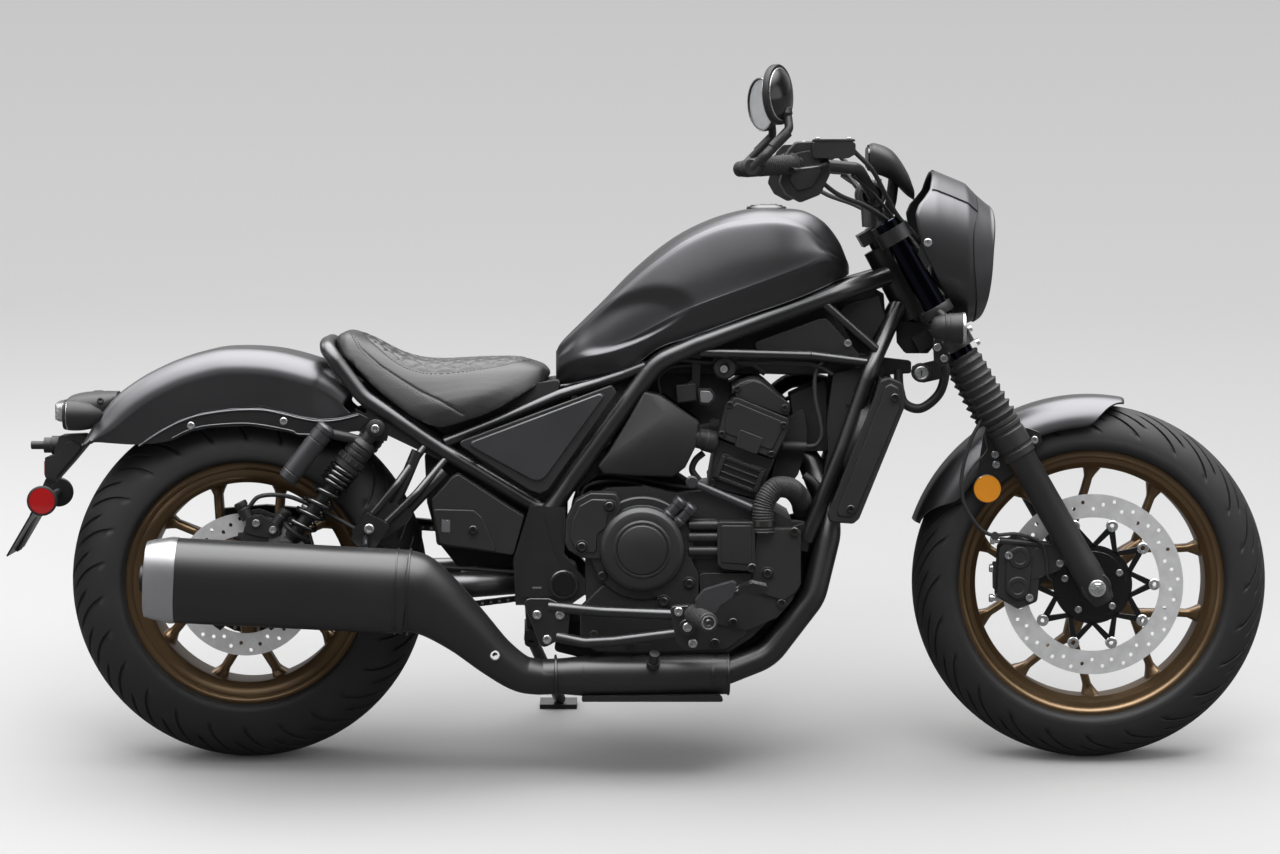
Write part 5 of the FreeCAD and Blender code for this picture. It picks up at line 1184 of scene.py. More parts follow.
def build_cylinder():
    """The cylinder, the head and its cover, with the raised panels on their sides."""
    shape = Shape()
    shape.slab([(829, 500), (844, 588), (948, 548), (917, 478)], -100, -121, 4, draft=0.02, both=True)
    shape.slab([(842, 590), (856, 642), (874, 664), (973, 624), (973, 604), (946, 550)], -100, -141, 7, draft=0.04,
               both=True)
    shape.slab([(870, 662), (888, 686), (908, 691), (926, 685), (975, 648), (974, 624)], -100, -131, 7, draft=0.05,
               both=True)
    shape.slab([(861, 640), (878, 653), (962, 618), (962, 607), (942, 566), (856, 598)], -140, -144, 6, draft=0.04,
               both=True)
    head_box(shape, 884, 524, 44, 25, -119, -127, 5, 0.02)
    head_box(shape, 900, 582, 22, 16, -143, -145.5, 3, 0.03)
    shape.loft([(870, 0, 672, 125, 10, 5), (898, 0, 684, 126, 12, 5), (925, 0, 678, 126, 14, 5),
                (970, 0, 641, 125, 10, 5)], 16, 40)
    make_piece("cylinder_castings", shape, "engine black", bevel=2.2, stands_for="cylinder_head")
    core = Shape()
    core.slab([(829, 500.5), (846, 590), (857, 640), (873, 664), (890, 684), (924, 684), (973, 645), (973, 606),
               (948, 549), (917, 478)], -102, 102, 4)
    make_piece("cylinder_core", core, "engine black", bevel=3)
    window = Shape()
    c, s = math.cos(HEAD_TURN), math.sin(HEAD_TURN)
    for a, b, w, h in ((-37, 0, 4, 21), (37, 0, 4, 21), (0, 19, 34, 3), (0, -19, 34, 3), (0, 6, 34, 1.6),
                       (0, -7, 34, 1.6)):
        head_box(window, 884 + a * c - b * s, 524 + a * s + b * c, w, h, -126, -133, 1.5, 0.04)
    make_piece("cylinder_window", window, "engine cover", bevel=1)
    plug = Shape()
    start = np.array([838, -120, 580])
    way = (752, -152, 606) - start
    far = np.linalg.norm(way)
    plug.lathe([(0, 20), (18, 20), (20, 18), (34, 18), (36, 14.5), (60, 14.5), (63, 10.5), (far - 12, 7.5),
                (far - 11, 7.5)], start, way, 0, 28)
    plug.lathe([(far - 11, 7.8), (far - 4, 6), (far, 3), (far, 0)], start, way, 1, 28)
    make_piece("temperature_sensor", plug, "plastic, steel", smooth=40)
    places = [(866, 648, -141), (962, 612, -141), (852, 596, -141), (940, 560, -141), (880, 676, -131),
              (964, 642, -131), (836, 508, -121), (918, 486, -121)]
    make_piece("cylinder_screws", Shape().screws(places, both=True), "dark steel", smooth=35)


def build_intake():
    """The air box cover: facets that meet in a raised ridge."""
    shape = Shape()
    rim_line = np.array([(714, 672), (742, 666), (813, 616), (809, 578), (788, 536), (766, 519), (700, 521), (640, 525),
                         (631, 538), (652, 566), (680, 612)], float)
    ridge = [(760, -166, 575), (690, -160, 560), (752, -158, 632)]
    points = [(x, -118, z) for x, z in rim_line] + [(x, -146, z) for x, z in rim_line * 0.985 + [10.9, 8.8]] + ridge
    count = len(rim_line)
    faces = [(i, (i + 1) % count, (i + 1) % count + count, i + count) for i in range(count)]
    a, b, c = 2 * count, 2 * count + 1, 2 * count + 2
    up = count
    faces += [(up + 0, up + 1, c), (up + 1, up + 2, c), (up + 2, up + 3, a, c), (up + 3, up + 4, a),
              (up + 4, up + 5, a), (up + 5, up + 6, b, a), (up + 6, up + 7, b), (up + 7, up + 8, b),
              (up + 8, up + 9, b), (up + 9, up + 10, c, b), (up + 10, up + 0, c), (a, b, c)]
    shape.add((np.array(points) / 1000, faces))
    shape.slab(rim_line[::-1], -117, 96, 8)
    make_piece("air_box", shape, "plastic", bevel=4, stands_for="intake_cover")
    throat = Shape()
    for y in (-45, 45):
        throat.loft([(790, y, 590, 30, 28, 2), (825, y, 604, 26, 24, 2), (850, y, 608, 28, 26, 2)], 12, 30, 0, None)
        for x, z in ((800, 594), (840, 606)):
            throat.lathe([(-5, 29), (5, 29), (5, 25), (-5, 25), (-5, 29)], (x, y, z), (1, 0, 0.35), 0, 30)
    make_piece("intake_throats", throat, "rubber", smooth=40)
    bits = Shape().slab([(771, 681), (806, 684), (808, 655), (774, 650)], -112, -74, 3)
    bits.lathe([(-50, 21), (0, 21), (4, 18), (4, 9), (0, 7), (0, 0)], (858, -106, 712), -CROSS, 0, 30)
    for path in ([(858, -96, 700), (878, -90, 712), (905, -85, 716), (930, -80, 700)],
                 [(960, 90, 640), (1000, 95, 660), (1020, 90, 715)]):
        bits.add(swept(smooth_line(path, 24) / 1000, 0.0045, 10))
    make_piece("coils_and_cables", bits, "plastic", bevel=1)
    badge = Shape()
    badge.slab([(810, 672), (812, 676), (833, 675), (841, 664), (840, 655), (831, 646), (813, 647)], -100, -114, 3, 1)
    badge.slab([(814, 669), (815, 672), (831, 671), (837, 663), (836, 657), (829, 650), (815, 651)], -113, -117, 3)
    make_piece("relay_cover", badge, "end cap, plastic", bevel=1)


def build_hoses():
    """Coolant hoses: ribs run round them, radius = r + 0.9 mm * cos(ribs * turn)."""
    for name, path, radius, ribs in (
            ("coolant_hose", [(926, -166, 424), (926, -166, 470), (944, -160, 500), (972, -140, 500), (992, -110, 480),
                              (1000, -80, 455)], 18.5, 46),
            ("upper_hose", [(945, 70, 655), (985, 85, 680), (1040, 90, 676), (1092, 95, 650)], 14, 0),
            ("lower_hose", [(985, 80, 330), (1020, 85, 380), (1050, 80, 440), (1075, 80, 480)], 14, 0)):
        path = smooth_line(path, 180 if ribs else 40)
        wave = radius + 0.9 * np.cos(np.linspace(0, TAU * ribs, len(path))) * (ribs > 0)
        make_piece(name, Shape().add(swept(path / 1000, wave / 1000, 22)), "rubber", smooth=60)
    clips = Shape()
    clips.lathe([(-5, 20.5), (5, 20.5), (5, 18), (-5, 18), (-5, 20.5)], (926, -166, 440), (0, 0, 1), 0, 32)
    make_piece("hose_clips", clips, "dark steel", smooth=35)


def build_radiator():
    """Side tanks, a grid of thin fins and tubes between them, and the fan's shroud behind."""
    run = unit([64, 0, 195])
    low, high = np.array([1.084, 0, 0.462]), np.array([1.148, 0, 0.690])
    face = unit(np.cross(run, -CROSS))
    fins = Shape()
    count = 110
    at = np.linspace(0, 1, count)[:, None]
    middle = low + (high - low) * at + face * 0.010
    for y in (-0.162, 0.0):
        quad = np.stack([middle + [0, y, 0], middle + [0, y + 0.162, 0], middle + [0, y + 0.162, 0] - face * 0.012,
                         middle + [0, y, 0] - face * 0.012], 1)
        faces = np.arange(count * 4).reshape(count, 4)
        fins.add((quad.reshape(-1, 3), faces))
    make_piece("radiator_fins", fins, "dark steel", smooth=10)
    core = Shape()
    for y in np.linspace(-0.156, 0.156, 25):
        a, b = low + face * 0.006 + [0, y, 0], high + face * 0.006 + [0, y, 0]
        core.add(swept(np.array([a, b]), 0.0022, 6, reference=(0, 1, 0)))
    back = np.stack([low - [0, 0.163, 0], high - [0, 0.163, 0], high + [0, 0.163, 0],
                     low + [0, 0.163, 0]]) - face * 0.006
    core.add((np.concatenate([back, back - face * 0.010]),
              [(0, 1, 2, 3), (7, 6, 5, 4), (0, 4, 5, 1), (1, 5, 6, 2), (2, 6, 7, 3), (3, 7, 4, 0)]))
    make_piece("radiator_tubes", core, "plastic", smooth=30)
    tanks = Shape()
    outline = [(1131, 694), (1147, 699), (1169, 690), (1176, 671), (1174, 645), (1094, 446), (1084, 438), (1042, 441),
               (1038, 455), (1120, 662)]
    inner = [(1140, 684), (1149, 689), (1163, 682), (1168, 668), (1165, 642), (1086, 455), (1078, 449), (1056, 451),
             (1054, 460), (1131, 656)]
    tanks.slab(outline, -163, -177, 7, draft=0.02, both=True)
    tanks.slab(inner, -176, -181, 5, draft=0.03, both=True)
    for middle in (high - run * 0.008, low - run * 0.004):
        tanks.add(swept(np.array([middle - [0, 0.165, 0], middle + [0, 0.165, 0]]), 0.013, 20, 0.8, reference=face))
    fan = [(-0.006, 0.075), (-0.034, 0.070), (-0.036, 0.066), (-0.036, 0.030), (-0.030, 0.026), (-0.030, 0.0)]
    for y in (-0.080, 0.080):
        tanks.add(turned(fan, (low + high) / 2 + [0, y, 0], face, 48))
    make_piece("radiator_tanks", tanks, "plastic", bevel=1.5, stands_for="radiator")
    heads = Shape().screws([(1156, 663, -181), (1079, 466, -181)], radius=7.5, both=True)
    make_piece("radiator_screws", heads, "dark steel", smooth=35)


def build_side_covers():
    """The side panels in their black frames, and the covers below them."""
    border = [(380, 581), (657, 684), (667, 671), (545, 498), (530, 490), (511, 496)]
    panel = [(396, 580), (638, 671), (646, 665), (539, 519), (530, 513), (515, 514)]
    black, grey = Shape(), Shape()
    black.slab(border, -140, -151, 6, draft=0.01, both=True)
    grey.slab(panel, -150, -156, 6, draft=0.03, both=True)
    black.slab([(335, 480), (372, 521), (384, 527), (477, 466), (504, 450), (484, 378), (459, 382), (344, 397)], -112,
               -143, 6, draft=0.03, both=True)
    black.slab([(338, 464), (412, 462), (428, 448), (452, 392), (450, 386), (350, 400)], -142, -147, 5, draft=0.03,
               both=True)
    make_piece("side_cover_frames", black, "plastic", bevel=1.8, stands_for="side_panels")
    make_piece("side_cover_panels", grey, "cover grey", bevel=2.5)
    label = Shape()
    label.slab([(355, 444), (370, 444), (370, 422), (355, 422)], -146.5, -148, 1.5)
    make_piece("level_window", label, "clear", bevel=0.4)
    heads = Shape().screws([(411, 426, -147)], radius=8, both=True)
    make_piece("side_cover_screws", heads, "dark steel", smooth=35)


# Front end


LEG = np.array([-math.sin(RAKE), 0, math.cos(RAKE)])


def leg_at(z, y=112):
    """The place in mm on the right fork leg's line at a height, y from the middle."""
    return np.array([WHEELBASE * 1000 - (z - FRONT_Z) * math.tan(RAKE), -y, z])


def build_fork():
    """Sliders, boots and tubes turned about the legs' lines; a boot has a fold every 15.6 mm."""
    foot = (1520, -112, FRONT_Z)
    slider = Shape()
    profile = [(-33, 0), (-33, 15), (-30, 20), (-8, 25), (34, 27), (52, 26), (62, 25.4), (268, 25.8), (270, 27),
               (271, 29.6), (283, 30), (284, 28.6), (289, 28.6), (290, 31), (318, 31.4), (320, 30), (324, 30),
               (326, 32), (333, 32), (334, 30), (334, 22)]
    slider.lathe(profile, foot, LEG, 0, 48, True)
    slider.lathe([(-18, 11), (-18, 25), (-16, 27), (16, 27), (18, 25), (18, 11)], (1520, -110, FRONT_Z), -CROSS, 0, 40,
                 True)
    slider.slab([(1432, 470), (1456, 476), (1484, 430), (1496, 372), (1474, 352), (1452, 372), (1436, 420)], -92, -102,
                8)
    make_piece("fork_slider_castings", slider, "plastic", STEER, bevel=0.8,
               stands_for="fork_sliders")
    boot = [(0, 22), (0, 30), (3, 31), (7, 31), (8, 28)]
    for fold in range(8):
        at, r = 9 + fold * 15.6, 33.8 - fold * 0.45
        boot += [(at, 27), (at + 7.5, r - 1.2), (at + 9.2, r), (at + 10.6, r - 0.6), (at + 12.8, 27.5)]
    boot += [(134.5, 26), (137, 26.5), (139, 28.5), (142.5, 28.5), (143.5, 27), (143.5, 22)]
    folds = Shape().lathe(boot, leg_at(611.4), LEG, 0, 56, True)
    make_piece("fork_boot_folds", folds, "rubber", STEER, smooth=45, stands_for="fork_boots")
    tube = [(-2, 21.5), (262, 21.5), (262.5, 20.5), (264, 20.5), (264.5, 21.5), (272, 21.5), (273.5, 19.5), (273.5, 12),
            (271, 11.5), (271, 7), (273, 6.5), (273, 0)]
    uppers = Shape().lathe(tube, leg_at(736), LEG, 0, 48, True)
    make_piece("fork_upper_tubes", uppers, "fork dark", STEER, smooth=30, stands_for="fork_tubes")
    bits = Shape()
    bits.slab([(1226, 766), (1262, 762), (1256, 722), (1240, 714), (1228, 726)], -130, -134, 4)
    bits.slab([(1322, 598), (1356, 606), (1400, 604), (1422, 596), (1426, 578), (1410, 566), (1384, 556), (1392, 536),
               (1356, 508), (1322, 478), (1306, 486), (1312, 530)], -80, -85, 8)
    bits.slab([(1346, 604), (1400, 604), (1422, 596), (1426, 578), (1408, 566), (1352, 564)], 80, 85, 8)
    bits.lathe([(0, 0), (0, 26), (6, 26), (8, 25), (8, 24)], (1328, -85, 495), -CROSS, 0, 48)
    make_piece("fender_brackets", bits, "frame black", STEER, bevel=1)
    glow = Shape().lathe([(8, 24.4), (9.5, 23), (10, 0)], (1328, -85, 495), -CROSS, 0, 48)
    make_piece("front_reflector", glow, "amber", STEER, smooth=40)
    heads = Shape().screws([(1342, 556, -85), (1344, 538, -85), (1412, 582, -85), (1234, 750, -134), (1246, 730, -134)],
                           radius=7)
    heads.screws([(1412, 582, 85), (1362, 584, 85)], 1, 7)
    for z in (748, 772):
        heads.bolt(leg_at(z, 128) + [30, 0, 10], (0.87, 0, 0.5), 6, 6, both=True)
    heads.lathe([(-2, 0), (-2, 15), (1.5, 15), (2.5, 13), (2.5, 0)], (1520, -141, FRONT_Z), -CROSS, 0, 36,
                both=True)
    heads.nut((1520, -143, FRONT_Z), -CROSS, 10.5, 7, both=True)
    make_piece("fork_screws", heads, "steel", STEER, smooth=35)


def build_front_brake():
    """The caliper on both faces of the disc, its pins, and the hoses down the fork leg."""
    body = Shape()
    outline = [(1348, 393), (1382, 413), (1428, 383), (1420, 291), (1385, 277), (1344, 301)]
    body.slab(outline, -80, -95, 9, draft=0.06)
    body.slab([(1362, 384), (1384, 396), (1410, 376), (1404, 300), (1384, 292), (1360, 308)], -94, -99, 8, draft=0.05)
    body.slab(outline, -62, -47, 9, draft=0.05)
    body.slab([(1341, 312), (1340, 362), (1349, 362), (1351, 314)], -81, -61, 3)
    body.slab([(1350, 393), (1377, 410), (1367, 399), (1351, 381)], -81, -61, 2)
    body.slab([(1404, 384), (1474, 404), (1480, 380), (1456, 348), (1404, 330)], -97, -86, 6)
    body.pipe([(1350, -91, 402), (1440, -92, 394)], 6.5)
    for x, z in ((1386, 372), (1383, 318)):
        body.lathe([(0, 20), (3, 20), (4.5, 18), (4.5, 12), (3, 10.5), (3, 0)], (x, -97.5, z), -CROSS)
    make_piece("front_brake_caliper", body, "plastic", STEER, bevel=1.5,
               stands_for="front_caliper")
    pins = Shape()
    for z, y in ((402, -91), (350, -70), (296, -70)):
        pins.lathe([(-6, 5), (6, 5), (7, 7.5), (13, 7.5), (14, 6), (14, 0)], (1348, y, z), (-1, 0, 0.05), 0, 18)
    pins.screws([(1466, 388, -97), (1458, 362, -97), (1404, 300, -99), (1366, 376, -99)], radius=7)
    make_piece("front_brake_pins", pins, "steel", STEER, smooth=35)
    lines = Shape()
    lines.hose([(1328, -112, 640), (1316, -120, 622), (1298, -122, 590), (1286, -120, 553), (1280, -118, 520),
                (1280, -116, 496), (1286, -112, 467), (1302, -106, 440), (1319, -100, 421), (1340, -96, 412),
                (1380, -96, 414), (1420, -96, 402)], 3.4, count=70)
    lines.hose([(1332, -106, 628), (1322, -110, 590), (1326, -108, 566), (1306, -108, 542), (1290, -110, 522)], 2.2)
    lines.hose([(1398, -100, 412), (1424, -104, 398), (1434, -102, 370), (1436, -98, 340), (1444, -94, 330)], 2.2)
    lines.lathe([(-5, 0), (-5, 7), (5, 7), (5, 0)], (1342, -96, 411), CROSS, 0, 18)
    make_piece("front_brake_hoses", lines, "rubber", STEER, smooth=50)


def build_headlamp():
    """The lamp's bowl and glass, the instrument above it and the signals beside the fork."""
    lamp = Shape()
    base, way = (1230, 0, 902), (1, 0, -0.03)
    lamp.lathe([(0, 0), (0, 38), (6, 46), (30, 68), (60, 77), (94, 80.5), (100, 80.5), (104, 77), (104, 73)], base, way,
               0, 72)
    lamp.lathe([(104, 73), (106, 71), (102, 67), (98, 66)], base, way, 1, 72)
    lamp.lathe([(98, 66), (60, 54), (46, 30), (42, 0)], base, way, 2, 72)
    lamp.lathe([(99, 66), (103, 58), (106.5, 38), (108, 0)], base, way, 3, 72)
    for z in (-24, 24):
        lamp.lathe([(48, 22), (84, 21), (86, 18), (80, 17)], (1230, 0, 902 + z), way, 0, 40)
        lamp.lathe([(80, 17), (88, 12), (91, 0)], (1230, 0, 902 + z), way, 3, 40)
    lamp.loft([(1288, 0, 900, 58, 4.5, 4), (1322, 0, 899, 60, 3.5, 4)], 4, 24)
    lamp.pipe([(1262, 0, 845), (1251, 0, 779)], 9)
    make_piece("headlamp_unit", lamp, "gloss plastic, steel, mirror glass, clear", STEER,
               smooth=40, stands_for="headlamp")
    dial = Shape()
    dial.loft([(1118, 0, 1086, 57, 23, 3.4), (1130, 0, 1085, 61, 27, 3), (1160, 0, 1072, 61, 27, 2.6),
               (1186, 0, 1042, 48, 22, 2.4), (1200, 0, 1020, 30, 10, 2.2)], 40, 48)
    dial.loft([(1115.5, 0, 1086, 52, 18.5, 4), (1119, 0, 1086, 53, 19, 4)], 4, 40, 1)
    dial.pipe([(1165, 0, 1052), (1160, 0, 1010), (1150, 0, 966)], 10, 15)
    make_piece("instrument_housing", dial, "plastic, gloss plastic", STEER, smooth=40, stands_for="instrument")
    signal, glass = Shape(), ((1217, -192, 786), (1, 0, 0))
    signal.lathe([(0, 0), (3, 13), (9, 20), (26, 25.2), (50, 26.7), (56, 27)], *glass, 0, 40, True)
    signal.lathe([(55.5, 26), (57, 27.4), (61, 27.4), (62, 26.5), (61, 24.5)], *glass, 3, 40, True)
    signal.lathe([(61, 24.5), (62, 20), (62.5, 0)], *glass, 2, 40, True)
    for reach in (25, 33):
        signal.lathe([(reach, 25), (reach + 1, 26.6), (reach + 3, 26.6), (reach + 4, 25)], *glass, 0, 40, True)
    signal.pipe([leg_at(814) - [0, 22, 0], (1250, -148, 800), (1246, -172, 789)], 7, 8, both=True)
    signal.lathe([(-9, 21.8), (-9, 28), (-7, 29), (7, 29), (9, 28), (9, 21.8)], leg_at(814), LEG, 0, 36, True)
    make_piece("front_signal_lamps", signal, "plastic, clear, amber, steel", STEER, smooth=35,
               stands_for="front_signals")


BAR = np.array([(985, -272, 1074), (908, -398, 1068)], float)


def build_bar():
    """Grips with a rib every 6.5 mm, switch housings, levers, hoses and their screws."""
    start, end = BAR
    run = unit(end - start)
    grips = Shape()
    rubber = [(35, 12), (35, 20.5), (38, 20.5), (39.5, 17)]
    for rib in range(16):
        at = 41 + rib * 6.5
        rubber += [(at, 17), (at + 4, 17), (at + 4.6, 15.9), (at + 6, 15.9)]
    grips.lathe(rubber + [(146, 16.6), (148.5, 15), (148.5, 12)], start, run, 0, 40, True)
    make_piece("handlebar_grips", grips, "rubber", STEER, smooth=35, stands_for="hand_controls")
    pods = Shape()
    pods.lathe([(3, 12), (3, 21), (5, 23), (17, 24), (18, 23), (19, 24), (31, 23.5), (34, 21), (34, 12)], start, run, 0,
               36, True)
    pods.lathe([(149.3, 0), (149.3, 14), (151, 16), (155.5, 16), (156, 15), (156, 0)], start, run, 0, 36, True)
    box = Shape()
    box.slab([(1004, 1083), (1004, 1108), (1010, 1112), (1072, 1112), (1078, 1108), (1078, 1090), (1066, 1083)], -266,
             -318, 5)
    box.slab([(1005, 1111.5), (1077, 1111.5), (1077, 1116), (1005, 1116)], -265, -319, 2)
    box.slab([(980, 1084), (1000, 1096), (1010, 1096), (1012, 1060), (990, 1052), (978, 1062)], -262, -296, 6)
    box.slab([(962, 1098), (975, 1112), (1005, 1113), (1024, 1098), (1034, 1081), (1036, 1055), (1019, 1020),
              (984, 1006), (958, 1020), (946, 1041)], -276, -306, 9, draft=0.05)
    box.slab([(972, 1092), (1000, 1098), (1018, 1080), (1020, 1058), (1004, 1032), (978, 1026), (964, 1044)], -305,
             -310, 5, draft=0.05)
    pods.add(box.whole(), 0, True)
    pods.pipe([start + run * 20, (1020, -292, 1088)], 9, both=True)
    pods.lathe([(0, 8), (3, 8), (4.5, 6), (4.5, 0)], (994, -296, 1074), -CROSS, 1, 20)
    pods.lathe([(-20, 17.5), (-20, 23), (-18, 25), (18, 25), (20, 23), (20, 17.5)], (1122, -45, 1019), CROSS, 0, 32,
               True)
    make_piece("switch_pods", pods, "plastic, red", STEER, bevel=1.2)
    path = np.array([start + run * at + shift for at,
                     shift in ((16, [34, 0, 8]), (36, [62, -8, 3]), (70, [66, -4, -2]), (110, [58, 0, -5]),
                               (138, [52, 0, -6]))])
    thick = np.interp(np.arange(30), [0, 6, 24, 29], [0.0085, 0.0065, 0.0055, 0.0075])
    levers = Shape().add(swept(smooth_line(path / 1000, 30), thick, 14, 0.62), both=True)
    make_piece("hand_levers", levers, "gloss plastic", STEER, smooth=50)
    lines = Shape()
    lines.hose([(1002, -270, 1060), (1050, -236, 1022), (1104, -160, 1000), (1150, -96, 972), (1180, -84, 944),
                (1208, -74, 914)], 4.2, 0, True, 50)
    lines.hose([(1076, -292, 1096), (1110, -268, 1062), (1140, -190, 1016), (1164, -124, 982), (1200, -104, 942),
                (1226, -86, 908)], 4.2, 0, True, 50)
    lines.hose([(1080, -180, 1054), (1116, -120, 1026), (1150, -70, 990), (1180, -56, 950), (1204, -44, 915)], 3.2, 0,
               True, 40)
    make_piece("bar_hoses", lines, "rubber", STEER, smooth=50)
    heads = Shape()
    for x, y, z, radius in ((1110, -45, 1042, 6), (1134, -45, 1042, 6), (1014, -292, 1116, 4.5),
                            (1068, -292, 1116, 4.5)):
        heads.bolt((x, y, z), (0, 0, 1), radius, 6 if radius > 5 else 3, both=True)
    make_piece("bar_screws", heads, "steel", STEER, smooth=35)


def build_mirrors():
    """Round mirrors on bent stems, and the ignition lock with its cable."""
    shape = Shape()
    way = (math.cos(0.48), -math.sin(0.48), 0.05)
    base = (936, -398, 1190)
    shape.lathe([(3, 47), (0.5, 48), (0, 50.5), (2, 51.5), (9, 51.5), (11, 50), (11.5, 45)], base, way, 0, 72, True)
    shape.lathe([(11.4, 45.4), (12.2, 44.6), (12.2, 43.2), (11.5, 42.5)], base, way, 2, 72, True)
    shape.lathe([(11.4, 43), (14, 40), (20, 30), (25, 14), (26, 0)], base, way, 3, 72, True)
    shape.lathe([(3, 47.2), (3, 0)], base, way, 1, 72, True)
    shape.lathe([(-0.2, 48.5), (-0.6, 50.2), (0.8, 51.2)], base, way, 2, 72, True)
    start, end = BAR
    run = unit(end - start)
    middle = end + run * 15.65
    shape.pipe([middle, middle + [19, -12.5, 19], (958, -411, 1126)], 10.5, 12, 0, 22, True, 0.8)
    shape.pipe([middle + [30, -13, 34], (960, -412, 1132), (958, -402, 1152), (953, -398, 1170)], 7.6, 12, 0, 18, True)
    shape.lathe([(-7.3, 0), (-7.3, 13), (-5, 15), (5, 15), (7.3, 13), (7.3, 0)], middle, run, 0, 36, True)
    shape.lathe([(-12, 0), (-9, 8), (0, 11.5), (9, 8), (12, 0)], (955, -401, 1160), (0.2, 0, 1), 0, 24, True)
    make_piece("mirror_pair", shape, "plastic, mirror glass, steel, gloss plastic", STEER, smooth=35,
               stands_for="mirrors")
    lock = Shape()
    lock.slab([(1196, 712), (1246, 724), (1252, 690), (1216, 682), (1198, 690)], -26, -42, 6)
    lock.lathe([(-26, 0), (-26, 15), (-22, 17), (0, 17), (2, 15.5), (2, 12)], (1211, -66, 701), -CROSS, 0)
    lock.lathe([(2, 12.5), (3, 12), (3.5, 10.5), (2, 9.5), (2, 0)], (1211, -66, 701), -CROSS, 1)
    lock.slab([(1210, 706), (1212.4, 706), (1212.4, 696), (1210, 696)], -67.8, -68.6, 0.5)
    lock.hose([(1250, -32, 722), (1256, -34, 700), (1245, -36, 662), (1213, -36, 636), (1184, -34, 644),
               (1174, -30, 672), (1172, -26, 705)], 8.5, 0, False, 50)
    make_piece("ignition_lock", lock, "plastic, steel", smooth=35)


# Rear end


def build_shocks():
    """Dampers with reservoirs; each coil is a helix, its turns wide below and close above."""
    body, coils = Shape(), Shape()
    for side, y in ((-1, 130), (1, 148)):
        low, top = np.array([77, side * y, 396.0]), np.array([238, side * y, 606.0])
        way = unit(top - low)
        damper = [(16, 0), (16, 14), (26, 18), (26, 25), (30, 28), (34, 28), (34, 12), (174, 12), (174, 24), (176, 27),
                  (183, 27), (184, 23.5), (187, 23.5), (188, 25.5), (198, 25.5), (199, 21.5), (202, 21.5), (203, 23.5),
                  (209, 23.5), (210, 22.5), (213, 22.5), (214, 23.5), (220, 23.5), (221, 22.5), (224, 22.5),
                  (226, 23.5), (232, 21), (236, 17), (236, 0)]
        body.lathe(damper, low, way, 0, 44)
        for number in range(12):
            angle = number * TAU / 12
            a, b = across(way)
            place = low + way * 193 + (math.cos(angle) * a + math.sin(angle) * b) * 24.5
            body.lathe([(-4, 0), (-4, 2.6), (4, 2.6), (4, 0)], place, way, 0, 6)
        for place, reach in ((low, 26), (top, -36)):
            body.lathe([(-14, 7.4), (-14, 15), (-13, 16), (13, 16), (14, 15), (14, 7.4), (-14, 7.4)], place, CROSS, 0,
                       32)
            body.pipe([place + way * 6 * np.sign(reach), place + way * reach], 13, 5, 0, 16, flat=0.9)
        can_low, can_top = np.array([80, side * (y + 18), 515.0]), np.array([155, side * (y + 18), 611.0])
        can = [(0, 0), (0, 14), (3, 17.5), (16, 18.2), (17, 17.3), (18.5, 17.3), (19.5, 18.4), (87, 18.4), (88, 17.3),
               (90, 17.3), (91, 18.6), (104, 18.6), (105, 16.5), (108, 16.5), (109, 18), (117, 18), (121, 14),
               (121.8, 0)]
        body.lathe(can, can_low, can_top - can_low, 1, 44)
        body.pipe([can_top + (can_low - can_top) * 0.12, (190, side * (y + 10), 590), top - way * 32], 9, 15)
        turns = np.linspace(0, 8.2, 300)
        along = np.where(turns < 4.2, 36 + turns * 24.5, 139 + (turns - 4.2) * 9.4)
        a, b = across(way)
        ring = np.cos(turns * TAU)[:, None] * a + np.sin(turns * TAU)[:, None] * b
        coils.add(swept((low + along[:, None] * way + 23.4 * ring) / 1000, bpy.context.scene.cruiser_sizes.spring_wire,
                        10))
    make_piece("shock_dampers", body, "plastic, cover grey", smooth=35, stands_for="rear_shocks")
    make_piece("shock_coils", coils, "gloss plastic", smooth=60, stands_for="shock_springs")
    heads = Shape()
    for x, z, y in ((238, 606, 146), (77, 396, 151), (238, 606, 164), (77, 396, 169)):
        side = -1 if y in (146, 151) else 1
        heads.lathe([(-3, 0), (-3, 14), (0, 14), (1, 12), (1, 0)], (x, side * y, z), (0, side, 0), 1, 28)
        heads.bolt((x, side * (y + 1), z), (0, side, 0), 7.5, 7)
    make_piece("shock_bolts", heads, "steel, plastic", smooth=35)


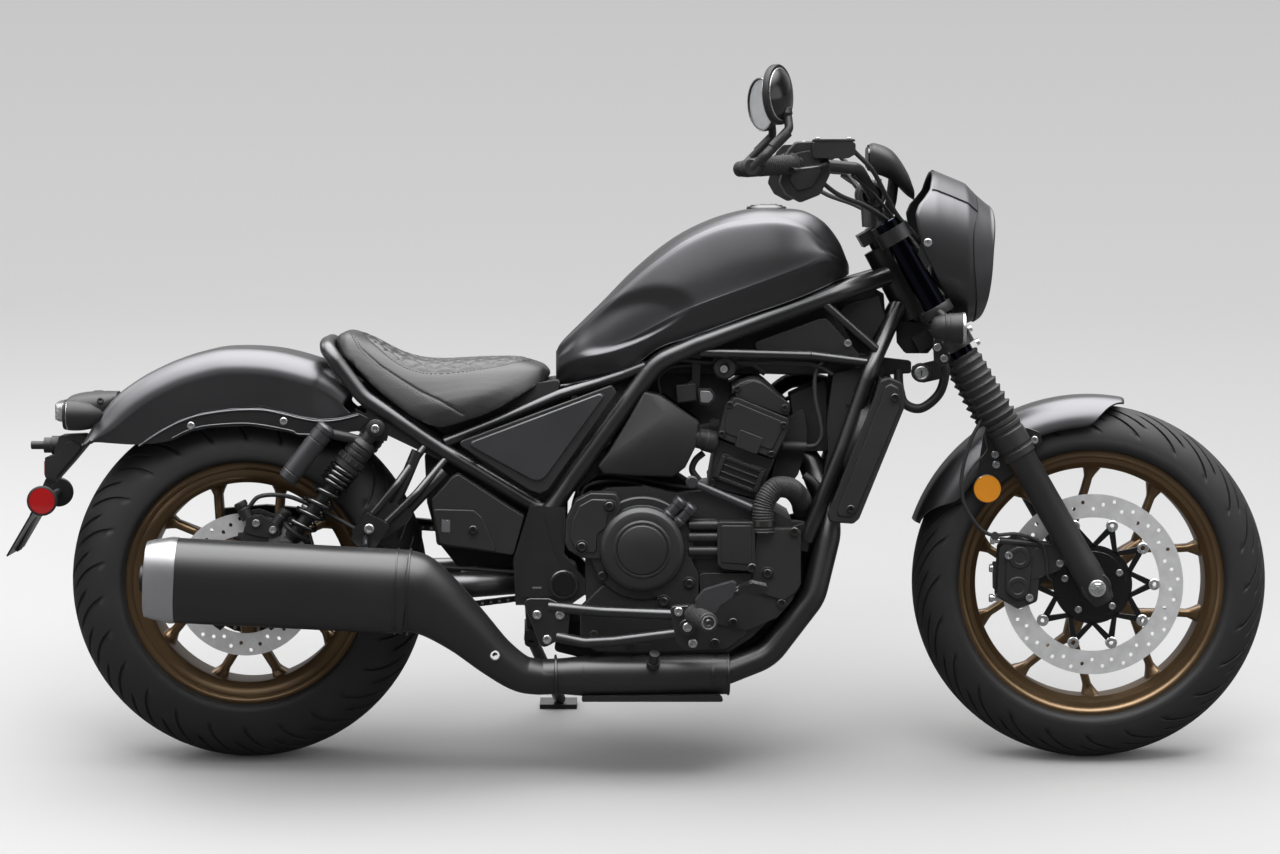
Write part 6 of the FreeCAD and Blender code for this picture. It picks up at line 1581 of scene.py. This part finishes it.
def build_rear_brake():
    """The caliper on its arm, the hose along the swingarm, the axle's nuts and adjusters."""
    shape = Shape()
    z = REAR_Z
    face = [(0, z + 94), (3, z + 124), (30, z + 128), (62, z + 110), (68, z + 90), (52, z + 83), (22, z + 88)]
    shape.slab(face, -91, -109, 7, draft=0.06)
    shape.slab(face, -81, -68, 7, draft=0.04)
    shape.slab([(6, z + 132), (26, z + 136), (60, z + 124), (56, z + 119), (30, z + 128.5), (6, z + 126)], -92, -80, 2)
    shape.slab([(-16, z - 18), (-22, z + 10), (2, z + 110), (50, z + 106), (22, z + 10), (16, z - 18)], -98, -106, 8)
    for base, way in (((4, -97, z + 124), (-0.45, 0, 0.9)), ((60, -97, z + 112), (0.6, 0, 0.8))):
        shape.lathe([(-6, 0), (-6, 12), (14, 12), (15, 10.5), (18, 10.5), (19, 12), (26, 12), (28, 10), (28, 0)], base,
                    way, 0, 24)
    make_piece("rear_brake_caliper", shape, "plastic", bevel=1.5, stands_for="rear_caliper")
    lines = Shape()
    lines.hose([(8, -100, 462), (28, -104, 482), (70, -106, 484), (112, -106, 470), (190, -112, 430), (300, -112, 366),
                (420, -110, 352), (520, -112, 345)], 4, count=70)
    make_piece("rear_brake_hose", lines, "rubber", smooth=50)
    heads = Shape().screws([(22, z + 112, -109), (52, z + 100, -109)], radius=7)
    for side, y in ((-1, 151), (1, 169)):
        heads.nut((0, side * y, z), (0, side, 0), 16.5, 10)
        heads.lathe([(0, 0), (0, 5), (22, 5), (22, 0)], (-46, side * (y - 21), z), (-1, 0, 0), 0, 16)
        heads.nut((-50, side * (y - 21), z), (-1, 0, 0), 10, 8)
    make_piece("rear_axle_nuts", heads, "steel", smooth=35)


def chain_line(step=0.0):
    """The pins' places in mm: a straight run, an arc on each sprocket, and a straight run back."""
    rear_r, front_r = (CHAIN_PITCH / (2 * math.sin(math.pi / teeth)) for teeth in (REAR_TEETH, FRONT_TEETH))
    rear, front = np.array([0, REAR_Z]), np.array([650, 342.0])
    span = np.linalg.norm(front - rear)
    tilt = math.atan2(*(front - rear)[::-1])
    taper = math.asin((rear_r - front_r) / span)
    run = math.sqrt(span ** 2 - (rear_r - front_r) ** 2)
    parts = np.cumsum([0, run, (math.pi - 2 * taper) * front_r, run, (math.pi + 2 * taper) * rear_r])
    count = 2 * round(parts[-1] / CHAIN_PITCH / 2)
    at = (np.arange(count) + step) % count * parts[-1] / count
    top, low = tilt + math.pi / 2 - taper, tilt - math.pi / 2 + taper

    def polar(centre, angle, radius):
        return centre + radius * np.stack([np.cos(angle), np.sin(angle)], -1)

    d = at[:, None]
    upper = polar(rear, top, rear_r) + d * [math.cos(top - math.pi / 2), math.sin(top - math.pi / 2)]
    round_front = polar(front, top - (at - parts[1]) / front_r, front_r)
    lower = polar(front, low, front_r) + (d - parts[2]) * [math.cos(low - math.pi / 2), math.sin(low - math.pi / 2)]
    round_rear = polar(rear, low - (at - parts[3]) / rear_r, rear_r)
    return np.select([d < parts[1], d < parts[2], d < parts[3]], [upper, round_front, lower], round_rear)


def build_chain():
    """Link plates from each pin to the next, waisted in the middle, rollers, and the sprocket's teeth."""
    pins, after = chain_line(), chain_line(1)
    angle = np.linspace(0, TAU, 12, endpoint=False)
    shape, rollers = Shape(), Shape()
    waist = 6.6 - 1.5 * np.abs(np.sin(angle)) ** 6
    for number, (a, b) in enumerate(zip(pins, after)):
        run = (b - a) / np.linalg.norm(b - a)
        up = np.array([-run[1], run[0]])
        ends = np.where(np.cos(angle)[:, None] > 0, b, a)
        outline = ends + waist[:, None] * (np.cos(angle)[:, None] * run + np.sin(angle)[:, None] * up)
        far = 8.6 if number % 2 else 6.4
        for side in (-1, 1):
            shape.add(plate(outline / 1000, (CHAIN_Y + side * far) / 1000, (CHAIN_Y + side * (far - 1.8)) / 1000))
        rollers.lathe([(-9, 0), (-9, 3), (-4.5, 3), (-4.5, 4.9), (4.5, 4.9), (4.5, 3), (9, 3), (9, 0)],
                      (a[0], CHAIN_Y, a[1]), CROSS, 0, 8)
    make_piece("chain_plates", shape, "dark steel", smooth=30, stands_for="drive_chain")
    make_piece("chain_rollers", rollers, "steel", smooth=40)
    teeth = Shape()
    turn = np.linspace(0, TAU, REAR_TEETH * 8, endpoint=False)
    wave = np.clip(0.5 + 0.9 * np.cos(turn * REAR_TEETH), 0, 1)
    rim = 0.1015 + 0.0085 * wave
    ring = [(0.080, -0.003), (rim - 0.004, -0.003), (rim, -0.0015), (rim, 0.0015), (rim - 0.004, 0.003), (0.080, 0.003)]
    teeth.add(sheet_of(np.stack([wheel_point(REAR_AXLE, r, turn, 0.105 + y) for r, y in ring]), True, True))
    teeth.lathe([(80.1, 18), (80.1, 60), (100, 74), (102, 84), (108, 84), (108, 60), (104, 44), (104, 18), (80.1, 18)],
                (0, 0, REAR_Z), CROSS, 0, 60)
    for number in range(5):
        place = wheel_point(REAR_AXLE, 0.072, math.radians(72 * number), 0.108)
        teeth.nut(place * 1000, CROSS, 10, 6)
    make_piece("rear_sprocket_teeth", teeth, "dark steel", "rear_wheel", smooth=35,
               stands_for="rear_sprocket")


def build_tail():
    """The tail lamp with its signals, and the plate's bracket with the reflectors."""
    body, signal, reflector = Shape(), ((-304, -165, 631), (1, 0, 0)), ((-361, -100, 474), -CROSS)
    body.loft([(-331, 0, 622, 52, 26, 3), (-318, 0, 626, 55, 32, 3), (-296, 0, 629, 56, 34, 2.8),
               (-266, 0, 634, 53, 31, 2.8), (-246, 0, 646, 44, 19, 2.4), (-236, 0, 655, 34, 10, 2.2)], 40, 48)
    body.lathe([(0, 17), (0, 24), (1.5, 26.5), (14, 27), (40, 20.5), (58, 9), (63, 0)], *signal, 0, 40, both=True)
    body.lathe([(0.5, 25.2), (-1, 25.8), (-1, 22.5), (0.5, 22)], *signal, 2, 40, both=True)
    body.lathe([(0.4, 22.4), (-0.6, 14), (-1, 0)], *signal, 3, 40, both=True)
    body.pipe([(-284, -50, 629), (-284, -146, 631)], 8, 5, 0, 20, flat=0.8, both=True)
    body.lathe([(0, 7), (0, 11), (5, 11), (7, 8)], (-284, -140, 631), -CROSS, 0, 24, both=True)
    lens_body = np.array([(-345.5, 0, 629, 38, 15, 2.8), (-343, 0, 629, 42, 18, 2.8),
                          (-330, 0, 629, 46, 21, 2.8)]) * MM6
    grid = lofted(lens_body, 6, 64)
    body.add(grid, 2)
    for y in np.linspace(-32, 32, 9):
        body.loft([(-346.3, y, 629, 0.9, 14, 4), (-340, y, 629, 0.9, 16, 4)], 4, 12, 2)
    body.bolt((-262, -50, 650), (0, -1, 0.3), 6, 4)
    make_piece("tail_lamp_body", body, "plastic, red, clear, amber", smooth=38, stands_for="tail_lamp rear_signals")
    holder = Shape()
    holder.slab([(-286, 574), (-296, 588), (-340, 586), (-364, 508), (-352, 498), (-318, 536)], -27, 27, 5)
    holder.slab([(-350, 512), (-366, 508), (-424, 379), (-418, 374)], -22, 22, 2)
    holder.slab([(-366, 547), (-344, 551), (-344, 503), (-366, 510)], -30, 30, 3)
    holder.slab([(-368, 540), (-365, 540), (-365, 514), (-368, 514)], -26, 26, 1, 1)
    holder.lathe([(-8, 0), (-8, 15), (0, 17), (27, 17), (28, 14), (41, 14), (42, 7.5), (64, 7.5), (65, 6.5), (65, 0)],
                 (-330, 0, 567), (-1, 0, 0), 0, 36)
    holder.slab([(-298, 566), (-316, 578), (-328, 574), (-352, 538), (-350, 506), (-336, 522)], -27, -31, 5, draft=0.04,
                both=True)
    holder.lathe([(-4, 0), (-4, 25), (-2, 27), (3, 27), (4, 26), (4.5, 23.5)], *reflector, 0, 40, both=True)
    holder.lathe([(3.4, 23.8), (4.2, 21), (5, 0)], *reflector, 1, 40, both=True)
    holder.pipe([(-361, -97, 474), (-361, -20, 474)], 7, 5, 0, 16, flat=0.7, both=True)
    holder.slab([(-371, 470), (-427, 375), (-424.5, 373), (-367.5, 470)], -95, 95, 1, 2)
    make_piece("plate_bracket", holder, "plastic, red, frame black", bevel=1.2, stands_for="plate_holder")


def build_foot_controls():
    """Brackets and rods, pegs with a rib every 11.4 mm, and the pedals on their shafts."""
    brackets, pegs = Shape(), Shape()
    brackets.slab([(496, 306), (545, 306), (584, 290), (581, 239), (532, 213)], -148.1, -158, 10, draft=0.03, both=True)
    for path in ([(545, 152, 290), (600, 166, 286), (640, 180, 284), (790, 205, 281)],
                 [(560, 152, 236), (610, 172, 228), (660, 184, 232), (790, 205, 251)]):
        brackets.pipe([(x, -y, z) for x, y, z in path], 9.5, 45, both=True)
    brackets.slab([(758, 298), (806, 300), (816, 290), (812, 226), (790, 216), (770, 232)], -196, -214, 8, draft=0.03,
                  both=True)
    way = unit(np.array([26, -115, -2.0]))
    base = np.array([800, -213, 283.0])
    rubber = [(4, 0), (4, 15), (8, 17.5)]
    for rib in range(9):
        rubber += [(10 + rib * 11.4, 17.6), (17.6 + rib * 11.4, 17.6), (18.4 + rib * 11.4, 15.8),
                   (20.6 + rib * 11.4, 15.8)]
    pegs.lathe(rubber + [(113, 17.2), (117, 15), (117, 12.5)], base, way, 0, 40, both=True)
    pegs.lathe([(117, 12.6), (119, 12), (119, 10.5), (117, 10)], base, way, 1, 30, both=True)
    pegs.lathe([(117.5, 10.2), (116.5, 6), (118, 4), (118, 0)], base, way, 2, 30, both=True)
    pegs.lathe([(-6, 0), (-6, 11), (5, 11), (5, 0)], base, way, 2, 24, both=True)
    pegs.lathe([(-16, 0), (-16, 9), (16, 9), (16, 0)], base + [0, 2, 0], (0, 0, 1), 2, 24, both=True)
    brackets.pipe([(790, -221, 262), (835, -226, 308), (884, -232, 330)], 7, 20, flat=0.75, both=True)
    brackets.lathe([(-8, 7), (-8, 14), (8, 14), (8, 7), (-8, 7)], (790, -222, 262), CROSS, 0, 28, both=True)
    pegs.slab([(803, 290), (803, 312), (818, 330), (838, 337), (870, 346), (878, 342), (870, 318), (846, 302),
               (838, 288)], -236, -262, 6, 3, draft=0.05)
    make_piece("foot_brackets", brackets, "frame black", bevel=1.5, stands_for="foot_controls")
    pads = [(880, 322), (878, 334), (904, 343), (930, 337), (932, 325)]
    pegs.slab(pads, -207, -262, 4, 2)
    for y in range(6):
        pegs.slab([(886, 335.5), (904, 343.5), (928, 337.8), (928, 336), (904, 341.5), (886, 333.5)], -209 - y * 9,
                  -213 - y * 9, 0.5, 1)
    pegs.lathe([(-22, 0), (-22, 9), (-20, 11), (24, 11), (26, 9), (26, 0)], (893, 236, 331), CROSS, 0, 28)
    pegs.pipe([(846, -240, 306), (868, -238, 322), (890, -236, 329)], 7, 8, 2, 16)
    make_piece("peg_rubbers", pegs, "rubber, steel, frame black, cover grey", smooth=35)
    places = [(524, 276, -158), (565, 276, -158), (542, 232, -158), (775, 288, -214), (790, 262, -229)]
    heads = Shape().screws(places, radius=8, both=True).screws([(800, 232, -214)], radius=8)
    make_piece("foot_screws", heads, "steel", smooth=35)


def build_pipes():
    """Two header pipes that join in a box below the engine, with rings where they are clamped."""
    shape = Shape()
    outer = [(970, -30, 560), (1012, -30, 545), (1040, -78, 470), (1044, -104, 415), (1016, -124, 305),
             (935, -132, 200), (845, -152, 167)]
    inner = [(970, 55, 560), (1012, 50, 545), (1040, 0, 470), (1044, -50, 415), (1016, -76, 305), (935, -90, 202),
             (838, -136, 169)]
    for path in (outer, inner):
        shape.pipe(path, 22.5, 75, 0, 28)
        start = np.array(path[0], float)
        shape.lathe([(-2, 20), (-2, 31), (6, 31), (7, 29), (7, 22), (10, 21)], start, (42, 0, -15), 0, 32)
        way = np.array(path[-2], float) - path[-1]
        for step in (14, 40):
            shape.lathe([(step, 20), (step + 1, 21.6), (step + 3, 21.6), (step + 4, 20)], path[-1], way, 0, 36)
    start, end = np.array([866, -142, 169.0]), np.array([535.6, -152, 165.0])
    box = [(*(start + (end - start) * at), w, h, 2.3) for at, w,
           h in ((0, 36, 36), (0.1, 36.5, 36.5), (0.7, 36.5, 36.5), (0.8, 35, 35), (0.9, 32, 32), (1, 31, 31))]
    shape.add(lofted(np.array(box) * MM6, 40, 40, None))
    shape.pipe([(500, -161, 171), (530, -153, 164), (562, -151.6, 165.2)], 31.4, 24, 0, 40)
    for at in (0, 28, 306):
        shape.lathe([(at, 33), (at + 1, 38.5), (at + 4.5, 38.5), (at + 5.5, 33)], start, end - start, 0, 44)
    shape.slab([(604, 124), (604, 134), (846, 136), (858, 124)], -150, -186, 3)
    shape.lathe([(0, 12), (8, 12), (8, 9), (28, 9), (28, 0)], (730, -184, 190), (0.1, -0.6, 0.8), 0, 20)
    make_piece("front_pipes", shape, "muffler black, steel", smooth=40, stands_for="exhaust_pipes")


def build_fillers():
    """Near-black boxes, painted shade, that close the view behind the frame, then the panels, tabs, plates and cables
    before them.
    """
    # These slabs are painted shade: dark sheets set where there is only shadow between the frame's parts
    dark = Shape()
    for corners, half, bend in (
            ([(640, 704), (700, 735), (740, 742), (1110, 734), (1148, 706), (1140, 690), (1040, 704), (1000, 697),
              (930, 699),
              (880, 696), (800, 690), (700, 690)], 62, 8),
            ([(712, 640), (722, 700), (862, 704), (872, 664), (858, 640), (846, 590), (828, 560), (812, 566),
              (815, 616), (745, 668)],
             70, 8),
            ([(1040, 606), (1052, 700), (1100, 712), (1130, 690), (1072, 470), (1046, 462), (1036, 520), (1044, 560)],
             92, 8),
            ([(976, 660), (1040, 690), (1044, 560), (1000, 560), (985, 600)], 60, 4),
            ([(580, 452), (600, 512), (640, 530), (764, 522), (800, 498), (836, 486), (830, 452)], 70, 8),
            ([(966, 616), (1000, 640), (1006, 600), (1004, 566), (990, 520), (952, 470), (930, 470), (950, 548)], 84,
             6),
            ([(700, 700), (748, 728), (820, 756), (1056, 838), (1062, 800), (1096, 735), (1080, 700)], 78, 8),
            ([(1040, 750), (1052, 836), (1128, 852), (1146, 842), (1150, 790), (1144, 726), (1196, 720), (1196, 698),
              (1130, 694),
              (1100, 712)], 20, 4),
            ([(560, 250), (552, 200), (600, 188), (850, 190), (930, 214), (975, 262), (1018, 330), (1034, 420),
              (960, 430),
              (900, 300)], 64, 8),
            ([(322, 556), (372, 598), (440, 560), (520, 480), (505, 400), (490, 352), (380, 356), (345, 400),
              (326, 470)], 92, 8),
            ([(392, 572), (560, 652), (690, 709), (700, 690), (652, 600), (640, 524), (560, 470), (500, 470)], 100, 6),
            ([(250, 668), (300, 650), (340, 604), (358, 592), (386, 594), (424, 612), (560, 664), (566, 690),
              (480, 680), (380, 655)], 98, 6)):
        dark.slab(corners, -half, half, bend)
    for z in (500, 536, 572, 608, 644):
        dark.slab([(1046 + (z - 500) * 0.2, z), (1088 + (z - 500) * 0.2, z), (1088 + (z - 500) * 0.2, z + 7),
                   (1046 + (z - 500) * 0.2, z + 7)], -96, 96, 2)
    # This slab below the clamps is painted shade as well
    skirt = Shape()
    skirt.slab([(1170, 794), (1226, 788), (1240, 752), (1226, 734), (1186, 734), (1172, 752)], -22, 22, 4)
    make_piece("clamp_skirt", skirt, "shade", STEER, bevel=2)
    make_piece("inner_boxes", dark, "shade", bevel=3)
    panels = Shape()
    low = [(908, 757), (1026, 799), (1040, 800), (1103, 731), (1088, 726), (912, 744)]
    panels.slab(low, -92, -101, 6, draft=0.02, both=True)
    make_piece("frame_panels", panels, "plastic", bevel=2)
    heads = Shape().screws([(1077, 756, -101)], radius=7, both=True).screws([(856, 710, -112)], radius=7)
    make_piece("panel_screws", heads, "steel", smooth=35)
    rails = Shape()
    for path in ([(311, -128, 565), (290, -130, 515), (266, -132, 462)],
                 [(360, -126, 528), (322, -130, 490), (284, -132, 450)]):
        rails.pipe(path, 10.5, 40, 0, 20)
    rails.slab([(214, 458), (246, 477), (290, 470), (306, 456), (292, 436), (250, 407), (190, 417), (204, 436)], -126,
               -146, 6, draft=0.03)
    rails.slab([(528, 462), (536, 462), (540, 430), (568, 352), (562, 308), (492, 306), (494, 340), (506, 400)], -146,
               -151, 5, both=True)
    rails.lathe([(0, 24), (2, 26), (9, 26), (11, 24), (11, 19), (9, 17), (9, 0)], (572, -147, 329), -CROSS, 0, 48,
                both=True)
    rails.slab([(516, 322), (532, 322), (532, 325), (516, 325)], -151, -152, 0.5, 1, both=True)
    rails.pipe([(640, -112, 687.5), (680, -114, 701), (718, -120, 716)], 10, 20, 0, 24, True)
    rails.slab([(800, 740), (816, 740), (814, 690), (812, 652), (778, 648), (774, 672), (800, 690)], -86, -92, 4)
    rails.slab([(836, 728), (884, 738), (880, 712), (862, 690), (842, 694)], -96, -101, 5)
    make_piece("frame_tabs", rails, "frame black, end cap", smooth=40)
    lines = Shape()
    for path, r in (([(1004, -100, 571), (1022, -102, 575), (1031, -102, 598), (1020, -100, 655), (1020, -94, 700),
                      (1036, -84, 724)], 4),
                    ([(596, -96, 470), (600, -96, 506), (640, -92, 522), (700, -88, 514), (770, -90, 500),
                      (812, -96, 496)], 4),
                    ([(598, -104, 470), (612, -102, 500), (660, -100, 510), (720, -96, 500), (760, -92, 486)], 3.4),
                    ([(560, -100, 500), (552, -104, 470), (560, -104, 440), (576, -100, 410)], 4),
                    ([(700, -84, 690), (716, -88, 716), (760, -92, 726), (820, -92, 722), (900, -90, 716)], 4.5),
                    ([(744, -88, 664), (740, -88, 692), (762, -88, 712), (800, -86, 716)], 3),
                    ([(1050, -100, 700), (1020, -104, 716), (960, -104, 720), (880, -104, 722)], 3.4),
                    ([(820, -108, 560), (806, -112, 548), (800, -112, 530), (812, -110, 512)], 6),
                    ([(1000, -96, 520), (1024, -98, 500), (1030, -98, 462), (1010, -98, 440)], 7)):
        lines.hose(path, r, count=44)
    lines.pipe([(962, -98, 572), (1004, -100, 571)], 8.5)
    make_piece("engine_cables", lines, "rubber", smooth=50)


# Stage


def put(name, data, axes, place):
    """A new object at a place, its own X, Y and Z along the three axes."""
    matrix = np.eye(4)
    matrix[:3, :3], matrix[:3, 3] = np.transpose(axes), place
    made = bpy.data.objects.new(name, data)
    bpy.context.scene.collection.objects.link(made)
    made.matrix_world = Matrix(matrix.tolist())
    return made


def add_light(name, place, aim, size, power):
    lamp = change(bpy.data.lights.new(name, "AREA"), shape="RECTANGLE", size=size[0], size_y=size[1], energy=power)
    back = unit(np.array(place) - np.array(aim))
    put(name, lamp, (*across(back), back), place)


def add_camera():
    """The camera stands in the leaning motorcycle's own frame, so that it looks upright."""
    tilt = math.radians(3.59)
    camera = change(bpy.data.cameras.new("camera"), lens=109.0, sensor_width=36, clip_end=100)
    axes = np.array([[1, 0, 0], [0, math.sin(tilt), math.cos(tilt)], [0, -math.cos(tilt), math.sin(tilt)]]) @ TURN.T
    bpy.context.scene.camera = put("camera", camera, axes, parked([0.707, -7.0, 1.039])[0])


def add_floor():
    """A pale floor whose colour darkens into the distance, painted shade in place of light that falls off, and that
    shiny surfaces reflect only dimly.
    """
    mesh = bpy.data.meshes.new("floor")
    mesh.from_pydata([(-30, -30, 0), (30, -30, 0), (30, 30, 0), (-30, 30, 0)], [], [(0, 1, 2, 3)])
    floor = put("floor", mesh, np.eye(3), (0, 0, 0))
    finish, tree = new_finish("studio_floor")
    y = add_node(tree, "SeparateXYZ", "Y", {"Vector": add_node(tree, "TexCoord", "Object")})
    away = add_node(tree, "Math", "Value", {0: add_node(tree, "Math", "Value", {0: y, 1: 3.0})}, operation="ABSOLUTE")
    away = add_node(tree, "MapRange", "Result", {"Value": away, "From Min": 2.0, "From Max": 17.0})
    # The ramp paints shade into the floor's colour: lighter near the motorcycle, darker far away
    shade = ramp(tree, away, [(at, [level] * 3) for at, level in ((0, 0.86), (0.10, 0.84), (0.30, 0.68), (1, 0.56))])
    glossy = add_node(tree, "LightPath", "Is Glossy Ray")
    dim = add_node(tree, "MapRange", "Result", {"Value": glossy, "To Min": 1.0, "To Max": 0.25})
    colour = add_node(tree, "VectorMath", "Vector", {"Vector": shade, "Scale": dim}, operation="SCALE")
    feed(tree, tree.nodes["Principled BSDF"], {"Base Color": colour, "Roughness": 1.0, "Specular IOR Level": 0.0})
    mesh.materials.append(finish)


def add_sky():
    """Even light on all surfaces; shiny ones see a softbox above, a strip on each side and a faint one behind."""
    world = bpy.data.worlds.new("studio")
    bpy.context.scene.world = world
    world.use_nodes = True
    tree = world.node_tree
    way = add_node(tree, "TexCoord", "Generated")
    total = 0.06
    for aim, low, high, level in ((SOFTBOX, 0.42, 0.97, 8.5), ((0.93, -0.36, 0), 0.86, 0.97, 0.9),
                                  ((-0.93, -0.36, 0), 0.86, 0.97, 0.9), ((0, 1, 0.1), 0.3, 0.9, 0.3)):
        near = add_node(tree, "VectorMath", "Value", {0: way, 1: list(TURN @ unit(aim))}, operation="DOT_PRODUCT")
        glow = add_node(tree, "MapRange", "Result",
                        {"Value": near, "From Min": low, "From Max": high, "To Min": 0.0, "To Max": level},
                        interpolation_type="SMOOTHSTEP")
        total = add_node(tree, "Math", "Value", {0: glow, 1: total})
    glossy = add_node(tree, "LightPath", "Is Glossy Ray")
    strength = add_node(tree, "Mix", "Result", {"Factor": glossy, "A": 0.44, "B": total})
    feed(tree, tree.nodes["Background"], {"Strength": strength, "Color": (1, 1, 1, 1)})


def build_stage():
    """Camera, floor, sky, a soft sun from above and two rectangular lights."""
    bpy.context.scene.view_settings.view_transform = "Standard"
    add_camera()
    add_floor()
    add_sky()
    sun = change(bpy.data.lights.new("sun", "SUN"), energy=1.55, angle=math.radians(70))
    tip = math.radians(-8)
    put("sun", sun, [[1, 0, 0], [0, math.cos(tip), math.sin(tip)], [0, -math.sin(tip), math.cos(tip)]], (0, 0, 0))
    add_light("top_light", (0.1, -1.6, 2.9), (0, -0.1, 0.6), (2.6, 0.7), 14)
    add_light("rear_light", (-2.4, 1.5, 1.8), (-0.4, 0, 0.7), (1.2, 0.8), 10)


# Operators


class Step:
    """What the operators share: each runs its builders in order"""

    def execute(self, context):
        for build in self.builders:
            build()
        return {"FINISHED"}


class CRUISER_OT_stage(Step, bpy.types.Operator):
    """Set the camera, the floor and the studio light"""

    bl_idname = "cruiser.stage"
    bl_label = "Stage"
    builders = (build_stage,)


class CRUISER_OT_finishes(Step, bpy.types.Operator):
    """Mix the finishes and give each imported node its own"""

    bl_idname = "cruiser.finishes"
    bl_label = "Finishes"
    builders = (mix_finishes, dress_nodes)


class CRUISER_OT_wheels(Step, bpy.types.Operator):
    """Build the tyres, the cast wheels and the brake discs"""

    bl_idname = "cruiser.wheels"
    bl_label = "Wheels"
    builders = (build_tyres, build_rims, build_discs)


class CRUISER_OT_bodywork(Step, bpy.types.Operator):
    """Build the tank, the seat, the fenders and the cowl"""

    bl_idname = "cruiser.bodywork"
    bl_label = "Bodywork"
    builders = (build_tank, build_seat, build_rear_fender, build_front_fender, build_cowl)


class CRUISER_OT_exhaust(Step, bpy.types.Operator):
    """Build the muffler, its hanger and the pipes"""

    bl_idname = "cruiser.exhaust"
    bl_label = "Exhaust"
    builders = (build_muffler, build_pipes)


class CRUISER_OT_engine(Step, bpy.types.Operator):
    """Build the engine's castings, its air box, hoses and radiator"""

    bl_idname = "cruiser.engine"
    bl_label = "Engine"
    builders = (build_covers, build_left_engine, build_cylinder, build_intake, build_hoses, build_radiator,
                build_side_covers, build_fillers)


class CRUISER_OT_front(Step, bpy.types.Operator):
    """Build the fork, its brake, the lamp, the bar and the mirrors"""

    bl_idname = "cruiser.front"
    bl_label = "Front end"
    builders = (build_fork, build_front_brake, build_headlamp, build_bar, build_mirrors)


class CRUISER_OT_rear(Step, bpy.types.Operator):
    """Build the shocks, the rear brake, the chain, the tail and the foot controls"""

    bl_idname = "cruiser.rear"
    bl_label = "Rear end"
    builders = (build_shocks, build_rear_brake, build_chain, build_tail, build_foot_controls)


STEPS = (CRUISER_OT_stage, CRUISER_OT_finishes, CRUISER_OT_wheels, CRUISER_OT_bodywork, CRUISER_OT_exhaust,
         CRUISER_OT_engine, CRUISER_OT_front, CRUISER_OT_rear)


class CRUISER_PT_panel(bpy.types.Panel):
    """The steps that build the motorcycle, in order"""

    bl_idname = "CRUISER_PT_panel"
    bl_label = "Cruiser"
    bl_space_type = "VIEW_3D"
    bl_region_type = "UI"
    bl_category = "Cruiser"

    def draw(self, context):
        for group in (context.scene.cruiser_sizes, context.scene.cruiser_colours):
            for name in group.__annotations__:
                self.layout.prop(group, name)
        for step in STEPS:
            self.layout.operator(step.bl_idname)


CLASSES = (CRUISER_PG_colours, CRUISER_PG_sizes, *STEPS, CRUISER_PT_panel)


def register():
    for cls in CLASSES:
        bpy.utils.register_class(cls)
    bpy.types.Scene.cruiser_colours = bpy.props.PointerProperty(type=CRUISER_PG_colours)
    bpy.types.Scene.cruiser_sizes = bpy.props.PointerProperty(type=CRUISER_PG_sizes)


def unregister():
    del bpy.types.Scene.cruiser_sizes
    del bpy.types.Scene.cruiser_colours
    for cls in reversed(CLASSES):
        bpy.utils.unregister_class(cls)


def main():
    register()
    for step in STEPS:
        group, action = step.bl_idname.split(".")
        getattr(getattr(bpy.ops, group), action)()


if __name__ == "__main__":
    main()
